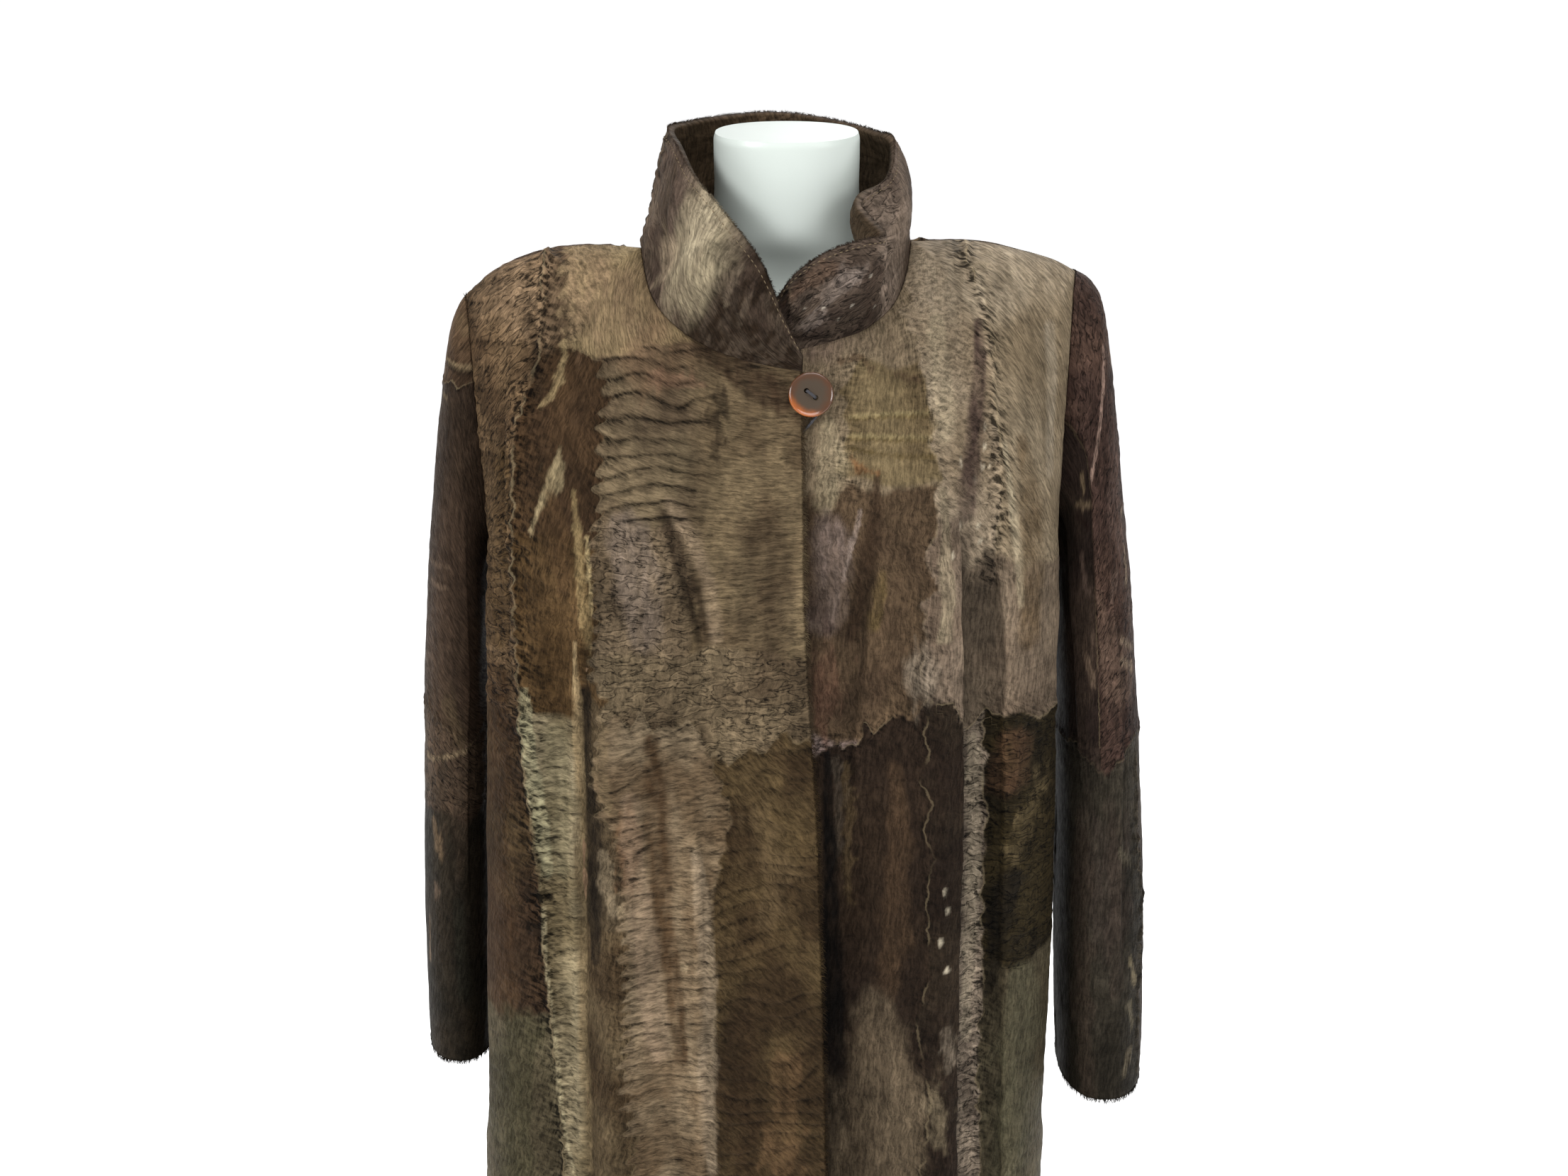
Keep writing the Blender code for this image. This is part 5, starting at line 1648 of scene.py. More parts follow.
@dataclass(frozen=True)
class BroadtailFur:
    """Broadtail lamb: flat, silky hair a few millimetres long, over skin with watered ripples.

    The eye sees fine strokes along the nap, soft crests with darker troughs, thin pale lines of skin
    at the joins, and a dull sheen where the hair turns from the light. Single hairs are 0.03 mm
    thick, too fine to show, so the strokes are locks of about 2 mm.
    """

    lock_width: float = 0.0024
    lock_length: float = 0.0130
    lock_angles: tuple[float, float, float] = (8, 82, -42)
    curl_size: float = 0.014
    curl_reach: float = 0.0045
    clump_size: float = 0.006
    patch_size: float = 0.05
    swirl_sizes: tuple[float, float] = (0.018, 0.0062)
    frill_sizes: tuple[float, float] = (0.010, 0.0034)
    frill_angle: float = 28
    lock_height: float = 0.00028
    crest_height: float = 0.0011
    clump_height: float = 0.0006
    join_height: float = 0.0005
    frill_height: float = 0.0022
    swirl_depth: float = 0.0007
    skin: str = "9c8b6c"

    def build(self) -> bpy.types.Material:
        """Locks, curls, crests, frills and joins, each a layer that lightens or darkens the tone and lifts
        the hair. On crests, crevices, curls, frills and beside the joins this is painted light and shade.

        The locks are three turned noises mixed by the nap. Each band is a smooth step between two
        distances from a middle: of the ripple's phase, a noise or the distance to a join.

        Returns:
            The material.
        """
        material, tree, shader = material_of("broadtail_fur")
        cloth = add(tree, "UVMap", uv_map="cloth")
        tone = add(tree, "Attribute", attribute_name="pelt_tone")
        relief = add(tree, "Attribute", attribute_name="fur_relief")
        nap = add(tree, "Attribute", attribute_name="nap")
        ripple, depth, join = add(tree, "SeparateXYZ", {0: relief}).outputs
        at_seam, ruffled = tone.outputs["Alpha"], relief.outputs["Alpha"]
        curl = add(tree, "Math", {0: nap.outputs["Alpha"], 1: 2.0}, operation="POWER")

        swirl = add(tree, "TexNoise", {"Vector": cloth, "Scale": 1 / self.curl_size, "Detail": 2.0})
        swirl = add(tree, "VectorMath", {0: swirl.outputs["Color"], 1: (0.5, 0.5, 0.5)}, operation="SUBTRACT")
        reach = add(tree, "Math", {0: nap.outputs["Alpha"], 1: self.curl_reach * 2}, operation="MULTIPLY")
        swirl = add(tree, "VectorMath", {0: swirl, "Scale": reach}, operation="SCALE")
        curled = add(tree, "VectorMath", {0: cloth, 1: swirl}, operation="ADD")

        lock_sizes = (self.lock_width, self.lock_length)
        noises = []
        for angle, sizes, detail, roughness in (
            *((angle, lock_sizes, 4.0, 0.75) for angle in self.lock_angles),
            (0, self.swirl_sizes, 2.0, 0.5),
            (self.frill_angle, self.frill_sizes, 2.0, 0.5),
        ):
            turned = {"Vector": curled, "Angle": math.radians(angle)}
            turned = add(tree, "VectorRotate", turned, rotation_type="Z_AXIS")
            scale = (1 / sizes[0], 1 / sizes[1], 1.0)
            drawn = add(tree, "VectorMath", {0: turned, 1: scale}, operation="MULTIPLY")
            inputs = {"Vector": drawn, "Scale": 1.0, "Detail": detail, "Roughness": roughness}
            noises.append(add(tree, "TexNoise", inputs))
        *strokes, swirls, frills = noises
        locks = add_up(tree, 0.0, *zip(strokes, add(tree, "SeparateXYZ", {0: nap}).outputs))
        clumps = add(tree, "TexNoise", {"Vector": curled, "Scale": 1 / self.clump_size, "Detail": 3.0})
        patches = add(tree, "TexNoise", {"Vector": cloth, "Scale": 1 / self.patch_size, "Detail": 4.0})
        turn = add(tree, "Math", {0: ripple}, operation="FRACT")
        at_join = add_up(tree, -0.0025, (clumps, 0.005), (join, 1.0))

        band = {}
        for name, value, middle, low, high in (
            ("locks", locks, 0.0, 0.38, 0.63),
            ("rise", turn, 0.0, 0.0, 0.2),
            ("fall", turn, 0.0, 1.0, 0.3),
            ("hollow", turn, 0.0, 0.14, 0.0),
            ("ditch", turn, 0.0, 0.76, 1.0),
            ("tips", swirls, 0.58, 0.040, 0.0),
            ("swirls", swirls, 0.5, 0.035, 0.0),
            ("frills", frills, 0.0, 0.38, 0.60),
            ("line", at_join, 0.0, 0.0012, 0.0003),
            # a painted shadow on one side of each join
            ("painted_join_shadow", at_join, -0.0022, 0.0024, 0.0),
        ):
            away = add(tree, "Math", {0: value, 1: middle}, operation="SUBTRACT")
            away = add(tree, "Math", {0: away}, operation="ABSOLUTE")
            limits = {"Value": away, "From Min": low, "From Max": high}
            band[name] = add(tree, "MapRange", limits, interpolation_type="SMOOTHSTEP")
        band["crest"] = add(tree, "Math", {0: band["rise"], 1: band["fall"]}, operation="MULTIPLY")
        band["crevice"] = add(tree, "Math", {0: band["hollow"], 1: band["ditch"]}, operation="MAXIMUM")
        band["frills"] = add(tree, "Math", {0: band["frills"], 1: 0.62}, operation="SUBTRACT")
        for name, share in (
            ("crest", depth), ("crevice", depth), ("tips", curl), ("swirls", curl),
            ("line", at_seam), ("painted_join_shadow", at_seam), ("frills", ruffled),
        ):
            band[name] = add(tree, "Math", {0: band[name], 1: share}, operation="MULTIPLY")

        lock_light, clump_light = add_up(tree, 0.75, (curl, 0.35)), add_up(tree, 0.35, (curl, 1.0))
        # painted light and shade: ripple crests lighter and their crevices darker, the curls' sunk lines
        # darker, frills lighter on their ridges and darker between them, and a painted shadow beside each
        # join
        shade = add_up(
            tree, 0.325, (band["locks"], lock_light), (clumps, clump_light), (clump_light, -0.5),
            (patches, 0.55), (band["crest"], 0.52), (depth, -0.16), (band["crevice"], -0.48),
            (band["swirls"], -0.60), (band["tips"], 0.50), (band["frills"], 1.9), (band["painted_join_shadow"], -0.6),
        )
        shade = add(tree, "Math", {0: shade, 1: 0.14}, operation="MAXIMUM")
        height = add_up(
            tree, 0.0, (band["locks"], self.lock_height), (band["crest"], self.crest_height),
            (clumps, self.clump_height), (band["line"], self.join_height),
            (band["frills"], self.frill_height), (band["swirls"], -self.swirl_depth),
        )
        coloured = add(tree, "VectorMath", {0: tone, "Scale": shade}, operation="SCALE")
        bare = add(tree, "Math", {0: band["line"], 1: 0.45}, operation="MULTIPLY")
        mixed = add(tree, "Mix", {0: bare, 6: coloured, 7: rgba(self.skin)}, data_type="RGBA")
        fill(tree, shader, {
            "Base Color": mixed.outputs[2],
            "Normal": add(tree, "Bump", {"Height": height, "Strength": 0.9, "Distance": 1.0}),
            "Roughness": add(tree, "MapRange", {"Value": band["locks"], "To Min": 0.72, "To Max": 0.52}),
            "Specular IOR Level": 0.05,
            "Sheen Weight": 0.015,
            "Sheen Roughness": 0.4,
            "Sheen Tint": (0.85, 0.78, 0.70, 1.0),
        })
        return material


@dataclass(frozen=True)
class AmberResin:
    """Cast polyester resin, polished: clear amber at the rim and a cloudy grey-brown middle, glossy."""

    rim: str = "5c3a24"
    middle: str = "4f4235"
    painted_glow: str = "b8652c"
    rim_band: tuple[float, float] = (0.0085, 0.0158)
    painted_glow_band: tuple[float, float] = (-0.006, -0.017)

    def build(self) -> bpy.types.Material:
        """Tones by the distance from the middle and the height on the disc, with faint clouds in them. The
        orange at the rim's lower left is a painted glow of light through the resin.
        """
        material, tree, shader = material_of("cast_amber_resin")
        cloth = add(tree, "UVMap", uv_map="cloth")
        away = add(tree, "VectorMath", {0: cloth}, operation="LENGTH").outputs["Value"]
        clouds = add(tree, "TexNoise", {"Vector": cloth, "Scale": 160.0, "Detail": 3.0})
        x, y, _ = add(tree, "SeparateXYZ", {0: cloth}).outputs
        bands = []
        for value, (low, high) in (
            (add_up(tree, -0.003, (clouds, 0.006), (away, 1.0)), self.rim_band),
            (add_up(tree, 0.0, (x, 0.6), (y, 1.0)), self.painted_glow_band),
        ):
            limits = {"Value": value, "From Min": low, "From Max": high}
            bands.append(add(tree, "MapRange", limits, interpolation_type="SMOOTHSTEP"))
        edge, painted_glow = bands
        # painted glow: orange light through the rim, on its lower left only
        lit = add(tree, "Math", {0: painted_glow, 1: edge}, operation="MULTIPLY")
        base = add(tree, "Mix", {0: edge, 6: rgba(self.middle), 7: rgba(self.rim)}, data_type="RGBA")
        toned = add(tree, "Mix", {0: lit, 6: base.outputs[2], 7: rgba(self.painted_glow)}, data_type="RGBA")
        fill(tree, shader, {
            "Base Color": toned.outputs[2],
            "Roughness": 0.16,
            "IOR": 1.54,
            "Transmission Weight": 0.15,
            "Coat Weight": 0.3,
        })
        return material


@dataclass(frozen=True)
class WaxedCord:
    """Grey waxed cotton cord and thread: plied strands with a dull shine."""

    tone: str = "4b4a4f"
    dark: str = "232227"
    name: str = "waxed_cotton_cord"
    strand_width: float = 0.0005
    strand_length: float = 0.0012

    def build(self) -> bpy.types.Material:
        """Noise drawn out along the cord's own map, so that it reads as strands side by side."""
        material, tree, shader = material_of(self.name)
        cloth = add(tree, "UVMap", uv_map="cloth")
        scale = (1 / self.strand_width, 1 / self.strand_length, 1.0)
        drawn = add(tree, "VectorMath", {0: cloth, 1: scale}, operation="MULTIPLY")
        strands = add(tree, "TexNoise", {"Vector": drawn, "Scale": 1.0, "Detail": 3.0})
        toned = add(tree, "Mix", {0: strands, 6: rgba(self.dark), 7: rgba(self.tone)}, data_type="RGBA")
        bump = add(tree, "Bump", {"Height": strands, "Strength": 0.6, "Distance": 0.0002})
        fill(tree, shader, {"Base Color": toned.outputs[2], "Normal": bump, "Roughness": 0.55})
        return material


@dataclass(frozen=True)
class SatinPlastic:
    """White polyethylene, blow-moulded and satin: a faint orange-peel surface and a cool white."""

    pale: str = "d8e0da"
    grey: str = "cdd6cf"

    def build(self) -> bpy.types.Material:
        """A very shallow bump of 2 mm ripples, and a barely uneven white."""
        material, tree, shader = material_of("satin_polyethylene")
        place = add(tree, "TexCoord").outputs["Object"]
        peel = add(tree, "TexNoise", {"Vector": place, "Scale": 450.0, "Detail": 2.0})
        patches = add(tree, "TexNoise", {"Vector": place, "Scale": 14.0, "Detail": 3.0})
        toned = add(tree, "Mix", {0: patches, 6: rgba(self.pale), 7: rgba(self.grey)}, data_type="RGBA")
        bump = add(tree, "Bump", {"Height": peel, "Strength": 0.25, "Distance": 0.0002})
        fill(tree, shader, {"Base Color": toned.outputs[2], "Normal": bump, "Roughness": 0.34})
        return material


@dataclass(frozen=True)
class BrushedSteel:
    """Stainless steel, brushed: fine scratches round the pole and plate, and a soft grey shine."""

    tone: str = "b9babc"

    def build(self) -> bpy.types.Material:
        """Scratches 0.3 mm apart, drawn out round the stand's axis by stretching noise along Z and radius."""
        material, tree, shader = material_of("brushed_steel")
        x, y, z = add(tree, "SeparateXYZ", {0: add(tree, "TexCoord").outputs["Object"]}).outputs
        flat = add(tree, "CombineXYZ", {0: x, 1: y})
        radius = add(tree, "VectorMath", {0: flat}, operation="LENGTH").outputs["Value"]
        rings = add(tree, "CombineXYZ", {0: radius, 1: z, 2: 0.0})
        scratch = add(tree, "TexNoise", {"Vector": rings, "Scale": 3000.0, "Detail": 3.0})
        rough = add(tree, "MapRange", {"Value": scratch, "To Min": 0.24, "To Max": 0.44})
        bump = add(tree, "Bump", {"Height": scratch, "Strength": 0.15, "Distance": 0.0001})
        fill(tree, shader, {"Base Color": rgba(self.tone), "Metallic": 1.0})
        fill(tree, shader, {"Roughness": rough, "Normal": bump})
        return material


# The pelts, joins, creases and marks of each panel, at their places in millimetres: (x, z) on the
# fronts and the back, (round from the outer line forwards, z) on the sleeves, (along, up) on the collar.
RIGHT_FRONT = Pattern(
    seed=11,
    base=Pelt("8c7a5a", "6f5f46", ripple=0.15, nap=Nap.SLANT, mottle=45),
    joins={
        "side": Join((
            (-182, 1372), (-178, 1322), (-181, 1294), (-189, 1269), (-197, 1246), (-200, 1145), (-198, 1092),
            (-195, 996), (-192, 962), (-187, 901), (-183, 823), (-173, 694), (-168, 500), (-170, 300)
        ), wander=1.4, ruffle=3, reach=14, line=0.8),
        "chest": Join((
            (-165, 1330), (-161, 1304), (-137, 1299), (-129, 1275), (-134, 1251), (-136, 1211), (-134, 1195),
            (-143, 1160), (-141, 1128), (-137, 1113), (-144, 1086), (-134, 1049), (-143, 987), (-128, 958),
            (-121, 919), (-122, 847), (-120, 808), (-123, 769), (-116, 683), (-119, 500), (-122, 300)
        ), wander=2.6, pitch=28, ruffle=1.2, line=0.3, scallop=7),
        "waist": Join((
            (-150, 1046), (-129, 1042), (-104, 1041), (-89, 1033), (-72, 1040), (-57, 1011), (-21, 1015),
            (-2, 1032), (16, 1023), (40, 1020)), wander=4.5, ruffle=1.2, line=0.3, level=True),
        "low": Join((
            (-57, 1011), (-41, 966), (-53, 913), (-58, 868), (-53, 818), (-57, 771), (-56, 689), (-60, 500),
            (-56, 300)), wander=2.2, ruffle=1, line=0.15),
        "fade": Join(((-66, 1330), (-64, 1200), (-70, 1090)), wander=4, ruffle=0, line=0),
        "crest": Join((
            (-146, 1175), (-147, 1101), (-153, 1045), (-155, 933), (-155, 819), (-153, 679), (-155, 500),
            (-156, 300)), wander=0.2, ruffle=0, line=0),
    },
    pelts=(
        Pelt("615440", "473b2d", (("waist", Side.ABOVE),), z=(1100, 1305), ripple=1, nap=Nap.ACROSS),
        Pelt("615341", "493d2e", (("fade", Side.LEFT),), z=(-9000, 1190), ripple=0.1, nap=Nap.CURLED),
        Pelt(
            "6b5c45", "524432", (("fade", Side.RIGHT),), z=(1060, 1300), ripple=0.35, nap=Nap.ACROSS, edge=25,
        ),
        Pelt("5f523f", "44382a", z=(-9000, 1090), nap=Nap.CURLED, mottle=50),
        Pelt("746550", "5b4b38", (("waist", Side.BELOW), ("low", Side.LEFT)), ripple=0.5, nap=Nap.ACROSS),
        Pelt("4b3d28", "332719", (("waist", Side.BELOW), ("low", Side.RIGHT)), ripple=0.45, nap=Nap.SLANT),
        Pelt("3e2e1e", "342619", (("side", Side.RIGHT), ("chest", Side.LEFT)), ripple=0, nap=Nap.SLEEK),
        Pelt("523f28", "3a2b19", (("side", Side.RIGHT), ("chest", Side.LEFT)), z=(-9000, 1172), ripple=0.15),
        Pelt(
            "766b54", "5a4f3a", (("side", Side.RIGHT), ("crest", Side.LEFT)), z=(-9000, 1035), ripple=0.55,
            nap=Nap.ACROSS,
        ),
        Pelt("413729", "4e412f", (("crest", Side.RIGHT), ("chest", Side.LEFT)), z=(875, 1050), ripple=0),
        Pelt("5d4f3a", "453726", (("crest", Side.RIGHT), ("chest", Side.LEFT)), z=(-9000, 875), ripple=0.1),
        Pelt("554431", "3c2e20", (("side", Side.LEFT),), ripple=0.5, nap=Nap.CURLED, mottle=18),
        Pelt("37291d", "4a3b27", (("side", Side.LEFT),), z=(-9000, 1030), ripple=0, nap=Nap.SLEEK, mottle=40),
        Pelt("524a38", "3a3326", (("side", Side.LEFT),), z=(-9000, 790), ripple=0.1, mottle=50),
    ),
    marks=(
        Mark("7c6750", -150, 1335, 75, 30, strength=0.75, ragged=0.5),
        Mark("6b4a33", -118, 945, 8, 30, strength=0.5, ragged=0.8),
        Mark("7a6048", -100, 1300, 30, 20, strength=0.3, ragged=0.9),
        *(Mark("a08d70", x, z, 3, 3, strength=0.7, ragged=0.4) for x, z in (
            (-104, 1011), (-76, 846), (-84, 800), (-124, 894),
        )),
    ),
    streaks=(
        Streak("8f7c5a", (
            (-163, 1309, 1), (-163, 1296, 2), (-166, 1282, 3), (-172, 1271, 2), (-179, 1264, 1)
        ), 0.7, 0.8, 0.7),
        Streak("a49370", (
            (-165, 1236, 1), (-167, 1224, 4), (-170, 1214, 6), (-175, 1204, 4), (-181, 1192, 2),
            (-187, 1175, 1)), 0.75, 1, 0.9),
        Streak("84714f", (
            (-155, 1207, 1), (-152, 1183, 3), (-150, 1152, 3), (-147, 1120, 3), (-145, 1090, 1)
        ), 0.75, 0.8, 0.7),
        Streak("a8946c", ((-145, 1176, 1), (-144, 1147, 1), (-143, 1120, 1)), 0.8, 0.4, 0.5),
        Streak("4c3925", ((-172, 1204, 4), (-168, 1181, 9), (-165, 1155, 8), (-162, 1134, 4))),
        # painted shade in the diagonal fold valley below the chest
        Streak("20170f", ((-89, 1194, 5), (-79, 1165, 7), (-69, 1138, 8), (-60, 1104, 7)), 0.85, 0.3, 1.1),
        Streak("7d6c58", ((-83, 1202, 5), (-69, 1178, 6), (-57, 1149, 5), (-51, 1104, 5)), 0.6, 0.4, 1),
        Streak("63574c", (
            (-119, 1185, 12), (-112, 1159, 15), (-107, 1122, 14), (-104, 1105, 12)), 0.75, 0.6, 0.8),
        Streak("1c150e", (
            (-50, 1286, 2), (-47, 1272, 3), (-51, 1262, 4), (-48, 1252, 3), (-52, 1238, 2)), 0.7, 2.2, 0.9),
        Streak("352a1f", ((-13, 1182, 16), (-10, 1150, 20), (-13, 1113, 20)), 0.5, 1.3, 1),
        # painted shadow below the collar's lower edge, down to the button
        Streak("33261b", (
            (-72, 1317, 4), (-58, 1309, 8), (-40, 1297, 10), (-22, 1286, 10), (-4, 1275, 8)), 0.9, 0.7, 0.8),
        Streak("6b5140", ((-96, 1289, 5), (-75, 1286, 4), (-59, 1284, 2)), 0.5, 0.8, 0.8),
        Streak("44341f", ((-208, 1225, 8), (-209, 1178, 9), (-213, 1123, 9), (-213, 1089, 8)), 0.6, 0.6, 1),
        Streak("1f170f", ((-188, 1316, 4), (-182, 1295, 5), (-179, 1272, 4)), 0.65, 1.4, 0.5),
        Streak("2a1f14", ((-162, 1329, 2), (-161, 1318, 3), (-159, 1306, 2)), 0.55, 1.3, 0.5),
        Streak("8c866a", ((-194, 1053, 3), (-192, 1012, 5), (-185, 957, 6), (-180, 914, 5)), 0.9, 0.5, 0.5),
        Streak("6a624b", ((-173, 1020, 11), (-169, 957, 10), (-169, 918, 9)), 0.7, 0.5, 0.8),
        Streak("18120c", ((-192, 897, 5), (-180, 892, 3)), 0.85, 0.9, 0.4),
        Streak("18120c", ((-193, 868, 6), (-181, 864, 3)), 0.85, 0.9, 0.4),
        Streak("9a8f72", (
            (-184, 884, 1), (-183, 840, 1), (-177, 777, 1), (-174, 728, 2), (-170, 697, 1), (-163, 666, 1)
        ), 0.85, 0.3, 0.4),
        Streak("1e1710", (
            # painted shadow on the crease's low side, deepening the dark pelt there
            (-148, 1060, 3), (-147, 998, 5), (-143, 957, 6), (-144, 915, 7), (-145, 850, 4)), 0.95, 0.4, 0.5),
        Streak("6b5b44", ((-136, 1035, 4), (-137, 997, 5), (-132, 973, 3)), 0.85, 1.2, 0.5),
        Streak("756752", ((-135, 938, 4), (-133, 909, 6), (-130, 893, 4)), 0.85, 1.2, 0.5),
        # painted highlight along the crease's edge
        Streak("8a7758", (
            (-153, 1097, 1), (-153, 1037, 1), (-153, 931, 1), (-154, 801, 2), (-153, 672, 2)
        ), 0.85, 0.2, 0.5),
        Streak("362617", (
            (-217, 1062, 9), (-215, 1007, 10), (-220, 919, 11), (-217, 852, 11), (-218, 798, 10)
        ), 0.8, 0.5, 0.8),
        Streak("3a3626", ((-203, 781, 15), (-211, 725, 17), (-213, 660, 17)), 0.8, 0.7, 0.7),
        # painted shade in a fold valley below the waist
        Streak("41301f", (
            (-100, 1025, 5), (-97, 966, 10), (-94, 901, 9), (-86, 832, 8), (-79, 771, 5)), 0.9, 0.3, 0.9),
        # painted highlight on a fold ridge below the waist
        Streak("877762", (
            (-67, 938, 3), (-62, 896, 5), (-59, 837, 5), (-59, 784, 6), (-59, 722, 5), (-57, 682, 4)
        ), 0.8, 0.4, 0.7),
        Streak("7a6855", ((-117, 981, 6), (-112, 916, 8), (-105, 842, 10), (-97, 779, 9)), 0.65, 0.5, 0.8),
        Streak("5e4e38", ((-23, 966, 8), (-7, 929, 11), (-15, 885, 8)), 0.35, 1.6, 1),
        Streak("2a1e13", ((-36, 801, 11), (-24, 739, 16), (-28, 681, 16)), 0.5, 1, 1),
        Streak("5b4630", ((-3, 765, 10), (-1, 720, 12), (-3, 680, 12)), 0.6, 1.2, 0.6),
    ),
    creases=(
        Crease((
            (-146, 1175), (-147, 1101), (-153, 1045), (-155, 933), (-155, 819), (-154, 500), (-156, 320)
        ), rise=4.5, fall=3.5, high=Side.LEFT),
        Crease(((-92, 1205), (-78, 1165), (-62, 1105)), rise=1.6, fall=3),
        Crease(((-70, 1000), (-64, 900), (-63, 700), (-66, 320)), rise=3, fall=2, high=Side.LEFT),
        Crease(((-204, 1290), (-206, 1200), (-204, 1100)), rise=2, fall=2),
    ),
    ripple_pitch=11.8,
    ripple_lean=-7,
)
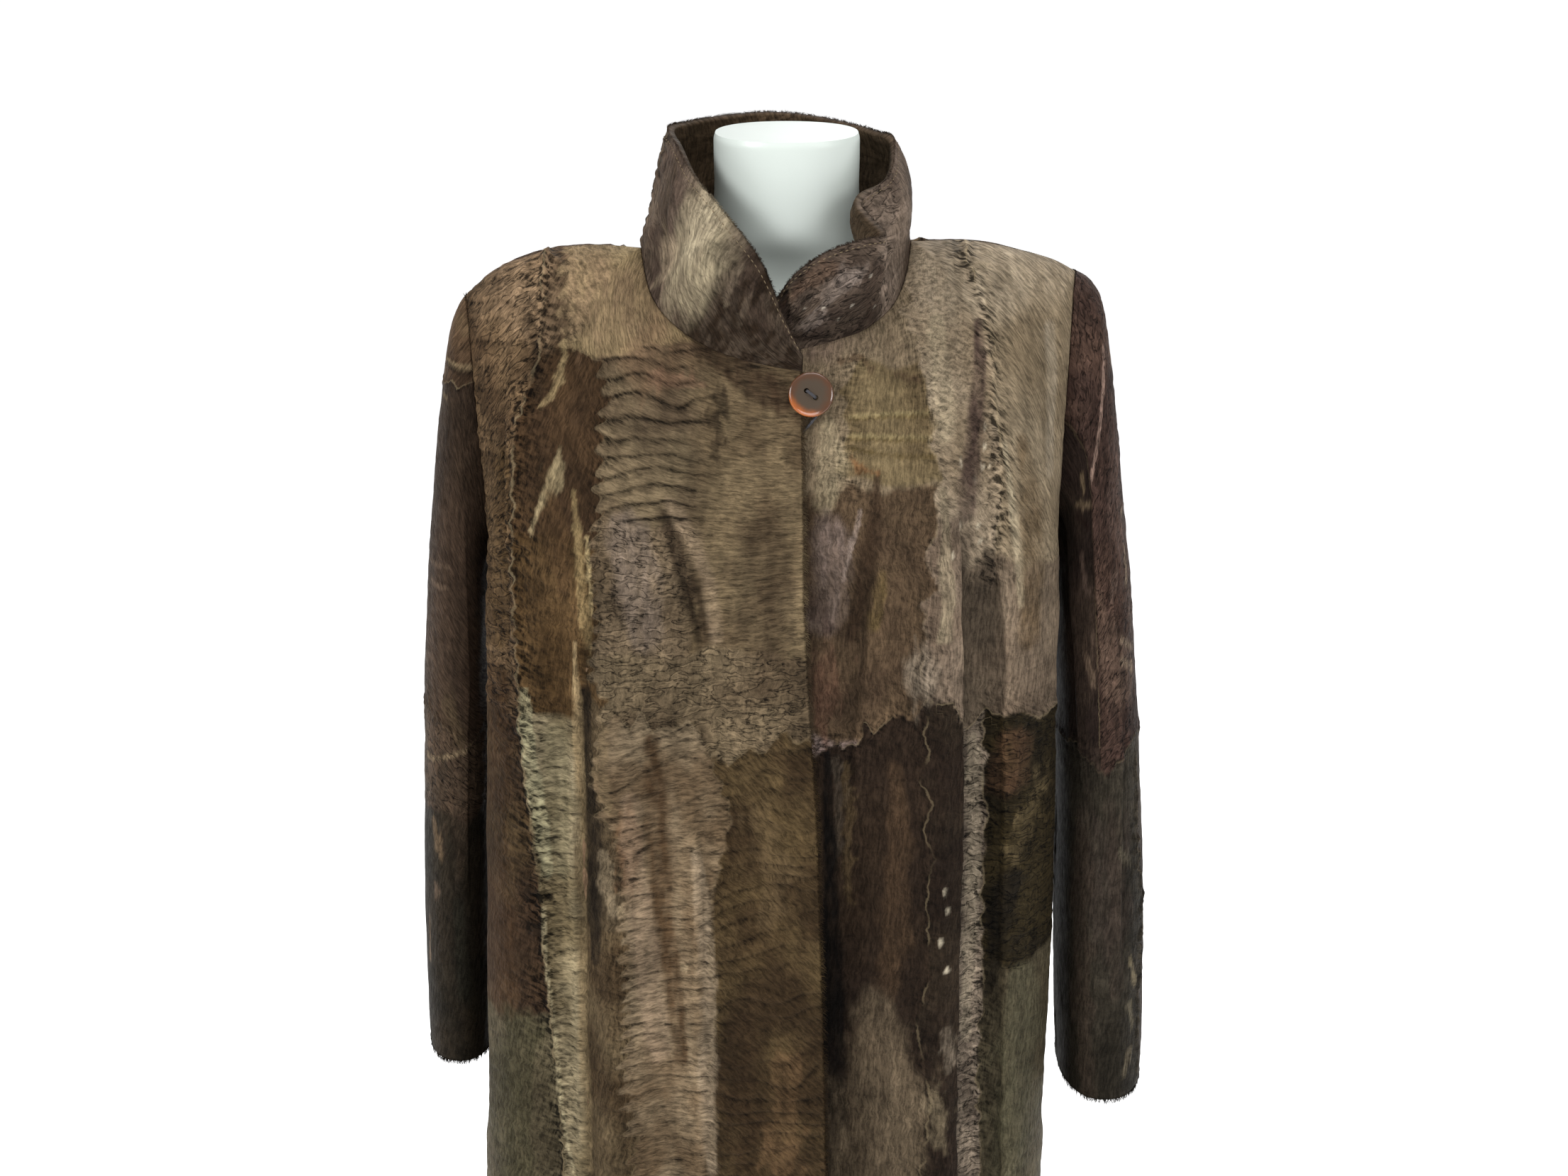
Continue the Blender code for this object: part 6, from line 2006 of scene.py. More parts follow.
LEFT_FRONT = Pattern(
    seed=23,
    base=Pelt("7d6e58", "665846", ripple=0.05, mottle=50),
    joins={
        "inner": Join((
            (88, 1345), (91, 1335), (83, 1329), (93, 1314), (99, 1288), (108, 1256), (102, 1246), (110, 1228),
            (113, 1219), (106, 1208), (110, 1188), (100, 1162), (108, 1149), (110, 1141), (99, 1128),
            (103, 1104), (99, 1076), (106, 1050)), wander=1.8, pitch=18, ruffle=1, line=0.35),
        "waist": Join((
            (20, 1010), (37, 1021), (42, 1013), (56, 1023), (56, 1034), (71, 1029), (79, 1045), (91, 1040),
            (106, 1058), (119, 1054), (124, 1042), (135, 1026), (146, 1041), (161, 1038), (173, 1042),
            (187, 1031), (215, 1035)), pitch=17, ruffle=1.2, line=0.5, level=True),
        "scallop": Join((
            (106, 1058), (102, 1030), (106, 1018), (99, 993), (109, 978), (102, 956), (110, 935), (105, 913),
            (108, 840), (98, 800), (110, 740), (104, 680)), wander=1.2, ruffle=0.8, line=0.5),
        "ruffle": Join((
            (129, 1372), (139, 1345), (146, 1327), (149, 1309), (150, 1270), (155, 1245), (155, 1210),
            (157, 1189), (151, 1166), (149, 1140)), wander=2, pitch=16, ruffle=3, reach=9, line=0.8),
        "crest": Join((
            (125, 1197), (126, 1101), (129, 1029), (130, 934), (129, 822), (130, 680), (132, 500), (134, 300)
        ), wander=0.2, ruffle=0, line=0),
        "outer": Join((
            (146, 1030), (149, 950), (147, 880), (150, 820), (146, 756), (150, 680), (152, 500), (150, 300)
        ), wander=2, ruffle=1.6, line=0.5),
        "brick": Join(((52, 1300), (40, 1280), (44, 1250), (37, 1225), (50, 1210)), wander=2.5, line=0.3),
    },
    pelts=(
        Pelt("75655e", "5b4e48", z=(-9000, 1150), ripple=0.1, nap=Nap.CURLED),
        Pelt(
            "6a5c43", "5b4d37", (("brick", Side.RIGHT), ("inner", Side.LEFT)), z=(1215, 1292), ripple=0,
            nap=Nap.SLEEK,
        ),
        Pelt("4e3f2f", "3d3024", (("inner", Side.LEFT),), z=(1020, 1213), ripple=0.1),
        Pelt("8b7c68", "766753", (("inner", Side.RIGHT),), ripple=0, nap=Nap.SLANT, mottle=40),
        Pelt("685a4c", "5a4c3f", (("inner", Side.RIGHT), ("crest", Side.LEFT)), z=(-9000, 1190), ripple=0),
        Pelt(
            "82745f", "6f614d", (("ruffle", Side.RIGHT),), z=(1100, 9000), ripple=0.1, nap=Nap.SLANT,
            mottle=50,
        ),
        Pelt("6e6050", "584b3e", (("crest", Side.RIGHT),), z=(-9000, 1150), ripple=0.15, mottle=35),
        Pelt("241b14", "2f241a", (("waist", Side.BELOW), ("crest", Side.LEFT)), ripple=0, mottle=60),
        Pelt(
            "1e1610", "261e16", (("waist", Side.BELOW), ("crest", Side.LEFT), ("scallop", Side.RIGHT)),
            ripple=0,
        ),
        Pelt(
            "857767", "5c5146", (("waist", Side.BELOW), ("crest", Side.RIGHT), ("outer", Side.LEFT)),
            ripple=0.4, nap=Nap.CURLED, mottle=12,
        ),
        Pelt(
            "272012", "19140b", (("waist", Side.BELOW), ("outer", Side.RIGHT)), ripple=0.25, nap=Nap.CURLED,
            mottle=20,
        ),
        Pelt("4c4535", "3a3326", (("outer", Side.RIGHT),), z=(-9000, 842), ripple=0.1, mottle=40),
    ),
    marks=(
        Mark("5a4a42", 10, 1315, 40, 16, strength=0.6, ragged=0.4),
        Mark("a0917b", 150, 1350, 55, 26, soft=1),
        Mark("5e4436", 30, 1065, 12, 30, strength=0.6, ragged=1),
        Mark("756651", 90, 700, 18, 60, strength=0.5, ragged=0.5),
        Mark("3b2e20", 100, 560, 20, 60, strength=0.5, ragged=0.6),
        Mark("8a7d6c", 100, 1075, 10, 22, strength=0.6, ragged=0.6),
        *(Mark("b5aa94", x, z, w, h, strength=0.75, ragged=0.5, soft=0.5) for x, z, w, h in (
            (127, 1228, 1.3, 3.4), (143, 1223, 1.5, 2), (149, 1222, 1.4, 1.5), (137, 1215, 1.8, 2),
            (145, 1251, 1.2, 2.4), (145, 1237, 1.2, 2.6), (126, 1184, 1, 3), (140, 1181, 1.6, 2.4),
            (119, 1164, 1.2, 2.6), (141, 1169, 1.6, 1.4), (117, 908, 1.2, 3.6), (119, 893, 1.2, 3),
            (115, 868, 1.4, 3), (119, 845, 1.4, 2.6),
        )),
    ),
    streaks=(
        Streak("4a3a2b", ((38, 1300, 2), (54, 1302, 2), (61, 1295, 3)), 0.8, 1.2, 0.5),
        Streak("4a3a2b", ((81, 1291, 2), (95, 1287, 3)), 0.8, 1.2, 0.5),
        Streak("4f4229", ((46, 1261, 1), (76, 1263, 1), (103, 1263, 1)), 0.85, 0.6, 0.4),
        Streak("4f4229", ((44, 1248, 1), (76, 1247, 1), (105, 1246, 1)), 0.85, 0.6, 0.4),
        Streak("4f4229", ((45, 1241, 1), (62, 1238, 1), (84, 1235, 1), (106, 1235, 1)), 0.85, 0.8, 0.4),
        Streak("93855f", ((46, 1263, 1), (76, 1265, 1), (103, 1265, 1)), 0.4, 0.6, 0.4),
        Streak("93855f", ((44, 1250, 1), (76, 1249, 1), (105, 1248, 1)), 0.4, 0.6, 0.4),
        Streak("60432a", ((46, 1234, 2), (53, 1227, 3), (65, 1224, 1)), 0.8, 1, 0.4),
        Streak("83775f", ((30, 1255, 7), (33, 1229, 10), (27, 1203, 7)), 0.7, 0.4, 1),
        # painted shade in the diagonal valley beside the brown pelt
        Streak("33261b", (
            (65, 1219, 3), (64, 1195, 6), (59, 1161, 7), (53, 1127, 6), (48, 1102, 5)), 0.9, 0.2, 1),
        Streak("54462a", ((69, 1150, 3), (68, 1133, 5), (64, 1110, 4)), 0.65, 0.5, 1),
        Streak("6b5d55", ((33, 1178, 13), (33, 1145, 13), (28, 1114, 11)), 0.75, 0.6, 1),
        Streak("83746a", ((53, 1195, 2), (46, 1167, 2), (41, 1145, 1)), 0.65, 1.1, 0.6),
        Streak("2c201b", ((25, 1128, 5), (30, 1108, 5)), 0.65, 1.5, 0.5),
        Streak("8d8069", ((109, 1320, 7), (111, 1296, 8), (114, 1271, 8), (114, 1251, 7)), 0.75, 0.3, 1),
        Streak("81755f", (
            (112, 1210, 3), (115, 1183, 3), (114, 1157, 4), (116, 1129, 4), (114, 1104, 4)), 0.75, 0.4, 0.7),
        Streak("3e302b", (
            (140, 1321, 3), (141, 1296, 5), (139, 1269, 6), (136, 1238, 7), (133, 1212, 8), (130, 1191, 7)
        ), 0.9, 0.2, 0.9),
        Streak("52453a", ((131, 1175, 6), (128, 1148, 5)), 0.7, 0.4, 0.8),
        Streak("968a73", (
            (159, 1238, 2), (162, 1216, 2), (166, 1187, 3), (170, 1155, 3), (172, 1121, 2)), 0.8, 0.3, 0.7),
        Streak("4a4035", ((148, 1159, 4), (147, 1138, 8), (146, 1114, 11), (145, 1097, 13)), 0.8, 0.3, 0.7),
        Streak("50402c", (
            (172, 1240, 4), (178, 1208, 7), (180, 1170, 9), (180, 1131, 9), (179, 1095, 8)), 0.7, 0.2, 1),
        Streak("8c8170", ((194, 1314, 4), (195, 1278, 4), (194, 1243, 3), (194, 1211, 3)), 0.6, 0.2, 1),
        Streak("4a4238", ((36, 1005, 4), (40, 974, 4), (38, 930, 3)), 0.45, 1.8, 0.9),
        # painted shadow of the right front over the left front's edge, where the fronts part
        Streak("080605", (
            (30, 1012, 3), (33, 900, 6), (36, 780, 9), (41, 620, 13), (48, 480, 10), (56, 330, 14)
        ), 0.95, 0.3, 0.6),
        Streak("5f5241", ((71, 807, 14), (69, 762, 26), (68, 711, 30), (68, 670, 30)), 0.8, 0.6, 1),
        Streak("8b7f6c", (
            (138, 1018, 4), (140, 971, 5), (141, 920, 5), (140, 876, 5), (138, 825, 4), (137, 781, 3)
        ), 0.85, 0.9, 0.5),
        Streak("4c412d", ((192, 976, 8), (179, 956, 6), (171, 928, 6)), 0.55, 1.8, 1),
        Streak("15110b", ((168, 911, 8), (160, 876, 7), (157, 841, 6), (153, 814, 4)), 0.95, 0.9, 0.35),
        Streak("3d2c1f", ((169, 1014, 15), (166, 989, 12)), 0.7, 0.6, 0.8),
        Streak("484434", ((178, 826, 10), (179, 794, 17), (176, 727, 17), (173, 667, 15)), 0.85, 0.6, 0.8),
        Streak("6b6250", ((212, 967, 2), (214, 871, 2)), 0.7, 0.3, 0.6),
        Streak("6d614d", ((112, 743, 5), (117, 702, 5)), 0.5, 1.6, 1),
        Streak("75695a", ((120, 792, 4), (122, 767, 4)), 0.5, 1.6, 1),
        Streak("2a2017", ((58, 973, 11), (62, 910, 12), (55, 844, 10)), 0.5, 0.6, 1),
        Streak("493828", ((80, 1000, 5), (84, 950, 9), (82, 890, 11), (78, 830, 9)), 0.55, 0.9, 1),
        Streak("54452f", ((44, 1000, 2), (47, 970, 3), (45, 930, 3), (48, 890, 2)), 0.5, 2, 0.8),
    ),
    creases=(
        Crease((
            (125, 1200), (126, 1101), (129, 1029), (130, 934), (129, 822), (131, 500), (134, 320)
        ), rise=4, fall=4.5, high=Side.LEFT),
        Crease(((153, 1180), (160, 1080), (162, 900), (168, 600), (172, 320)), rise=2.5, fall=1.8),
        Crease(((70, 1200), (58, 1100), (50, 1000)), rise=1.8, fall=2.2),
    ),
    bricks=(38, 108, 1214, 1292),
)
BACK = Pattern(
    seed=37,
    base=Pelt("6f5f49", "57483a", ripple=0.5, nap=Nap.ACROSS, mottle=50),
    joins={
        "spine": Join(((4, 1400), (12, 1250), (2, 1130), (8, 1000), (0, 800), (6, 550), (0, 300))),
        "left": Join((
            (-100, 1400), (-112, 1250), (-104, 1100), (-116, 950), (-108, 700), (-116, 300)
        ), wander=4, pitch=30, ruffle=2, line=0.5),
        "right": Join((
            (120, 1400), (128, 1280), (118, 1120), (130, 980), (124, 740), (132, 300)
        ), wander=3.6, ruffle=2.2, line=0.7),
        "waist": Join((
            (-250, 1035), (-120, 1045), (-20, 1020), (60, 1040), (150, 1028), (260, 1040)
        ), wander=5, level=True, line=0.4),
        "low": Join((
            (-250, 640), (-110, 660), (10, 630), (120, 655), (260, 640)), wander=5, level=True, line=0.4),
    },
    pelts=(
        Pelt("82724f", "6a5a44", (("spine", Side.RIGHT),), z=(1030, 9000), ripple=0.7, nap=Nap.ACROSS),
        Pelt("4a3b2b", "3c2f23", (("left", Side.LEFT),), ripple=0.1, nap=Nap.SLEEK),
        Pelt("67574a", "4f4136", (("right", Side.RIGHT),), ripple=0.4, nap=Nap.CURLED, mottle=20),
        Pelt(
            "3c3023", "4a3b2a", (("waist", Side.BELOW), ("spine", Side.RIGHT), ("right", Side.LEFT)),
            ripple=0.1,
        ),
        Pelt(
            "6c5c47", "54462f", (("waist", Side.BELOW), ("spine", Side.LEFT), ("left", Side.RIGHT)),
            ripple=0.5, nap=Nap.SLANT,
        ),
        Pelt("6b6049", "4d4433", (("low", Side.BELOW), ("spine", Side.RIGHT))),
        Pelt("4a3a2a", "33281c", (("low", Side.BELOW), ("spine", Side.LEFT)), ripple=0.1, nap=Nap.SLANT),
    ),
    marks=(
        Mark("8c7c64", 60, 1180, 50, 60, strength=0.5, ragged=0.5),
        Mark("30261b", -60, 1240, 20, 50, strength=0.6, ragged=0.5),
        Mark("9c8a68", 128, 1240, 8, 30, strength=0.7, ragged=0.8),
        Mark("2a2118", 70, 860, 30, 100, strength=0.6, ragged=0.5),
        Mark("8a7a62", -50, 800, 14, 110, strength=0.5, ragged=0.4),
        Mark("7c6b55", -180, 900, 16, 120, strength=0.5, ragged=0.5),
    ),
    creases=(
        Crease(((-46, 1100), (-50, 900), (-56, 600), (-60, 320)), rise=4, fall=4, high=Side.LEFT),
        Crease(((54, 1120), (60, 900), (58, 600), (62, 320)), rise=3.5, fall=4),
        Crease(((140, 1020), (150, 800), (156, 320)), rise=3.5, fall=3, high=Side.LEFT),
        Crease(((-136, 1020), (-146, 800), (-152, 320)), rise=3.5, fall=3),
    ),
)
RIGHT_SLEEVE = Pattern(
    seed=41,
    base=Pelt("32271e", "3c2f25", ripple=0.1, nap=Nap.ACROSS, mottle=50),
    joins={
        "elbow": Join((
            (-200, 1020), (-50, 1000), (60, 1015), (120, 990), (200, 1010)
        ), wander=4, level=True, ruffle=0.8, line=0.15),
        "crown": Join((
            (-200, 1250), (0, 1262), (70, 1272), (140, 1235), (200, 1225)), level=True, ruffle=0.8, line=0.5),
    },
    pelts=(
        Pelt("584533", "403124", (("crown", Side.ABOVE),), ripple=0.1),
        Pelt("221e17", "2a231a", (("elbow", Side.BELOW),), z=(-9000, 930), ripple=0.05, mottle=40),
        Pelt("3d3126", "2c241c", (("elbow", Side.BELOW),), z=(930, 9000), ripple=0.15, nap=Nap.CURLED),
    ),
    marks=(
        Mark("4a3b2e", 70, 1010, 30, 45, strength=0.6, ragged=0.8),
        Mark("4c3d30", 110, 950, 20, 60, strength=0.5, ragged=0.7),
        Mark("1e1a14", 120, 850, 30, 80, strength=0.5, ragged=0.5),
    ),
    streaks=(
        Streak("7d6c52", ((25, 1284, 2), (61, 1281, 2)), 0.8, 0.5, 0.5),
        Streak("15100b", ((34, 1282, 2), (61, 1278, 2)), 0.8, 0.5, 0.5),
        Streak("6a5a44", ((34, 1258, 2), (51, 1258, 2)), 0.8, 0.5, 0.5),
        Streak("64523c", ((23, 1313, 4), (58, 1300, 3)), 0.7, 0.8, 0.8),
        Streak("5a4a3c", ((38, 1131, 2), (87, 1132, 2)), 0.7, 0.5, 0.5),
        Streak("5a4a3c", ((48, 1116, 2), (86, 1116, 2)), 0.7, 0.5, 0.5),
        Streak("463a2a", ((91, 1022, 10), (109, 995, 10)), 0.7, 0.8, 0.9),
        Streak("6b5c47", ((51, 972, 2), (126, 985, 2)), 0.8, 0.9, 0.6),
        Streak("5e4d3a", ((67, 917, 5), (79, 894, 6)), 0.85, 1.1, 0.5),
        Streak("5a4a3c", ((70, 864, 4), (68, 856, 3)), 0.8, 1.3, 0.5),
        Streak("6b5a48", ((51, 830, 2), (50, 796, 2)), 0.8, 1.2, 0.5),
        Streak("24231b", ((105, 846, 9), (111, 779, 11)), 0.6, 0.8, 0.9),
    ),
    creases=(
        Crease(((110, 1180), (125, 1050), (120, 900)), rise=1.8, fall=2.2, high=Side.LEFT),
    ),
    ripple_pitch=15,
)
LEFT_SLEEVE = Pattern(
    seed=53,
    base=Pelt("42322a", "322520", nap=Nap.CURLED),
    joins={
        "elbow": Join((
            (-200, 1000), (-50, 985), (50, 1000), (100, 975), (140, 995), (200, 985)
        ), wander=4, level=True, ruffle=1, line=0.3),
        "front": Join((
            (98, 1340), (96, 1298), (94, 1189), (100, 1100), (104, 1000)), wander=1, ruffle=0.6, line=0.55),
        "low": Join(((44, 980), (52, 920), (40, 860), (50, 800), (46, 700)), wander=4, line=0.25),
    },
    pelts=(
        Pelt("362c25", "29201c", (("elbow", Side.ABOVE), ("front", Side.RIGHT)), ripple=0, mottle=20),
        Pelt("332e26", "25211a", (("elbow", Side.BELOW),), ripple=0, mottle=50),
        Pelt("3d342b", "2c261f", (("elbow", Side.BELOW), ("low", Side.LEFT)), ripple=0.1, mottle=20),
    ),
    marks=(
        Mark("5a4840", 60, 1180, 14, 34, strength=0.5, ragged=0.9),
        Mark("5a4c44", 130, 1260, 10, 50, strength=0.4, ragged=0.7),
        Mark("14110d", 140, 1180, 16, 90, strength=0.6, ragged=0.4),
        Mark("5d4c40", 75, 1060, 30, 40, strength=0.5, ragged=1),
        Mark("403630", 100, 880, 30, 60, strength=0.5, ragged=0.9),
    ),
    streaks=(
        Streak("43382f", ((132, 930, 10), (134, 860, 12), (130, 780, 12), (124, 720, 9)), 0.6, 1, 1),
        Streak("372e27", ((90, 950, 8), (86, 880, 9), (88, 800, 8)), 0.55, 1.2, 1),
        # painted highlight down the sleeve's front
        Streak("7a655a", ((44, 1295, 2), (62, 1263, 2), (82, 1221, 2), (91, 1202, 2)), 0.9, 0.3, 0.6),
        Streak("8a7a68", ((20, 1287, 2), (22, 1278, 2)), 0.8, 1, 0.5),
        Streak("77664f", ((105, 1201, 3), (106, 1190, 2)), 0.85, 1.2, 0.4),
        Streak("7a6852", ((114, 1181, 3), (98, 1182, 2)), 0.85, 1.2, 0.4),
        Streak("241713", ((115, 1171, 4), (104, 1167, 3)), 0.8, 1, 0.5),
        Streak("7a6a58", ((42, 1173, 2), (40, 1169, 2)), 0.8, 1.3, 0.5),
        Streak("7a6a58", ((43, 1145, 2), (44, 1130, 2), (48, 1117, 2)), 0.8, 1.3, 0.5),
        Streak("655349", ((114, 1142, 3), (111, 1117, 3)), 0.7, 1, 0.8),
        Streak("1a120e", ((122, 1153, 2), (123, 1116, 2)), 0.8, 1.2, 0.5),
        Streak("58483f", ((67, 1130, 4), (77, 1113, 5)), 0.6, 1, 0.8),
        Streak("6a594a", ((115, 1063, 4), (108, 1047, 4)), 0.75, 1.2, 0.5),
        Streak("746553", ((65, 1078, 2), (39, 1065, 2)), 0.8, 1, 0.5),
        Streak("746553", ((67, 1062, 2), (42, 1051, 2)), 0.8, 1, 0.5),
        Streak("241b17", ((89, 1032, 4), (72, 998, 4)), 0.7, 1, 0.6),
        Streak("5c5546", ((79, 913, 4), (65, 903, 3)), 0.7, 1.1, 0.6),
        Streak("7c7058", ((65, 822, 3), (57, 803, 3)), 0.85, 1.2, 0.45),
        Streak("6f6653", ((68, 786, 4), (61, 769, 3)), 0.85, 1.2, 0.45),
        Streak("6a604e", ((66, 747, 4), (73, 729, 4)), 0.8, 1.2, 0.5),
        Streak("4a4238", ((129, 939, 5), (115, 921, 4)), 0.6, 1.2, 0.6),
    ),
    creases=(
        Crease(((94, 1300), (94, 1189), (100, 1100)), rise=1.6, fall=1.4, rise_width=10, high=Side.LEFT),
        Crease(((130, 1290), (140, 1150), (134, 1000)), rise=2, fall=2.8, high=Side.LEFT),
        Crease(((76, 1150), (72, 1000), (80, 860)), rise=1.6, fall=1.6),
    ),
    ripple_pitch=14,
)
COLLAR_OUTSIDE = Pattern(
    seed=61,
    base=Pelt("352a20", "2a2019", ripple=0.1, mottle=20),
    joins={
        "nape": Join(((150, -10), (144, 50), (150, 110)), wander=1, line=0.3),
        "lobe": Join(((435, -10), (420, 30), (412, 60), (420, 110)), line=0.3),
        "fold": Join(((330, -10), (318, 50), (310, 110)), wander=1, line=0, ruffle=0),
    },
    pelts=(
        Pelt("211810", "2f2318", ripple=0.1),
        Pelt("64574a", "4c3f36", (("nape", Side.LEFT),), nap=Nap.SLANT, mottle=20),
        Pelt("5c4d41", "44392f", (("nape", Side.RIGHT),), ripple=0.1, mottle=20),
        Pelt("483d34", "322923", (("fold", Side.RIGHT),), ripple=0.1, nap=Nap.CURLED, mottle=16),
    ),
    marks=(
        Mark("7c6d60", 332, 60, 22, 60, strength=0.75, ragged=0.6),
        Mark("241a11", 40, 40, 50, 75, strength=0.95, ragged=0.3),
        Mark("8f836b", 94, 62, 20, 50, lean=-6, strength=0.95, ragged=0.5, soft=0.8),
        Mark("a4977e", 98, 78, 10, 26, strength=0.7, ragged=0.6, soft=0.8),
        Mark("42362a", 128, 70, 5, 32, lean=-8, strength=0.7, ragged=0.4),
        Mark("a08f76", 118, 30, 10, 20, strength=0.5, ragged=0.8),
        Mark("8a7c68", 66, 70, 2, 20, lean=-4, strength=0.3, ragged=0.8),
        Mark("7a6c5c", 54, 62, 2, 16, lean=-4, strength=0.25, ragged=0.8),
        Mark("372c25", 355, 50, 16, 30, strength=0.7, ragged=0.8),
        Mark("6c6159", 382, 60, 10, 20, lean=30, strength=0.7, ragged=1),
        Mark("6c6159", 400, 30, 12, 10, lean=20, strength=0.6, ragged=1),
        Mark("40352f", 425, 60, 12, 30, strength=0.6, ragged=0.8),
        Mark("5c483a", 395, 82, 20, 10, strength=0.5, ragged=0.8),
        *(Mark("aaa192", x, z, 1.2, 1.6, strength=0.8, ragged=0.5) for x, z in (
            (372, 38), (380, 26), (391, 44), (405, 52), (362, 66), (350, 20),
        )),
    ),
    creases=(
        Crease(((112, 0), (122, 40), (128, 100)), rise=1.2, fall=2, rise_width=10, high=Side.LEFT),
        Crease(((140, 0), (134, 50), (138, 100)), rise=1.4, fall=1.4, rise_width=8),
    ),
)
COLLAR_INSIDE = Pattern(
    seed=67,
    base=Pelt("3d3226", "4d3f30", ripple=0.1),
    joins={
        "middle": Join(((225, -10), (222, 50), (226, 110)), wander=1, line=0.4),
    },
    marks=(
        Mark("54483a", 300, 50, 50, 50, strength=0.5, ragged=0.6),
    ),
)


@dataclass(frozen=True)
class Studio:
    """A pale floor, soft lights and the camera where the photograph was taken from."""

    camera_place: tuple[float, float, float] = (-0.002, -2.265, 1.784)
    camera_dip: float = 16.9
    lens: float = 70.0
    floor_width: float = 60.0
    floor_drop: float = 0.0005

    def build(self) -> None:
        """Makes the stage: the floor, the world, the lights in front, above and behind, and the camera."""
        half, low = self.floor_width / 2, -self.floor_drop
        floor = linked("pale_floor", bpy.data.meshes.new("pale_floor"))
        corners = [(-half, -half, low), (half, -half, low), (half, half, low), (-half, half, low)]
        floor.data.from_pydata(corners, [], [(0, 1, 2, 3)])
        material, tree, shader = material_of("matt_white_paper")
        place = add(tree, "TexCoord").outputs["Object"]
        mottle = add(tree, "TexNoise", {"Vector": place, "Scale": 3.0})
        tones = {0: mottle, 6: (0.93, 0.93, 0.93, 1), 7: (0.95, 0.95, 0.95, 1)}
        fill(tree, shader, {
            "Base Color": add(tree, "Mix", tones, data_type="RGBA").outputs[2],
            "Roughness": 0.9,
            "Emission Color": (1.0, 1.0, 1.0, 1.0),
            "Emission Strength": 0.70,
        })
        floor.data.materials.append(material)
        world = bpy.data.worlds.new("studio_air")
        world.use_nodes = True
        white_air = {"Color": (1.0, 1.0, 1.0, 1.0), "Strength": 0.33}
        fill(world.node_tree, world.node_tree.nodes["Background"], white_air)
        bpy.context.scene.view_settings.view_transform = "Standard"
        bpy.context.scene.world = world
        for name, place, aim_height, size, power in (
            ("window_side", (-2.7, -2.0, 2.7), 1.1, 1.2, 66.0),
            ("fill_side", (2.9, -1.9, 2.4), 1.1, 1.8, 30.0),
            ("rim_behind", (0.8, 2.6, 2.8), 1.1, 2.0, 32.0),
            ("overhead", (0.2, -0.9, 3.3), 1.2, 1.4, 28.0),
        ):
            light = bpy.data.lights.new(name, "AREA")
            light.energy, light.size = power, size
            lamp = linked(name, light)
            lamp.location = place
            x, y, drop = -place[0], -place[1], place[2] - aim_height
            lamp.rotation_euler = (math.atan2(math.hypot(x, y), drop), 0, math.atan2(y, x) - math.pi / 2)
        view = bpy.data.cameras.new("photograph_view")
        view.lens, view.sensor_width = self.lens, 36.0
        camera = linked("photograph_view", view)
        camera.location = self.camera_place
        camera.rotation_euler = (math.radians(90 - self.camera_dip), 0, 0)
        bpy.context.scene.camera = camera


class Finish(Enum):
    """The names of the slots for the finishes of the coat's pieces."""

    FUR = "fur"
    BUTTON = "button_resin"
    CORD = "cord"
    FORM = "form_plastic"


def dress(piece: bpy.types.Object, finish: Finish, material: bpy.types.Material, *nodes: str) -> None:
    """Gives a piece its material, rides it on the root and puts it in place of its solids.

    Args:
        piece: the piece.
        finish: its slot; not used.
        material: its material.
        nodes: the solids that it replaces.
    """
    piece.data.materials.clear()
    piece.data.materials.append(material)
    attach(piece, "root")
    if nodes:
        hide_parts(*nodes)
    solids = ", ".join(nodes) or "nothing"
    LOG.info("%s: %d faces, in place of %s", piece.name, len(piece.data.polygons), solids)


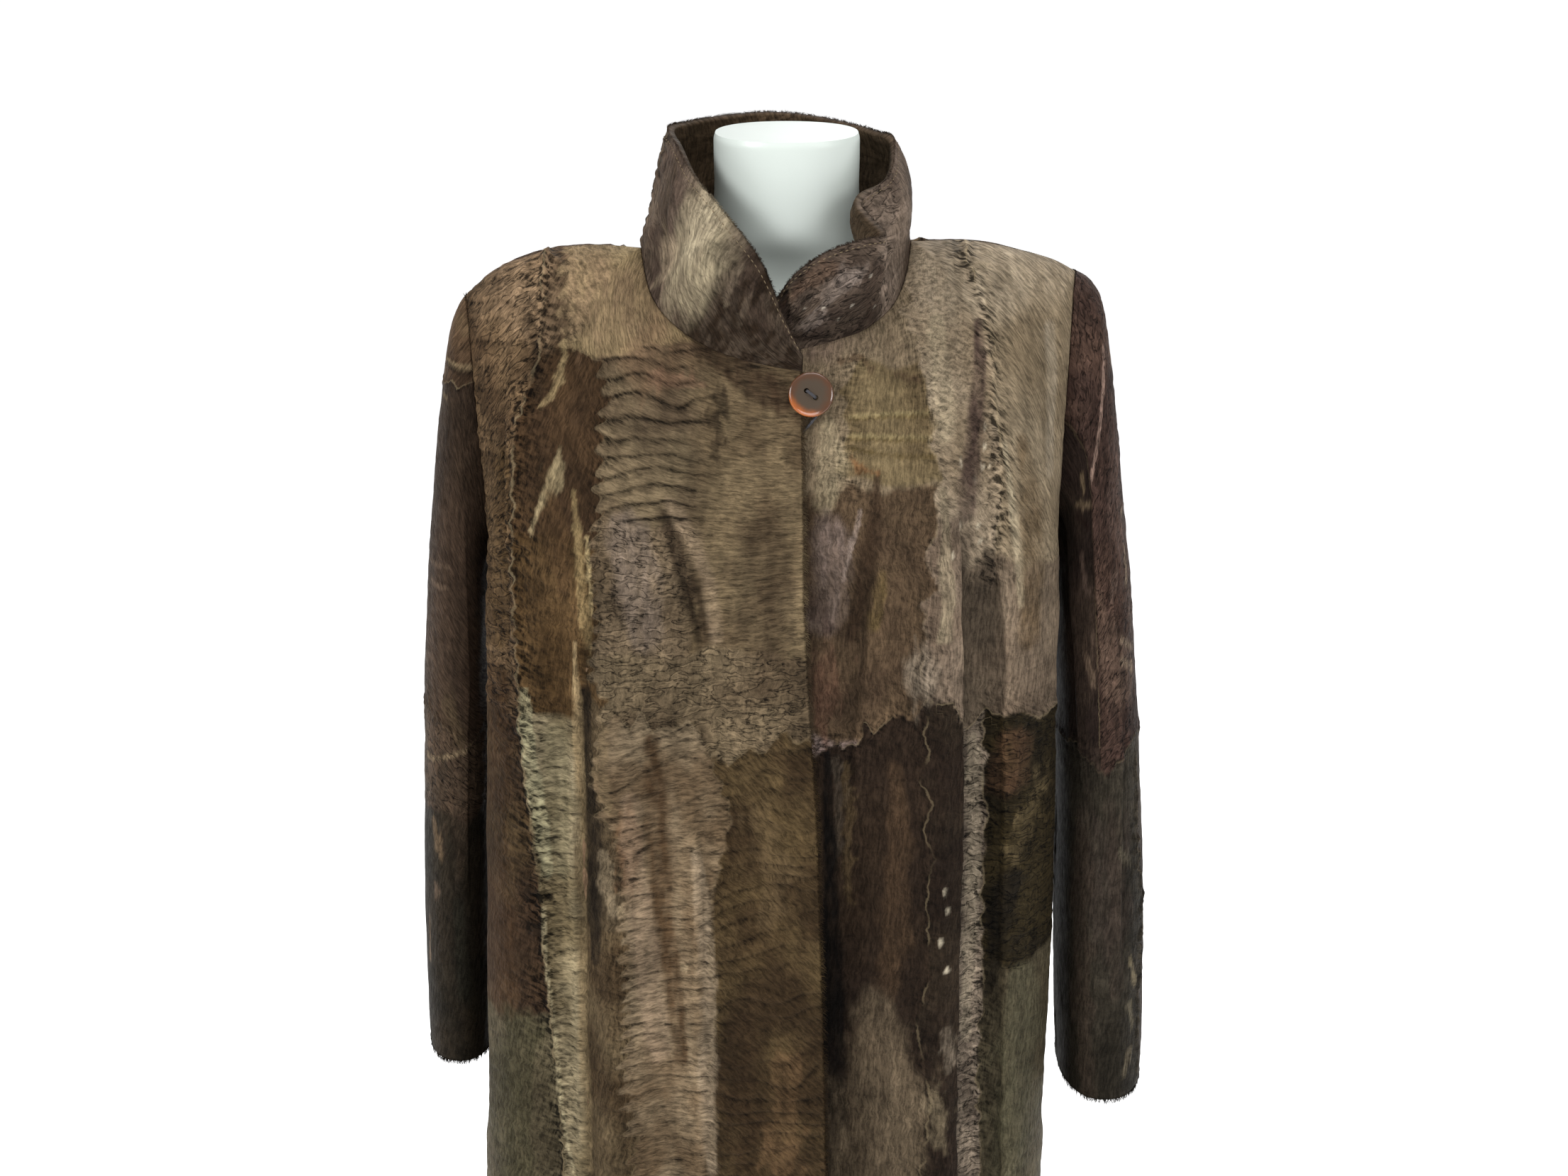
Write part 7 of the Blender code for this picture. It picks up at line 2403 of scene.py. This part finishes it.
@dataclass
class Coat:
    """The fur panels, sleeves and collar, and the loose hair along their edges."""

    fur: bpy.types.Material

    def build(self) -> None:
        """Builds each panel, then its fringes, and dresses each with its material.

        A fringe is (edge, number of hairs, their length).
        """
        right = CoatPanel("front_right", RIGHT_FRONT, (0.46, 1.10), 0.387)
        left = CoatPanel("front_left", LEFT_FRONT, (0.40, 1.10), 0.317)
        back = CoatPanel("back", BACK, (0.62, 1.10), 0.583, columns=204)
        collar = Collar(COLLAR_OUTSIDE, COLLAR_INSIDE)
        hem, cuff, head = (Edge.LOW, 1500, 0.0035), (Edge.LOW, 900, 0.0032), (Edge.HIGH, 1100, 0.0038)
        for part, *fringes in (
            (right, hem, (Edge.RIGHT, 2600, 0.0042)),
            (left, hem, (Edge.LEFT, 2600, 0.0042)),
            (back, hem),
            (Sleeve("right", right, back, RIGHT_SLEEVE, (0.40, 0.58)), cuff, head),
            (Sleeve("left", left, back, LEFT_SLEEVE, (0.42, 0.60)), cuff, head),
            (collar, (Edge.HIGH, 2200, 0.0026)),
        ):
            piece = part.build()
            along = [self._fringe(piece, part.grid_shape, *fringe) for fringe in fringes]
            if part is collar:
                along.append(collar.stitches())
                dress(along[-1], Finish.CORD, WaxedCord("8a7757", "4d3f2c", "tan_cotton_thread").build())
            dress(piece, Finish.FUR, self.fur, piece.name.removesuffix("_fur"))

    def _fringe(
        self, piece: bpy.types.Object, shape: tuple[int, int], edge: Edge, count: int, length: float
    ) -> bpy.types.Object:
        """Loose hair along one edge of a piece.

        Args:
            piece: the piece.
            shape: the rows and columns of its outer grid.
            edge: which edge.
            count: the number of hairs.
            length: their usual length.

        Returns:
            The hair, dressed.
        """
        seed = len(piece.name) * 7 + count
        name = f"{piece.name}_hair_{edge.value}"
        fringe = Fringe(name, *edge_of(piece, shape, edge), count, length, seed).build()
        dress(fringe, Finish.FUR, self.fur)
        return fringe


def main() -> None:
    """Builds the coat, its fastening, the form, the stand's finish and the studio."""
    logging.basicConfig(level=logging.INFO, format="%(message)s")
    Studio().build()
    fur, cord = BroadtailFur().build(), WaxedCord().build()
    dress(DressForm().build(), Finish.FORM, SatinPlastic().build(), "dress_form")
    Coat(fur).build()
    fastening = Fastening()
    dress(fastening.button(), Finish.BUTTON, AmberResin().build(), "button")
    dress(fastening.thread(), Finish.CORD, cord, "button_thread")
    dress(fastening.loop(), Finish.CORD, cord, "fastening_loop")
    steel = BrushedSteel().build()
    for node in ("stand_base", "stand_pole", "stand_flange"):
        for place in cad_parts[node].material_slots:
            place.material = steel
        LOG.info("%s keeps its solid, in brushed steel", node)


if __name__ == "__main__":
    main()
